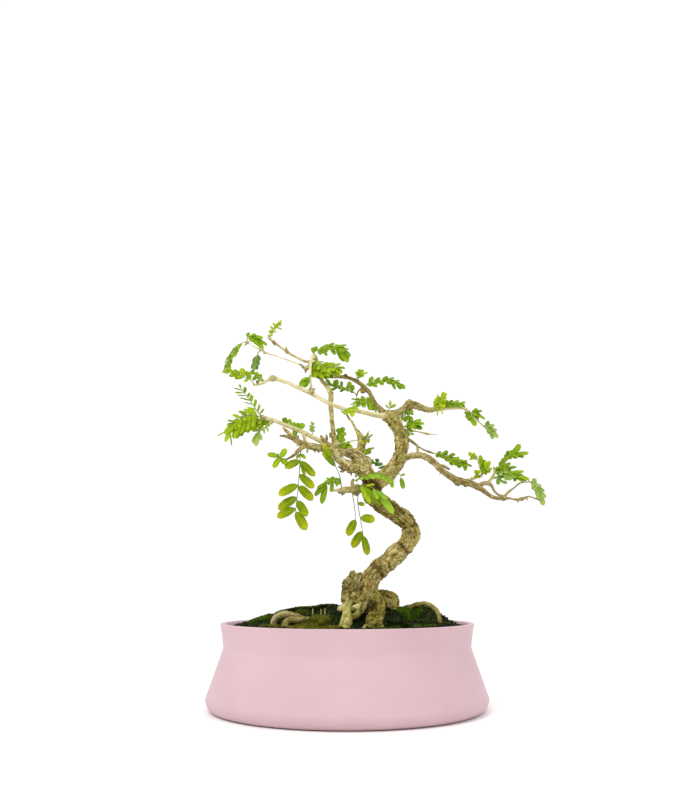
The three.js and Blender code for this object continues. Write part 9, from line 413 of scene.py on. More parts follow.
def vnoise(p, seed=0):
    i = np.floor(p).astype(np.int64)
    f = p - i
    u = f * f * f * (f * (f * 6 - 15) + 10)
    out = np.zeros(len(p))
    for dx in (0, 1):
        wx = u[:, 0] if dx else 1 - u[:, 0]
        for dy in (0, 1):
            wy = u[:, 1] if dy else 1 - u[:, 1]
            for dz in (0, 1):
                wz = u[:, 2] if dz else 1 - u[:, 2]
                out += wx * wy * wz * lattice(i[:, 0] + dx, i[:, 1] + dy, i[:, 2] + dz, seed)
    return out * 2 - 1


def fbm(p, seed=0, octaves=3, gain=0.5):
    out = np.zeros(len(p))
    a = 1.0
    total = 0.0
    q = np.array(p, float)
    for k in range(octaves):
        out += a * vnoise(q, seed + 11 * k)
        total += a
        a *= gain
        q = q * 2.03 + 7.7
    return out / total


def cells(p, seed=0):
    """Distances to the nearest and second nearest of jittered lattice points."""
    i = np.floor(p).astype(np.int64)
    f1 = np.full(len(p), 9.0)
    f2 = np.full(len(p), 9.0)
    for dx in (-1, 0, 1):
        for dy in (-1, 0, 1):
            for dz in (-1, 0, 1):
                c = i + np.array([dx, dy, dz])
                j = np.stack([lattice(c[:, 0], c[:, 1], c[:, 2], seed + k) for k in (1, 2, 3)], 1)
                d = np.sqrt((((c + j) - p) ** 2).sum(1))
                near = d < f1
                f2 = np.where(near, f1, np.minimum(f2, d))
                f1 = np.where(near, d, f1)
    return f1, f2


def sstep(v, a, b):
    t = np.clip((v - a) / (b - a), 0, 1)
    return t * t * (3 - 2 * t)


def crom(points, n):
    P = np.array(points, float)
    l = len(P)
    out = []
    w = (np.arange(n) / n)[:, None]
    for i in range(l - 1):
        p1, p2 = P[i], P[i + 1]
        p0 = P[i - 1] if i > 0 else 2 * P[0] - P[1]
        p3 = P[i + 2] if i + 2 < l else 2 * P[l - 1] - P[l - 2]
        d0 = np.sum((p0 - p1) ** 2) ** 0.25
        d1 = np.sum((p1 - p2) ** 2) ** 0.25
        d2 = np.sum((p2 - p3) ** 2) ** 0.25
        d1 = 1 if d1 < 1e-4 else d1
        d0 = d1 if d0 < 1e-4 else d0
        d2 = d1 if d2 < 1e-4 else d2
        t1 = ((p1 - p0) / d0 - (p2 - p0) / (d0 + d1) + (p2 - p1) / d1) * d1
        t2 = ((p2 - p1) / d1 - (p3 - p1) / (d1 + d2) + (p3 - p2) / d2) * d1
        c2 = -3 * p1 + 3 * p2 - 2 * t1 - t2
        c3 = 2 * p1 - 2 * p2 + t1 + t2
        out.append(p1 + t1 * w + c2 * w ** 2 + c3 * w ** 3)
    out.append(P[-1:])
    return np.concatenate(out)


def unit(v):
    return v / np.maximum(1e-12, np.linalg.norm(v, axis=-1, keepdims=True))


def resample(points, radii, step):
    n = 16
    P = crom(points, n)
    k = np.arange(len(P)) / n
    R = np.interp(k, np.arange(len(radii)), radii)
    S = np.concatenate([[0], np.cumsum(np.linalg.norm(np.diff(P, axis=0), axis=1))])
    m = max(3, int(math.ceil(S[-1] / step)) + 1)
    s = np.linspace(0, S[-1], m)
    Q = np.stack([np.interp(s, S, P[:, a]) for a in range(3)], 1)
    r = np.interp(s, S, R)
    w = max(1, int(1.6 / step))
    if m > 2 * w + 2:
        pad = np.concatenate([np.full(w, r[0]), r, np.full(w, r[-1])])
        r = np.convolve(pad, np.ones(2 * w + 1) / (2 * w + 1), "valid")
    return Q, r, s


def frames_along(P, first=None):
    T = unit(np.gradient(P, axis=0))
    N = np.zeros_like(P)
    a = np.array([0.0, 0.0, 1.0]) if abs(T[0, 2]) < 0.9 else np.array([1.0, 0.0, 0.0])
    if first is not None:
        a = np.array(first, float)
    n = unit(a - T[0] * (a @ T[0]))
    for i in range(len(P)):
        n = n - T[i] * (n @ T[i])
        n = n / max(1e-9, np.linalg.norm(n))
        N[i] = n
    return T, N, np.cross(T, N)


class Soup:
    """Vertices, faces and per-vertex values of one piece, in millimetres."""

    def __init__(self):
        self.v, self.f, self.c, self.uv, self.m, self.n = [], [], [], [], [], 0

    def add(self, v, faces, c=None, uv=None, mat=0):
        v = np.asarray(v, float)
        self.v.append(v)
        for f in faces:
            f = np.asarray(f, np.int64)
            if len(f):
                self.f.append(f + self.n)
                self.m.append(np.full(len(f), mat, np.int32))
        self.c.append(np.zeros((len(v), 4)) if c is None else np.asarray(c, float))
        self.uv.append(np.zeros((len(v), 2)) if uv is None else np.asarray(uv, float))
        self.n += len(v)

    def make(self, name, materials, attr=None, smooth=True, replaces=()):
        me = bpy.data.meshes.new(name)
        V = np.concatenate(self.v) * MM
        counts = np.concatenate([np.full(len(f), f.shape[1]) for f in self.f])
        loops = np.concatenate([f.reshape(-1) for f in self.f])
        me.vertices.add(len(V))
        me.vertices.foreach_set("co", V.astype(np.float32).reshape(-1))
        me.loops.add(len(loops))
        me.loops.foreach_set("vertex_index", loops.astype(np.int32))
        me.polygons.add(len(counts))
        me.polygons.foreach_set("loop_start", np.concatenate([[0], np.cumsum(counts)[:-1]]).astype(np.int32))
        me.polygons.foreach_set("material_index", np.concatenate(self.m).astype(np.int32))
        me.update(calc_edges=True)
        me.validate()
        me.polygons.foreach_set("use_smooth", np.full(len(me.polygons), smooth))
        if attr:
            a = me.attributes.new(attr, "FLOAT_COLOR", "POINT")
            a.data.foreach_set("color", np.concatenate(self.c).astype(np.float32).reshape(-1))
        UV = np.concatenate(self.uv)
        if np.abs(UV).max() > 0:
            layer = me.uv_layers.new(name="UVMap")
            vi = np.zeros(len(me.loops), np.int32)
            me.loops.foreach_get("vertex_index", vi)
            layer.data.foreach_set("uv", UV[vi].astype(np.float32).reshape(-1))
        ob = bpy.data.objects.new(name, me)
        scene.collection.objects.link(ob)
        for mat in materials:
            me.materials.append(mat)
        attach(ob, "root")
        if replaces:
            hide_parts(*replaces)
        return ob


def tube(P, R, sides, N0=None, round_end=True, spin=0.0, shape=None):
    """A closed tube along P. shape(s, angle) can give a factor for the radius."""
    T, N, B = frames_along(P, N0)
    a = np.arange(sides) / sides * 2 * math.pi + spin
    ca, sa = np.cos(a), np.sin(a)
    rr = np.repeat(R[:, None], sides, 1)
    if shape is not None:
        rr = rr * shape
    V = P[:, None, :] + rr[:, :, None] * (N[:, None, :] * ca[None, :, None] + B[:, None, :] * sa[None, :, None])
    rings = [V[i] for i in range(len(P))]
    if round_end:
        r = R[-1]
        rings.append(P[-1] + T[-1] * r * 0.38 + (rings[-1] - P[-1]) * 0.86)
        rings.append(P[-1] + T[-1] * r * 0.62 + (V[-1] - P[-1]) * 0.5)
        r0 = R[0]
        rings.insert(0, P[0] - T[0] * r0 * 0.38 + (V[0] - P[0]) * 0.8)
    m = len(rings)
    verts = np.concatenate(rings)
    tip = P[-1] + T[-1] * R[-1] * (0.72 if round_end else 0.0)
    foot = P[0] - T[0] * R[0] * (0.5 if round_end else 0.0)
    verts = np.concatenate([verts, [foot], [tip]])
    j = np.arange(sides)
    jn = (j + 1) % sides
    quads = np.concatenate([np.stack([k * sides + j, k * sides + jn, (k + 1) * sides + jn, (k + 1) * sides + j], 1) for k in range(m - 1)])
    lo = np.stack([np.full(sides, m * sides), jn, j], 1)
    hi = np.stack([np.full(sides, m * sides + 1), (m - 1) * sides + j, (m - 1) * sides + jn], 1)
    return verts, quads, np.concatenate([lo, hi])


def blob(c, r, n=14, m=9, seed=0, rough=0.16):
    u = np.arange(n) / n * 2 * math.pi
    w = (np.arange(1, m)) / m * math.pi
    V = np.stack([np.outer(np.sin(w), np.cos(u)), np.outer(np.sin(w), np.sin(u)), np.outer(np.cos(w), np.ones(n))], 2).reshape(-1, 3)
    V = np.concatenate([V, [[0, 0, 1], [0, 0, -1]]])
    k = 1 + rough * fbm(V * 1.7 + np.array(c) * 0.37, seed, 2)
    V = np.array(c) + V * (np.asarray(r) * k[:, None])
    j = np.arange(n)
    jn = (j + 1) % n
    quads = np.concatenate([np.stack([i * n + j, (i + 1) * n + j, (i + 1) * n + jn, i * n + jn], 1) for i in range(m - 2)])
    top = np.stack([np.full(n, (m - 1) * n), j, jn], 1)
    low = np.stack([np.full(n, (m - 1) * n + 1), (m - 2) * n + jn, (m - 2) * n + j], 1)
    return V, quads, np.concatenate([top, low])


# ---------------------------------------------------------------- node materials
class Nodes:
    def __init__(self, name):
        self.mat = bpy.data.materials.new(name)
        self.mat.use_nodes = True
        self.t = self.mat.node_tree
        self.bsdf = self.t.nodes["Principled BSDF"]

    def set(self, **kw):
        for k, v in kw.items():
            self.bsdf.inputs[k.replace("_", " ")].default_value = v

    def link(self, a, b):
        self.t.links.new(a, b)

    def node(self, kind, **kw):
        n = self.t.nodes.new(kind)
        for k, v in kw.items():
            setattr(n, k, v)
        return n

    def put(self, socket, value):
        if hasattr(value, "links") or isinstance(value, bpy.types.NodeSocket):
            self.link(value, socket)
        else:
            socket.default_value = value

    def math(self, op, a, b=0.0, c=0.0, clamp=False):
        n = self.node("ShaderNodeMath", operation=op, use_clamp=clamp)
        self.put(n.inputs[0], a)
        self.put(n.inputs[1], b)
        self.put(n.inputs[2], c)
        return n.outputs[0]

    def mix(self, fac, a, b, blend="MIX"):
        n = self.node("ShaderNodeMix", data_type="RGBA", blend_type=blend)
        self.put(n.inputs[0], fac)
        self.put(n.inputs[6], a if not isinstance(a, tuple) else (*a, 1.0))
        self.put(n.inputs[7], b if not isinstance(b, tuple) else (*b, 1.0))
        return n.outputs[2]

    def noise(self, vec, scale, detail=4.0, rough=0.55, distort=0.0):
        n = self.node("ShaderNodeTexNoise")
        self.link(vec, n.inputs["Vector"])
        n.inputs["Scale"].default_value = scale
        n.inputs["Detail"].default_value = detail
        n.inputs["Roughness"].default_value = rough
        n.inputs["Distortion"].default_value = distort
        return n.outputs["Fac"]

    def voronoi(self, vec, scale, feature="F1", rnd=1.0):
        n = self.node("ShaderNodeTexVoronoi", feature=feature)
        self.link(vec, n.inputs["Vector"])
        n.inputs["Scale"].default_value = scale
        n.inputs["Randomness"].default_value = rnd
        return n.outputs["Distance"]

    def ramp(self, fac, stops):
        n = self.node("ShaderNodeValToRGB")
        e = n.color_ramp.elements
        while len(e) > 1:
            e.remove(e[-1])
        e[0].position = stops[0][0]
        e[0].color = (*stops[0][1], 1.0)
        for p, c in stops[1:]:
            x = e.new(p)
            x.color = (*c, 1.0)
        self.put(n.inputs[0], fac)
        return n.outputs[0]

    def span(self, v, a, b, c=0.0, d=1.0):
        n = self.node("ShaderNodeMapRange", interpolation_type="SMOOTHSTEP")
        self.put(n.inputs[0], v)
        for i, x in enumerate((a, b, c, d)):
            n.inputs[i + 1].default_value = x
        return n.outputs[0]

    def coords(self):
        return self.node("ShaderNodeTexCoord").outputs["Object"]

    def uv(self):
        return self.node("ShaderNodeTexCoord").outputs["UV"]

    def attr(self, name):
        n = self.node("ShaderNodeAttribute")
        n.attribute_name = name
        s = self.node("ShaderNodeSeparateColor")
        self.link(n.outputs["Color"], s.inputs[0])
        return s.outputs[0], s.outputs[1], s.outputs[2], n.outputs["Alpha"]

    def bump(self, height, strength, distance):
        n = self.node("ShaderNodeBump")
        n.inputs["Strength"].default_value = strength
        n.inputs["Distance"].default_value = distance
        self.link(height, n.inputs["Height"])
        self.link(n.outputs[0], self.bsdf.inputs["Normal"])

    def color(self, socket):
        self.link(socket, self.bsdf.inputs["Base Color"])


def bark_material():
    m = Nodes("bark")
    m.set(Roughness=0.9, Specular_IOR_Level=0.05)
    p = m.coords()
    tone, moss, dark, high = m.attr("bk")
    fine = m.noise(p, 1500.0, 5.0, 0.62)
    mid = m.noise(p, 330.0, 4.0, 0.6, 0.5)
    wide = m.noise(p, 95.0, 3.0, 0.5)
    k = m.math("ADD", m.math("MULTIPLY", high, 0.78), m.math("MULTIPLY", m.math("SUBTRACT", mid, 0.5), 0.60))
    k = m.math("ADD", m.math("ADD", k, 0.172), m.math("MULTIPLY", m.math("SUBTRACT", fine, 0.5), 0.24))
    k = m.math("ADD", k, m.math("MULTIPLY", moss, m.math("SUBTRACT", m.math("MULTIPLY", mid, 0.8), 0.45)))
    old = m.ramp(k, [(0.05, (0.06, 0.036, 0.006)), (0.22, (0.215, 0.150, 0.026)), (0.38, (0.43, 0.330, 0.094)), (0.55, (0.62, 0.51, 0.19)), (0.78, (0.79, 0.69, 0.36))])
    pale = m.ramp(k, [(0.08, (0.32, 0.24, 0.075)), (0.30, (0.60, 0.525, 0.235)), (0.55, (0.80, 0.76, 0.47)), (0.85, (0.92, 0.895, 0.71))])
    green = m.ramp(k, [(0.08, (0.020, 0.018, 0.001)), (0.26, (0.105, 0.096, 0.005)), (0.42, (0.235, 0.220, 0.018)), (0.60, (0.40, 0.380, 0.048)), (0.85, (0.60, 0.57, 0.14))])
    lit = m.ramp(k, [(0.08, (0.15, 0.135, 0.012)), (0.30, (0.37, 0.345, 0.055)), (0.55, (0.57, 0.545, 0.130)), (0.85, (0.74, 0.715, 0.27))])
    green = m.mix(tone, green, lit)
    c = m.mix(m.math("ADD", tone, m.math("MULTIPLY", m.math("SUBTRACT", wide, 0.5), 0.3), clamp=True), old, pale)
    rust = m.math("MULTIPLY", m.span(m.noise(p, 190.0, 3.0, 0.55, 0.5), 0.52, 0.68), m.math("SUBTRACT", 0.5, m.math("MULTIPLY", m.math("ABSOLUTE", m.math("SUBTRACT", tone, 0.28)), 0.45)))
    c = m.mix(rust, c, m.ramp(k, [(0.08, (0.10, 0.050, 0.018)), (0.35, (0.37, 0.235, 0.095)), (0.6, (0.60, 0.445, 0.225)), (0.9, (0.76, 0.635, 0.40))]))
    film = m.math("MULTIPLY", moss, m.span(m.math("ADD", m.math("MULTIPLY", wide, 0.6), m.math("MULTIPLY", mid, 0.4)), 0.30, 0.62), clamp=True)
    c = m.mix(film, c, green)
    # the dark channel darkens towards near black brown; in clefts, pinched rings and cracks it is partly painted shade
    c = m.mix(m.math("MULTIPLY", dark, m.span(mid, 0.36, 0.62, 0.45, 1.05), clamp=True), c, (0.062, 0.036, 0.010))
    line = m.math("MULTIPLY", m.span(m.voronoi(p, 520.0, "DISTANCE_TO_EDGE"), 0.0, 0.11, 1.0, 0.0), m.span(wide, 0.35, 0.6))
    line = m.math("MULTIPLY", line, m.math("SUBTRACT", 0.34, m.math("MULTIPLY", tone, 0.3)), clamp=True)
    c = m.mix(line, c, (0.12, 0.078, 0.020))
    m.color(c)
    m.bump(m.math("SUBTRACT", m.math("ADD", m.math("MULTIPLY", fine, 0.6), m.math("MULTIPLY", mid, 1.5)), line), 0.8, 0.0010)
    return m.mat


def leaf_material(name, low, high, tip, tip_amount):
    m = Nodes(name)
    m.set(Roughness=0.55, Specular_IOR_Level=0.05)
    rnd, along, across, shade = m.attr("lf")
    p = m.coords()
    n = m.noise(p, 520.0, 3.0, 0.55)
    c = m.mix(m.math("ADD", m.math("MULTIPLY", rnd, 0.75), m.math("MULTIPLY", m.math("SUBTRACT", n, 0.5), 0.5), clamp=True), low, high)
    edge = m.math("MULTIPLY", m.span(m.math("ADD", m.math("MULTIPLY", along, 0.8), m.math("MULTIPLY", m.math("SUBTRACT", n, 0.5), 0.7)), 0.32, 0.82), tip_amount)
    edge = m.math("MULTIPLY", edge, m.span(rnd, 0.05, 0.9, 0.45, 1.0))
    c = m.mix(edge, c, tip)
    # midrib a little paler, side veins faint
    rib = m.span(across, 0.0, 0.16, 1.0, 0.0)
    c = m.mix(m.math("MULTIPLY", rib, 0.42), c, (min(1, high[0] * 1.5 + 0.06), min(1, high[1] * 1.2 + 0.05), high[2] * 1.6 + 0.03))
    w = m.math("SINE", m.math("SUBTRACT", m.math("MULTIPLY", along, 46.0), m.math("MULTIPLY", across, 9.0)))
    c = m.mix(m.math("MULTIPLY", m.span(w, 0.55, 1.0), 0.16), c, (low[0] * 0.6, low[1] * 0.7, low[2] * 0.6))
    # undersides (fourth lf channel) mixed paler: the leaflets' own paler underside, made paler still as a painted
    # highlight
    c = m.mix(m.math("MULTIPLY", shade, 0.38), c, (high[0] * 0.98 + 0.05, high[1] * 0.88 + 0.05, high[2] + 0.03))
    m.color(c)
    m.bump(m.math("ADD", m.math("MULTIPLY", w, -0.25), m.math("MULTIPLY", rib, -0.8)), 0.35, 0.00025)
    return m.mat


def stalk_material(name, low, high):
    m = Nodes(name)
    m.set(Roughness=0.6, Specular_IOR_Level=0.1)
    n = m.noise(m.coords(), 800.0, 3.0, 0.5)
    m.color(m.ramp(n, [(0.3, low), (0.7, high)]))
    m.bump(n, 0.2, 0.0002)
    return m.mat


def pot_material():
    m = Nodes("pink_glaze")
    m.set(Roughness=0.5, Specular_IOR_Level=0.22, Coat_Weight=0.05, Coat_Roughness=0.35)
    p = m.coords()
    wide = m.noise(p, 22.0, 3.0, 0.5)
    fine = m.noise(p, 900.0, 4.0, 0.6)
    speck = m.voronoi(p, 620.0)
    c = m.mix(m.span(wide, 0.3, 0.7), (0.566, 0.386, 0.420), (0.597, 0.413, 0.446))
    c = m.mix(m.math("MULTIPLY", m.span(fine, 0.55, 0.8), 0.22), c, (0.61, 0.44, 0.47))
    c = m.mix(m.math("MULTIPLY", m.span(speck, 0.0, 0.10, 1.0, 0.0), 0.10), c, (0.46, 0.28, 0.31))
    m.color(c)
    m.bump(m.math("ADD", m.math("MULTIPLY", fine, 0.35), m.noise(p, 120.0, 2.0, 0.5)), 0.12, 0.0006)
    return m.mat


def clay_foot_material():
    m = Nodes("bare_clay")
    m.set(Roughness=0.85, Specular_IOR_Level=0.2)
    p = m.coords()
    n = m.noise(p, 700.0, 5.0, 0.6)
    m.color(m.ramp(n, [(0.3, (0.40, 0.24, 0.20)), (0.7, (0.55, 0.36, 0.31))]))
    m.bump(n, 0.3, 0.0004)
    return m.mat


def soil_material():
    m = Nodes("earth")
    m.set(Roughness=0.95, Specular_IOR_Level=0.04)
    p = m.coords()
    a = m.noise(p, 900.0, 6.0, 0.65)
    b = m.noise(p, 60.0, 4.0, 0.55)
    green, crumb, light, _ = m.attr("gr")
    c = m.ramp(m.math("ADD", m.math("MULTIPLY", a, 0.7), m.math("MULTIPLY", light, 0.4)), [(0.25, (0.002, 0.003, 0.001)), (0.5, (0.008, 0.009, 0.004)), (0.66, (0.036, 0.034, 0.013)), (0.80, (0.10, 0.082, 0.030)), (0.98, (0.22, 0.17, 0.070))])
    g = m.ramp(a, [(0.3, (0.003, 0.009, 0.001)), (0.6, (0.019, 0.044, 0.003)), (0.8, (0.060, 0.095, 0.008))])
    c = m.mix(m.math("MULTIPLY", green, m.span(b, 0.35, 0.6, 0.35, 1.0), clamp=True), c, g)
    m.color(c)
    m.bump(a, 0.8, 0.0009)
    return m.mat


def moss_material():
    m = Nodes("moss_tufts")
    m.set(Roughness=0.8, Specular_IOR_Level=0.04)
    rnd, along, deep, shade = m.attr("mo")
    k = m.math("ADD", m.math("MULTIPLY", along, 0.62), m.math("MULTIPLY", rnd, 0.38))
    c = m.ramp(k, [(0.05, (0.004, 0.011, 0.001)), (0.4, (0.030, 0.085, 0.004)), (0.75, (0.085, 0.190, 0.008)), (1.0, (0.20, 0.32, 0.018))])
    y = m.ramp(k, [(0.05, (0.022, 0.019, 0.001)), (0.45, (0.145, 0.125, 0.010)), (0.8, (0.35, 0.295, 0.035)), (1.0, (0.54, 0.46, 0.095))])
    c = m.mix(shade, c, y)
    m.color(m.mix(deep, c, (0.005, 0.010, 0.001)))
    m.bump(m.noise(m.coords(), 1800.0, 2.0, 0.5), 0.3, 0.0002)
    return m.mat


def plastic_material():
    m = Nodes("mesh_plastic")
    m.set(Roughness=0.5, Specular_IOR_Level=0.4)
    n = m.noise(m.coords(), 900.0, 3.0, 0.5)
    m.color(m.ramp(n, [(0.3, (0.018, 0.018, 0.018)), (0.7, (0.035, 0.035, 0.034))]))
    m.bump(n, 0.15, 0.0002)
    return m.mat


BARK = bark_material()
STALK = stalk_material("leaf_stalk", (0.17, 0.22, 0.022), (0.38, 0.44, 0.085))
GREY = stalk_material("leaf_stalk_grey", (0.10, 0.12, 0.055), (0.22, 0.25, 0.135))
LEAF = {
    "g": leaf_material("leaf_green", (0.075, 0.168, 0.001), (0.259, 0.423, 0.015), (0.385, 0.465, 0.007), 0.42),
    "d": leaf_material("leaf_dark", (0.046, 0.115, 0.002), (0.136, 0.284, 0.018), (0.220, 0.350, 0.012), 0.28),
    "y": leaf_material("leaf_yellow_green", (0.171, 0.300, 0.001), (0.407, 0.551, 0.017), (0.550, 0.570, 0.010), 0.5),
    "l": leaf_material("leaf_light", (0.138, 0.255, 0.026), (0.365, 0.508, 0.105), (0.484, 0.560, 0.170), 0.40),
    "a": leaf_material("leaf_bronze", (0.094, 0.165, 0.001), (0.237, 0.335, 0.004), (0.470, 0.460, 0.008), 0.82),
    "b": leaf_material("leaf_bluish", (0.077, 0.155, 0.022), (0.207, 0.332, 0.080), (0.286, 0.380, 0.110), 0.30),
    "n": leaf_material("leaf_turning", (0.105, 0.195, 0.001), (0.281, 0.395, 0.005), (0.540, 0.530, 0.020), 0.7),
    "p": leaf_material("leaf_pale", (0.125, 0.270, 0.008), (0.350, 0.520, 0.045), (0.500, 0.580, 0.060), 0.45),
    "m": leaf_material("leaf_mid", (0.127, 0.240, 0.001), (0.353, 0.498, 0.016), (0.462, 0.520, 0.009), 0.45),
}
LOOK = {"leaf_04": "b", "leaf_24": "g", "leaf_09": "m", "leaf_10": "m", "leaf_22": "m", "leaf_12": "m", "leaf_18": "n", "leaf_17": "p", "leaf_05": "m", "leaf_16": "m", "leaf_55": "m", "leaf_56": "p"}


# ---------------------------------------------------------------- wood
class Limb:
    pass


limbs = []
for index, (name, sides, pts) in enumerate(STRANDS):
    q = np.array(pts, float)
    L = Limb()
    L.name, L.index = name, index
    L.P, L.R, L.S = resample(q[:, :3], q[:, 3], 0.6)
    u = L.S / L.S[-1]
    wob = vnoise(np.stack([L.S / 9.0, np.full(len(u), index * 3.7), np.zeros(len(u))], 1), 5)
    L.R = L.R * (1 + 0.05 * wob) * SLIM.get(name, 1.0)
    L.tone = np.interp(u, *zip(*TONE.get(name, [(0, 0.15), (1, 0.15)])))
    L.moss = np.interp(u, *zip(*MOSSY.get(name, [(0, 0.0), (1, 0.0)])))
    L.dark = np.interp(u, *zip(*DARK.get(name, [(0, 0.0), (1, 0.0)])))
    L.crev = np.interp(u, *zip(*CREV.get(name, [(0, 0.2), (1, 0.2)])))
    L.T, L.N, L.B = frames_along(L.P)
    limbs.append(L)

SP = np.concatenate([L.P for L in limbs])
SR = np.concatenate([L.R for L in limbs])
SS = np.concatenate([L.S for L in limbs])
ST = np.concatenate([L.T for L in limbs])
SN = np.concatenate([L.N for L in limbs])
SB = np.concatenate([L.B for L in limbs])
SI = np.concatenate([np.full(len(L.P), L.index) for L in limbs])
STONE = np.concatenate([L.tone for L in limbs])
SMOSS = np.concatenate([L.moss for L in limbs])
SDARK = np.concatenate([L.dark for L in limbs])
SCREV = np.concatenate([L.crev for L in limbs])


def nearest_sample(V):
    out = np.zeros(len(V), np.int64)
    dist = np.zeros(len(V))
    K = SP.astype(np.float32)
    kk = (K ** 2).sum(1)
    for a in range(0, len(V), 4000):
        v = V[a:a + 4000].astype(np.float32)
        d = np.sqrt(np.maximum(0, (v ** 2).sum(1)[:, None] + kk[None, :] - 2 * v @ K.T)) - SR[None, :].astype(np.float32)
        out[a:a + 4000] = d.argmin(1)
        dist[a:a + 4000] = d.min(1)
    return out, dist


def bark_field(V):
    """Displacement in millimetres and the four bark values for points on the wood."""
    k, _ = nearest_sample(V)
    rel = V - SP[k]
    s = SS[k] + (rel * ST[k]).sum(1)
    x = (rel * SN[k]).sum(1)
    y = (rel * SB[k]).sum(1)
    r = SR[k]
    q = np.stack([x, y, s * 0.42], 1) + SI[k][:, None] * np.array([17.3, 5.1, 9.7])
    big = fbm(V / 7.5, 3, 2)
    cell = 1.9 + 0.13 * r
    warp = np.stack([fbm(V / 3.1, 21, 2), fbm(V / 3.1, 22, 2), fbm(V / 3.1, 23, 2)], 1)
    f1, f2 = cells(q / cell[:, None] + warp * 0.55, 41)
    plate = sstep(f2 - f1, 0.02, 0.38)
    small = fbm(q / 1.5, 51, 3, 0.6)
    rough = np.clip((r - 0.8) / 7.0, 0.03, 1.0)
    tone = STONE[k]
    young = 1 - 0.72 * sstep(tone, 0.35, 0.8)
    amp = 0.98 * rough ** 0.75 * young
    crev = SCREV[k]
    cleft = (1 - sstep(f2 - f1, 0.0, 0.26)) * np.clip(0.62 + 0.9 * fbm(V / 4.5, 33, 2), 0, 1) * crev
    fibre = fbm(np.stack([x, y, s * 0.15], 1) / 1.15 + SI[k][:, None] * 3.3, 37, 2, 0.6)
    d = amp * (1 + 0.55 * crev) * (0.85 * big + 0.95 * (plate - 0.62) + 0.34 * small + 0.34 * fibre) - 0.4 * cleft * rough
    high = np.clip(0.42 + 0.30 * (plate - 0.6) * (0.4 + 0.6 * young) + 0.17 * small + 0.30 * fibre * (0.35 + 0.65 * young) + 0.16 * big, 0, 1)
    # clefts between plates painted darker: partly the bark's own dark fissures, partly painted shade
    high = np.clip(high - 0.08 * cleft + 0.30 * crev * fbm(q / 2.0, 35, 2, 0.55), 0, 1)
    dark = np.maximum(SDARK[k], 0.72 * cleft)
    for (px, py, pz, half, depth) in RINGS:
        c = np.array([px, py, pz])
        j = int(((SP - c) ** 2).sum(1).argmin())
        same = SI[k] == SI[j]
        off = s - SS[j] + 1.5 * fbm(V / 4.0, 61, 2)
        g = np.exp(-(off / half) ** 2) * same * (((V - c) ** 2).sum(1) < 900)
        d -= depth * g * (0.7 + 0.3 * plate)
        # pinched rings painted darker with their depth: partly dark bark, partly painted shade
        dark = np.maximum(dark, 0.75 * g * depth)
        high = high - 0.22 * g
    for (lx, ly, lz, lr) in LUMPS:
        g = np.exp(-(((V - np.array([lx, ly, lz])) ** 2).sum(1)) / (1.15 * lr) ** 2)
        if lr < 3.7 and lz > 110:
            dark = np.maximum(dark, 0.72 * g)
            high = high - 0.12 * g
            d += 0.30 * g * fbm(V / 0.9, 71, 2)
    # cracks and hollows are carved in and painted dark, partly their own colour, partly painted shade
    for points, half, depth, crack_dark_and_shade in CRACKS:
        c = np.array(points, float)
        near = ((V - c.mean(0)) ** 2).sum(1) < (np.abs(c - c.mean(0)).max() + 6 * half + 3) ** 2
        if not near.any():
            continue
        v = V[near]
        gap = np.full(len(v), 99.0)
        for a, b in zip(c[:-1], c[1:]):
            e = b - a
            t = np.clip(((v - a) @ e) / max(1e-9, e @ e), 0, 1)
            gap = np.minimum(gap, np.linalg.norm(v - a - t[:, None] * e, axis=1))
        gap = gap * (1 + 0.35 * vnoise(v / 1.1, 87))
        g = np.exp(-(gap / half) ** 2)
        d[near] -= depth * g
        dark[near] = np.maximum(dark[near], crack_dark_and_shade * g)
        high[near] -= 0.3 * g
    moss = SMOSS[k] + 0.25 * fbm(V / 11.0, 81, 2)
    bk = np.stack([np.clip(tone, 0, 1), np.clip(moss, 0, 1), np.clip(dark, 0, 1), np.clip(high, 0, 1)], 1)
    return d, bk


def edges_of(quads):
    e = np.concatenate([quads[:, [i, (i + 1) % quads.shape[1]]] for i in range(quads.shape[1])])
    return np.unique(np.sort(e, 1), axis=0)


def smooth_verts(V, E, rounds, lam=0.5, mu=-0.53):
    n = len(V)
    deg = np.bincount(E.reshape(-1), minlength=n)[:, None].clip(1)
    for i in range(rounds * 2):
        acc = np.zeros_like(V)
        for a in range(3):
            acc[:, a] = np.bincount(E[:, 0], V[E[:, 1], a], n) + np.bincount(E[:, 1], V[E[:, 0], a], n)
        V = V + (lam if i % 2 == 0 else mu) * (acc / deg - V)
    return V


def normals_of(V, quads):
    d1 = V[quads[:, 2]] - V[quads[:, 0]]
    d2 = V[quads[:, 3]] - V[quads[:, 1]]
    n = np.cross(d1, d2)
    out = np.zeros_like(V)
    for i in range(4):
        for a in range(3):
            out[:, a] += np.bincount(quads[:, i], n[:, a], len(V))
    return unit(out)


def voxel_union(soup, voxel):
    me = bpy.data.meshes.new("union")
    V = np.concatenate(soup.v)
    faces = []
    for f in soup.f:
        faces += f.tolist()
    me.from_pydata(V.tolist(), [], faces)
    ob = bpy.data.objects.new("union", me)
    scene.collection.objects.link(ob)
    mod = ob.modifiers.new("remesh", "REMESH")
    mod.mode = "VOXEL"
    mod.voxel_size = voxel
    mod.adaptivity = 0.0
    dg = bpy.context.evaluated_depsgraph_get()
    got = ob.evaluated_get(dg).to_mesh()
    v = np.zeros(len(got.vertices) * 3, np.float32)
    got.vertices.foreach_get("co", v)
    q = np.zeros(len(got.polygons) * 4, np.int32)
    tot = np.zeros(len(got.polygons), np.int32)
    got.polygons.foreach_get("loop_total", tot)
    got.loops.foreach_get("vertex_index", q)
    ob.evaluated_get(dg).to_mesh_clear()
    bpy.data.objects.remove(ob)
    bpy.data.meshes.remove(me)
    return v.reshape(-1, 3).astype(float), q.reshape(-1, 4).astype(np.int64)


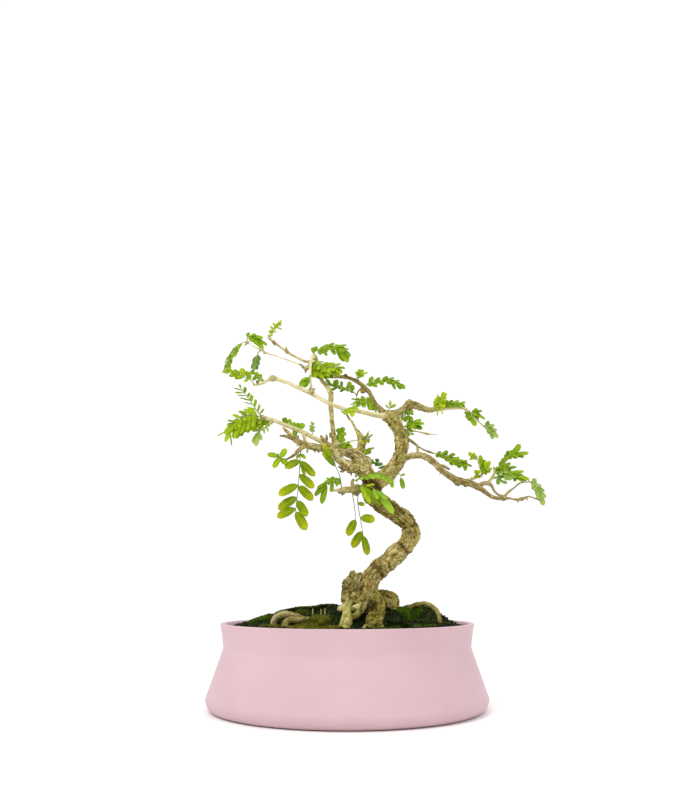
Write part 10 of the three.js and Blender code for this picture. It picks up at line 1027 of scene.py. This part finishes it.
SPLIT = 1.15
union = Soup()
thin = []
for L in limbs:
    thick = L.R >= SPLIT
    last = len(L.R) if thick.all() else int(np.argmin(thick))
    if last >= 6:
        P, R = L.P[:last], L.R[:last]
        sides = int(np.clip(R.max() * 4, 10, 32))
        v, q, t = tube(P, R, sides)
        union.add(v, [q, t])
        if last < len(L.R) - 1:
            thin.append((L, max(0, last - 3), len(L.R)))
    else:
        thin.append((L, 0, len(L.R)))
for i, (x, y, z, r) in enumerate(LUMPS):
    v, q, t = blob((x, y, z), np.array([r, r, r]) * 1.0, seed=i)
    union.add(v, [q, t])
QUICK = False
WV, WQ = voxel_union(union, 0.95 if QUICK else 0.835)
WE = edges_of(WQ)
WV = smooth_verts(WV, WE, 2)
d, bk = bark_field(WV)
WV = WV + normals_of(WV, WQ) * d[:, None]
wood = Soup()
wood.add(WV, [WQ], c=bk)
for L, a, b in thin:
    P, R = L.P[a:b], np.maximum(L.R[a:b], 0.42)
    n = len(P)
    sides = 12
    ang = np.arange(sides) / sides * 2 * math.pi
    s = L.S[a:b]
    grid = np.stack([np.repeat(s[:, None], sides, 1) / 1.8, np.cos(ang)[None, :] * 1.2 + np.zeros((n, 1)), np.sin(ang)[None, :] * 1.2 + L.index * 3.3 + np.zeros((n, 1))], 2).reshape(-1, 3)
    shape = (1 + 0.16 * fbm(grid, 91, 3)).reshape(n, sides)
    v, q, t = tube(P, R, sides, N0=L.N[a], shape=shape)
    _, bk = bark_field(v)
    wood.add(v, [q, t], c=bk)
for i, (a, b, r0, r1, tone, moss, dark) in enumerate(SPURS):
    a, b = np.array(a, float), np.array(b, float)
    P = a + (b - a) * np.linspace(0, 1, 7)[:, None] + 0.22 * vnoise(np.stack([np.arange(7) * 0.6, np.full(7, i * 2.3), np.zeros(7)], 1), 97)[:, None] * np.array([[1, 0.3, 0.2]])
    R = np.interp(np.arange(7) / 6, [0, 0.55, 1], [r0, (r0 + r1) * 0.55, r1])
    v, q, t = tube(P, R, 9)
    bk = np.tile([[tone, moss, dark, 0.45]], (len(v), 1))
    bk[:, 3] = np.clip(0.45 + 0.5 * vnoise(v / 0.8, 98), 0, 1)
    wood.add(v, [q, t], c=bk)
wood_ob = wood.make("tree_bark", [BARK], attr="bk", replaces=("tree_wood",))
print("wood triangles", sum(len(f) * (f.shape[1] - 2) for f in wood.f))


# ---------------------------------------------------------------- leaves
def chance(n, k):
    s = math.sin(n * 12.9898 + k * 78.233) * 43758.5453
    return s - math.floor(s)


NT, NX = 11, 7
TT = np.linspace(0, 1, NT)
XX = np.linspace(-1, 1, NX)


def half_width(t, kind=0.0):
    base = (1 - np.abs(2 * t - 1) ** 2.5) ** 0.5
    ob = 0.90 + 0.16 * t - 0.06 * kind
    return np.maximum(base * ob, 0.10 * (t < 0.03) + 0.04)


def leaflet(soup, foot, direction, normal, length, width, n, k, tone_shift=0.0, curl=0.0, vfold=0.0):
    d = unit(np.asarray(direction, float))
    side = unit(np.cross(d, np.asarray(normal, float)))
    up = np.cross(side, d)
    r1, r2, r3, r4 = chance(n, k + 101), chance(n, k + 202), chance(n, k + 303), chance(n, k + 404)
    stem = min(0.55, 0.08 * length)
    t = TT[:, None]
    x = XX[None, :]
    w = half_width(t) * width / 2
    bend = (r1 - 0.35) * 0.16 * length + curl
    twist = (r2 - 0.5) * 0.5
    fold = 0.10 + 0.24 * r3 + vfold
    X = x * w
    Z = np.abs(X) * fold - 0.22 * width * (x ** 2) * (r4 * 0.35) + bend * (t - 0.45) ** 2 * -1.0 + 0.03 * width * np.sin(t * 13 + r2 * 6) * np.abs(x)
    Y = stem + t * (length - stem)
    ct, st = np.cos(twist * (t - 0.3)), np.sin(twist * (t - 0.3))
    Xr = X * ct - Z * st
    Zr = X * st + Z * ct
    thick = (0.10 + 0.06 * (1 - x ** 2)) * np.ones_like(t)
    thick[0, :] = 0.12
    top = foot + (Xr[..., None] * side + Y[..., None] * d * np.ones_like(Xr)[..., None] + (Zr + thick)[..., None] * up)
    low = foot + (Xr[..., None] * side + Y[..., None] * d * np.ones_like(Xr)[..., None] + (Zr - thick)[..., None] * up)
    V = np.concatenate([top.reshape(-1, 3), low.reshape(-1, 3)])
    i, j = np.meshgrid(np.arange(NT - 1), np.arange(NX - 1), indexing="ij")
    a = (i * NX + j).reshape(-1)
    M = NT * NX
    up_q = np.stack([a, a + 1, a + NX + 1, a + NX], 1)
    lo_q = np.stack([a + M, a + NX + M, a + NX + 1 + M, a + 1 + M], 1)
    ring = np.concatenate([np.arange(NX), np.arange(2, NT) * NX - 1 + 0, [NT * NX - 1], (NT - 1) * NX + np.arange(NX - 2, -1, -1), np.arange(NT - 2, 0, -1) * NX])
    nxt = np.roll(ring, -1)
    wall = np.stack([ring, ring + M, nxt + M, nxt], 1)
    c = np.zeros((2 * M, 4))
    c[:, 0] = np.clip(chance(n, k + 55) * 0.8 + tone_shift + 0.1, 0, 1)
    c[:, 1] = np.tile(np.repeat(TT, NX), 2)
    c[:, 2] = np.tile(np.abs(np.tile(XX, NT)), 2)
    c[:M, 3] = 0.0
    c[M:, 3] = 1.0
    uv = np.stack([np.tile(np.tile(XX * 0.5 + 0.5, NT), 2), np.tile(np.repeat(TT, NX), 2)], 1)
    # the stem of the leaflet
    soup.add(V, [up_q[:, ::-1], lo_q[:, ::-1], wall[:, ::-1]], c=c, uv=uv, mat=0)
    P = np.array([foot - d * 0.25, foot + d * stem * 0.5, foot + d * (stem + 0.35)])
    v, q, tt = tube(P, np.array([0.20, 0.17, 0.15]), 5, round_end=False)
    soup.add(v, [q, tt], mat=1)


def stalk(soup, path, r0, r1):
    P, _, s = resample(np.array(path, float), np.ones(len(path)), 0.7)
    u = s / s[-1]
    R = r0 + (r1 - r0) * u
    R = R + 0.38 * np.exp(-(s / 0.9) ** 2)
    R = R * (1 + 0.06 * vnoise(np.stack([s / 1.3, u * 0, u * 0], 1), 9))
    v, q, t = tube(P, R, 7)
    soup.add(v, [q, t], mat=1)
    return P, s


def along(P, s, t):
    x = t * s[-1]
    p = np.array([np.interp(x, s, P[:, a]) for a in range(3)])
    e = 0.4
    a = np.array([np.interp(max(0, x - e), s, P[:, i]) for i in range(3)])
    b = np.array([np.interp(min(s[-1], x + e), s, P[:, i]) for i in range(3)])
    return p, unit(b - a)


def pinnate(soup, row, n):
    name, path, pairs, t0, L, W, sweep, fold, hint, tone = row
    P, s = stalk(soup, path, 0.36, 0.2)
    a, f = math.radians(sweep), math.radians(fold)
    for i in range(pairs):
        for sd in (-1, 1):
            t = t0 + (1 - t0) * (i + 0.5 + 0.06 * sd) / pairs
            p, T = along(P, s, min(t, 0.995))
            S = unit(np.cross(T, np.array(hint, float)))
            N = np.cross(S, T)
            k = 2 * i + (1 if sd > 0 else 0)
            aa = a + (chance(n, k + 31) - 0.5) * 0.30
            ff = f + (chance(n, k + 67) - 0.5) * 0.42
            d = S * sd * math.sin(aa) * math.cos(ff) + T * math.cos(aa) - N * math.sin(aa) * math.sin(ff)
            nn = N * math.cos(ff) + S * sd * math.sin(ff)
            grow = (0.84 + 0.16 * math.sin(math.pi * t)) * (0.90 + 0.2 * chance(n, k))
            leaflet(soup, p + unit(d) * 0.15, d, nn, L * grow, W * (0.92 + 0.16 * chance(n, k + 7)), n, k)


SMALL = {r[0] for r in LARGE} - {"leaf_15", "leaf_16", "leaf_18", "leaf_19", "leaf_20", "leaf_54", "leaf_55", "leaf_56", "leaf_57"}


def stated(soup, row, n):
    name, path, rows, tone = row
    small = row[0] in SMALL
    stalk(soup, path, *((0.52, 0.34) if small else (0.42, 0.26)))
    for k, (foot, tip, width, hint) in enumerate(rows):
        foot, tip = np.array(foot, float), np.array(tip, float)
        leaflet(soup, foot, tip - foot, hint, float(np.linalg.norm(tip - foot)), width * (1.14 if small else 1.04), n, k, tone_shift=0.1)


count = 0
for n, row in enumerate(LEAVES + LARGE):
    soup = Soup()
    (pinnate if len(row) == 10 else stated)(soup, row, n)
    tone = row[-1]
    soup.make("foliage_" + row[0][5:], [LEAF[LOOK.get(row[0], tone)], GREY if tone == "a" or row[0] in ("leaf_18", "leaf_16") else STALK], attr="lf", replaces=(row[0],))
    count += sum(len(f) * (f.shape[1] - 2) for f in soup.f)
for n, row in enumerate(SPRIGS):
    soup = Soup()
    pinnate(soup, row, 100 + n)
    soup.make("sprig_" + str(n + 1), [LEAF[row[-1]], STALK], attr="lf")
    count += sum(len(f) * (f.shape[1] - 2) for f in soup.f)
print("leaf triangles", count)


# ---------------------------------------------------------------- soil and moss
SOIL_TOP = [(0, 80.2), (18, 79.6), (34, 77.8), (46, 76.2), (56, 74.2), (66, 71.4), (75, 68.8), (84, 66.4), (91, 64.9), (98.6, 64.1)]
FRONT_DROP = 15.0


def soil_height(x, y):
    r = np.hypot(x, y)
    h = np.interp(r, [p[0] for p in SOIL_TOP], [p[1] for p in SOIL_TOP])
    h = h - FRONT_DROP * sstep(-y, -10, 42) * (1 - sstep(r, 58, 97)) * np.clip((h - 63.3) / 12, 0, 1)
    h = h + 9.0 * np.exp(-((x - 67) ** 2 + (y - 10) ** 2) / 225.0)
    edge = np.maximum(0, 1 - (r / 96) ** 4)
    return h + edge * (0.9 * np.sin(x * 0.083 + 1.2) * np.cos(y * 0.071) + 0.5 * np.sin(x * 0.19 - y * 0.16 + 0.6))


def soil_surface(x, y):
    p = np.stack([x, y, np.zeros_like(x)], -1).reshape(-1, 3)
    f1, f2 = cells(p / 3.3 + 0.35 * np.stack([vnoise(p / 2.0, 3), vnoise(p / 2.0, 4), 0 * p[:, 0]], 1), 5)
    lump = (0.62 - f1).reshape(x.shape)
    r = np.hypot(x, y)
    calm = 1 - sstep(r, 93, 98)
    h = soil_height(x, y) + calm * (1.25 * lump + 0.8 * fbm(p / 6.5, 7, 3).reshape(x.shape) + 0.28 * fbm(p / 1.1, 8, 2).reshape(x.shape))
    return h, lump


NR, NA = (60, 150) if QUICK else (112, 300)
rr = 98.3 * np.linspace(0, 1, NR) ** 0.9
aa = np.arange(NA) / NA * 2 * math.pi
RR, AA = np.meshgrid(rr[1:], aa, indexing="ij")
SX, SY = RR * np.cos(AA), RR * np.sin(AA)
SZ, lump = soil_surface(SX, SY)
soil = Soup()
centre = soil_surface(np.zeros((1, 1)), np.zeros((1, 1)))[0][0, 0]
V = np.concatenate([[[0, 0, centre]], np.stack([SX, SY, SZ], 2).reshape(-1, 3)])
skirt = [(97.6, 61.3), (95.6, 48.2), (102.8, 27.1), (106.9, 14.1), (103.6, 8.5)]
for r, z in skirt:
    V = np.concatenate([V, np.stack([r * np.cos(aa), r * np.sin(aa), np.full(NA, z)], 1)])
V = np.concatenate([V, [[0, 0, 8.5]]])
rings = NR - 1 + len(skirt)
j = np.arange(NA)
jn = (j + 1) % NA
quads = np.concatenate([np.stack([1 + k * NA + j, 1 + (k + 1) * NA + j, 1 + (k + 1) * NA + jn, 1 + k * NA + jn], 1) for k in range(rings - 1)])
tri = np.concatenate([np.stack([np.zeros(NA, int), 1 + j, 1 + jn], 1), np.stack([np.full(NA, len(V) - 1), 1 + (rings - 1) * NA + jn, 1 + (rings - 1) * NA + j], 1)])
gp = V.copy()
gp[:, 2] = 0
green = np.clip(0.5 + 1.5 * fbm(gp / 24.0, 13, 3), 0, 1)
left = np.exp(-(((V[:, 0] + 35) / 30) ** 2 + ((V[:, 1] + 22) / 26) ** 2))
green = np.clip(green * 0.55 + 0.55 * left, 0, 1)
c = np.stack([green, np.zeros(len(V)), np.clip(0.4 + fbm(V / 2.2, 15, 2), 0, 1), np.ones(len(V))], 1)
soil.add(V, [quads, tri], c=c)
EARTH = soil_material()
soil.make("soil_bed", [EARTH], attr="gr", replaces=("soil",))

# loose crumbs and bits of bark lying on the bed
rng = np.random.default_rng(12)
crumbs = Soup()
for i in range(260 if QUICK else 900):
    r = 94 * math.sqrt(rng.random())
    a = rng.random() * 2 * math.pi
    x, y = r * math.cos(a), r * math.sin(a)
    size = 0.5 + 1.25 * rng.random() ** 2.2
    z = float(soil_surface(np.array([[x]]), np.array([[y]]))[0][0, 0]) + size * 0.25
    v, q, t = blob((0, 0, 0), size * np.array([1.0, 0.6 + 0.5 * rng.random(), 0.55 + 0.4 * rng.random()]), n=7, m=5, seed=i, rough=0.5)
    al, be = rng.random() * 6.28, rng.random() * 1.2
    ca, sa, cb, sb = math.cos(al), math.sin(al), math.cos(be), math.sin(be)
    M = np.array([[ca, -sa, 0], [sa, ca, 0], [0, 0, 1]]) @ np.array([[1, 0, 0], [0, cb, -sb], [0, sb, cb]])
    v = v @ M.T + np.array([x, y, z])
    c = np.tile([[0.15 * rng.random(), 1.0, rng.random() ** 1.5, 1.0]], (len(v), 1))
    crumbs.add(v, [q, t], c=c)
crumbs.make("soil_crumbs", [EARTH], attr="gr", smooth=False)

MOSSM = moss_material()
MOSS = [("moss_right", 52, 4, 11, 15, 2.0), ("moss_left", -36, 14, 25, 17, 1.6), ("moss_back", 18, 60, 30, 17, 3.0)]


def tufts(name, centre, half, height, count, seed, yellow, deep=0.0, replaces=()):
    """A cushion of small pointed leaves that covers an oval on the bed."""
    g = np.random.default_rng(seed)
    s = Soup()
    n, m = 30, 9
    u = np.arange(n) / n * 2 * math.pi
    rows = []
    for k in range(m):
        rho = math.sin(0.5 * math.pi * (k + 1) / m) * 0.98
        x = centre[0] + half[0] * rho * np.cos(u)
        y = centre[1] + half[1] * rho * np.sin(u)
        wob = 1 + 0.16 * vnoise(np.stack([x / 6, y / 6, 0 * x], 1), seed)
        x = centre[0] + (x - centre[0]) * wob
        y = centre[1] + (y - centre[1]) * wob
        z = soil_height(x, y) + height * math.sqrt(max(0, 1 - rho ** 2)) * (1 + 0.25 * vnoise(np.stack([x / 2.6, y / 2.6, 0 * x], 1), seed + 1)) - 0.4
        rows.append(np.stack([x, y, z], 1))
    low = rows[-1].copy()
    low[:, 2] -= 1.6
    rows.append(low)
    top = np.array([[centre[0], centre[1], float(soil_height(np.array(centre[0]), np.array(centre[1]))) + height]])
    base = np.array([[centre[0], centre[1], float(low[:, 2].mean())]])
    V = np.concatenate([top] + rows + [base])
    j = np.arange(n)
    jn = (j + 1) % n
    q = np.concatenate([np.stack([1 + k * n + j, 1 + (k + 1) * n + j, 1 + (k + 1) * n + jn, 1 + k * n + jn], 1) for k in range(m)])
    t = np.concatenate([np.stack([0 * j, 1 + j, 1 + jn], 1), np.stack([0 * j + len(V) - 1, 1 + m * n + jn, 1 + m * n + j], 1)])
    s.add(V, [q, t], c=np.tile([[0.2, 0.18, deep, yellow]], (len(V), 1)))
    rho = np.sqrt(g.random(count)) * 1.05
    a = g.random(count) * 2 * math.pi
    x = centre[0] + half[0] * rho * np.cos(a)
    y = centre[1] + half[1] * rho * np.sin(a)
    wob = 1 + 0.16 * vnoise(np.stack([x / 6, y / 6, 0 * x], 1), seed)
    x = centre[0] + (x - centre[0]) * wob
    y = centre[1] + (y - centre[1]) * wob
    z = soil_height(x, y) + height * np.sqrt(np.maximum(0, 1 - np.minimum(rho, 1) ** 2)) * (1 + 0.25 * vnoise(np.stack([x / 2.6, y / 2.6, 0 * x], 1), seed + 1)) - 0.5
    k, dist = nearest_sample(np.stack([x, y, z], 1))
    keep = (dist > 0.2) & (np.hypot(x, y) < 96.5)
    x, y, z, rho, a = x[keep], y[keep], z[keep], rho[keep], a[keep]
    n = len(x)
    lean = 0.25 + 0.65 * g.random(n)
    az = g.random(n) * 2 * math.pi
    D = np.stack([np.sin(lean) * np.cos(az), np.sin(lean) * np.sin(az), np.cos(lean)], 1)
    L = (1.0 + 1.3 * g.random(n))[:, None]
    W = (0.22 + 0.14 * g.random(n))[:, None]
    A = unit(np.cross(D, np.array([0.3, 0.2, 1.0])))
    B = np.cross(D, A)
    F = np.stack([x, y, z], 1)
    mid = F + D * L * 0.5 + np.array([0, 0, 0.1])
    tip = F + D * L
    P = [F + A * W * 0.7, F - A * W * 0.35 + B * W * 0.6, F - A * W * 0.35 - B * W * 0.6,
         mid + A * W, mid - A * W * 0.5 + B * W * 0.8, mid - A * W * 0.5 - B * W * 0.8, tip]
    V = np.stack(P, 1).reshape(-1, 3)
    o = np.arange(n)[:, None] * 7
    q = np.concatenate([o + np.array([[0, 1, 4, 3]]), o + np.array([[1, 2, 5, 4]]), o + np.array([[2, 0, 3, 5]])])
    t = np.concatenate([o + np.array([[3, 4, 6]]), o + np.array([[4, 5, 6]]), o + np.array([[5, 3, 6]]), o + np.array([[0, 2, 1]])])
    rnd = g.random(n)
    patch = np.clip(0.5 + 1.2 * vnoise(np.stack([x / 5, y / 5, 0 * x], 1), seed + 3), 0, 1)
    c = np.zeros((n, 7, 4))
    c[:, :, 0] = (0.4 * rnd + 0.6 * patch)[:, None]
    c[:, :, 1] = np.array([0.1, 0.1, 0.1, 0.55, 0.55, 0.55, 1.0])
    c[:, :, 2] = np.clip(deep * (1.15 - 0.5 * patch), 0, 1)[:, None]
    c[:, :, 3] = np.clip(yellow + 0.35 * (rnd - 0.5), 0, 1)[:, None]
    s.add(V, [q, t], c=c.reshape(-1, 4))
    return s.make(name, [MOSSM], attr="mo", smooth=False, replaces=replaces)


for i, (name, cx, cy, hx, hy, h) in enumerate(MOSS):
    tufts(name.replace("moss", "cushion"), (cx, cy), (hx * 0.97, hy * 0.97), h, int(hx * hy * (3 if QUICK else 11)), 31 + i, [0.08, 0.35, 0.25][i], [0.35, 0.82, 0.4][i], replaces=(name,))

# thin moss between the roots and down the front of the mound
for i, (cx, cy, hx, hy, h, yellow, deep) in enumerate([(-28, -24, 15, 13, 1.4, 0.7, 0.45), (-12, -40, 9, 11, 1.5, 0.85, 0.05), (-2, -62, 14, 8, 1.2, 0.8, 0.2), (38, -30, 15, 12, 1.5, 0.2, 0.85), (57, -36, 11, 12, 1.4, 0.15, 0.3), (-43, -44, 10, 9, 1.3, 0.85, 0.15), (-60, -30, 10, 10, 1.2, 0.65, 0.4), (-72, -2, 10, 14, 1.4, 0.15, 0.6), (26, -68, 14, 8, 1.1, 0.2, 0.75), (-30, -66, 15, 9, 1.3, 0.75, 0.2)]):
    tufts("moss_film_" + str(i + 1), (cx, cy), (hx, hy), h, int(hx * hy * (2 if QUICK else 7)), 61 + i, yellow, deep)


# ---------------------------------------------------------------- pot
POT_OUTER = []
POT_INNER = []


def fine_profile():
    """The pot's section with rounded lip, waist and heel, from the axis underneath to the axis inside."""
    out = [(0.0, 0.0), (30.0, 0.0), (36.0, 0.0), (54.0, 0.0), (60.0, 0.0), (90.0, 0.0), (104.5, 0.0), (106.4, 0.1), (107.6, 0.35), (109.2, 0.95), (110.9, 2.2), (112.3, 3.9), (113.3, 5.9), (113.85, 7.8), (113.9, 9.2), (113.55, 10.6)]
    for k in range(1, 9):
        z = 10.6 + (45.5 - 10.6) * k / 9
        out.append((np.interp(z, [8.9, 26.8, 47.7], [114.0, 108.2, 101.0]) - 0.12 * math.sin(math.pi * (z - 10.6) / 35), z))
    out += [(101.75, 45.9), (101.25, 47.3), (101.12, 48.3), (101.2, 49.5), (101.6, 52.8), (102.35, 57.8), (103.1, 62.3), (103.75, 65.4), (103.95, 66.2), (103.85, 66.6), (103.45, 66.75)]
    out += [(101.6, 66.75), (100.2, 66.7), (99.5, 66.35), (99.1, 65.5), (98.6, 62.8), (97.6, 57.3), (96.6, 51.3), (96.2, 48.1), (97.3, 44.3), (100.3, 35.8), (103.4, 27.1), (106.5, 17.8), (107.4, 13.8), (106.8, 10.2), (104.4, 8.3), (100.0, 8.0), (60.0, 8.0), (30.0, 8.0), (0.0, 8.0)]
    return np.array(out)


prof = fine_profile()
NP = 96 if QUICK else 224
aa = np.arange(NP) / NP * 2 * math.pi
V = []
for r, z in prof[1:-1]:
    wob = 1 + 0.0009 * np.sin(2 * aa + 0.7) + 0.0006 * np.sin(3 * aa + z * 0.05)
    V.append(np.stack([r * wob * np.cos(aa), r * wob * np.sin(aa), np.full(NP, z)], 1))
m = len(V)
V = np.concatenate([[[0, 0, 0]]] + V + [[[0, 0, 8.0]]])
j = np.arange(NP)
jn = (j + 1) % NP
quads = np.concatenate([np.stack([1 + k * NP + j, 1 + k * NP + jn, 1 + (k + 1) * NP + jn, 1 + (k + 1) * NP + j], 1) for k in range(m - 1)])
tri = np.concatenate([np.stack([0 * j, 1 + jn, 1 + j], 1), np.stack([0 * j + len(V) - 1, 1 + (m - 1) * NP + j, 1 + (m - 1) * NP + jn], 1)])
pot = Soup()
pot.add(V, [quads, tri])
GLAZE, CLAY = pot_material(), clay_foot_material()
pot_ob = pot.make("pot_glazed", [GLAZE, CLAY], replaces=("pot",))
for x in (-45, 45):
    cut = Soup()
    v, q, t = tube(np.array([[x, 0, -3.0], [x, 0, 2.5], [x, 0, 5.5], [x, 0, 11.0]], float), np.array([9.4, 9.0, 9.0, 9.4]), 48, round_end=False)
    cut.add(v, [q, t])
    me = bpy.data.meshes.new("cutter")
    faces = []
    for f in cut.f:
        faces += f.tolist()
    me.from_pydata((np.concatenate(cut.v) * MM).tolist(), [], faces)
    co = bpy.data.objects.new("cutter", me)
    scene.collection.objects.link(co)
    mod = pot_ob.modifiers.new("hole", "BOOLEAN")
    mod.operation = "DIFFERENCE"
    mod.solver = "EXACT"
    mod.object = co
    dg = bpy.context.evaluated_depsgraph_get()
    new = bpy.data.meshes.new_from_object(pot_ob.evaluated_get(dg))
    pot_ob.modifiers.clear()
    pot_ob.data = new
    bpy.data.objects.remove(co)
pm = pot_ob.data
cen = np.zeros(len(pm.polygons) * 3, np.float32)
pm.polygons.foreach_get("center", cen)
nor = np.zeros(len(pm.polygons) * 3, np.float32)
pm.polygons.foreach_get("normal", nor)
cen, nor = cen.reshape(-1, 3), nor.reshape(-1, 3)
rad = np.hypot(cen[:, 0], cen[:, 1])
bare = (cen[:, 2] < 0.0006) | ((cen[:, 2] < 0.0085) & (rad < 0.1))
pm.polygons.foreach_set("material_index", bare.astype(np.int32))
pm.polygons.foreach_set("use_smooth", np.full(len(pm.polygons), True))
try:
    pm.set_sharp_from_angle(angle=math.radians(38))
except Exception as e:
    print("sharp", e)

PLASTIC = plastic_material()
for node in ("drain_mesh_left", "drain_mesh_right"):
    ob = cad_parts[node]
    ob.data.materials.clear()
    ob.data.materials.append(PLASTIC)

# ---------------------------------------------------------------- floor
fm = Nodes("floor")
fm.set(Roughness=0.9, Specular_IOR_Level=0.1)
fn = fm.noise(fm.coords(), 3.0, 2.0, 0.5)
fm.color(fm.ramp(fn, [(0.3, (0.97, 0.97, 0.97)), (0.7, (0.98, 0.98, 0.98))]))
me = bpy.data.meshes.new("floor")
s = 6.0
me.from_pydata([(-s, -s, 0), (s, -s, 0), (s, s, 0), (-s, s, 0)], [], [(0, 1, 2, 3)])
floor = bpy.data.objects.new("floor", me)
floor.location = (0, 0, -0.0003)
me.materials.append(fm.mat)
scene.collection.objects.link(floor)

bpy.context.view_layer.update()
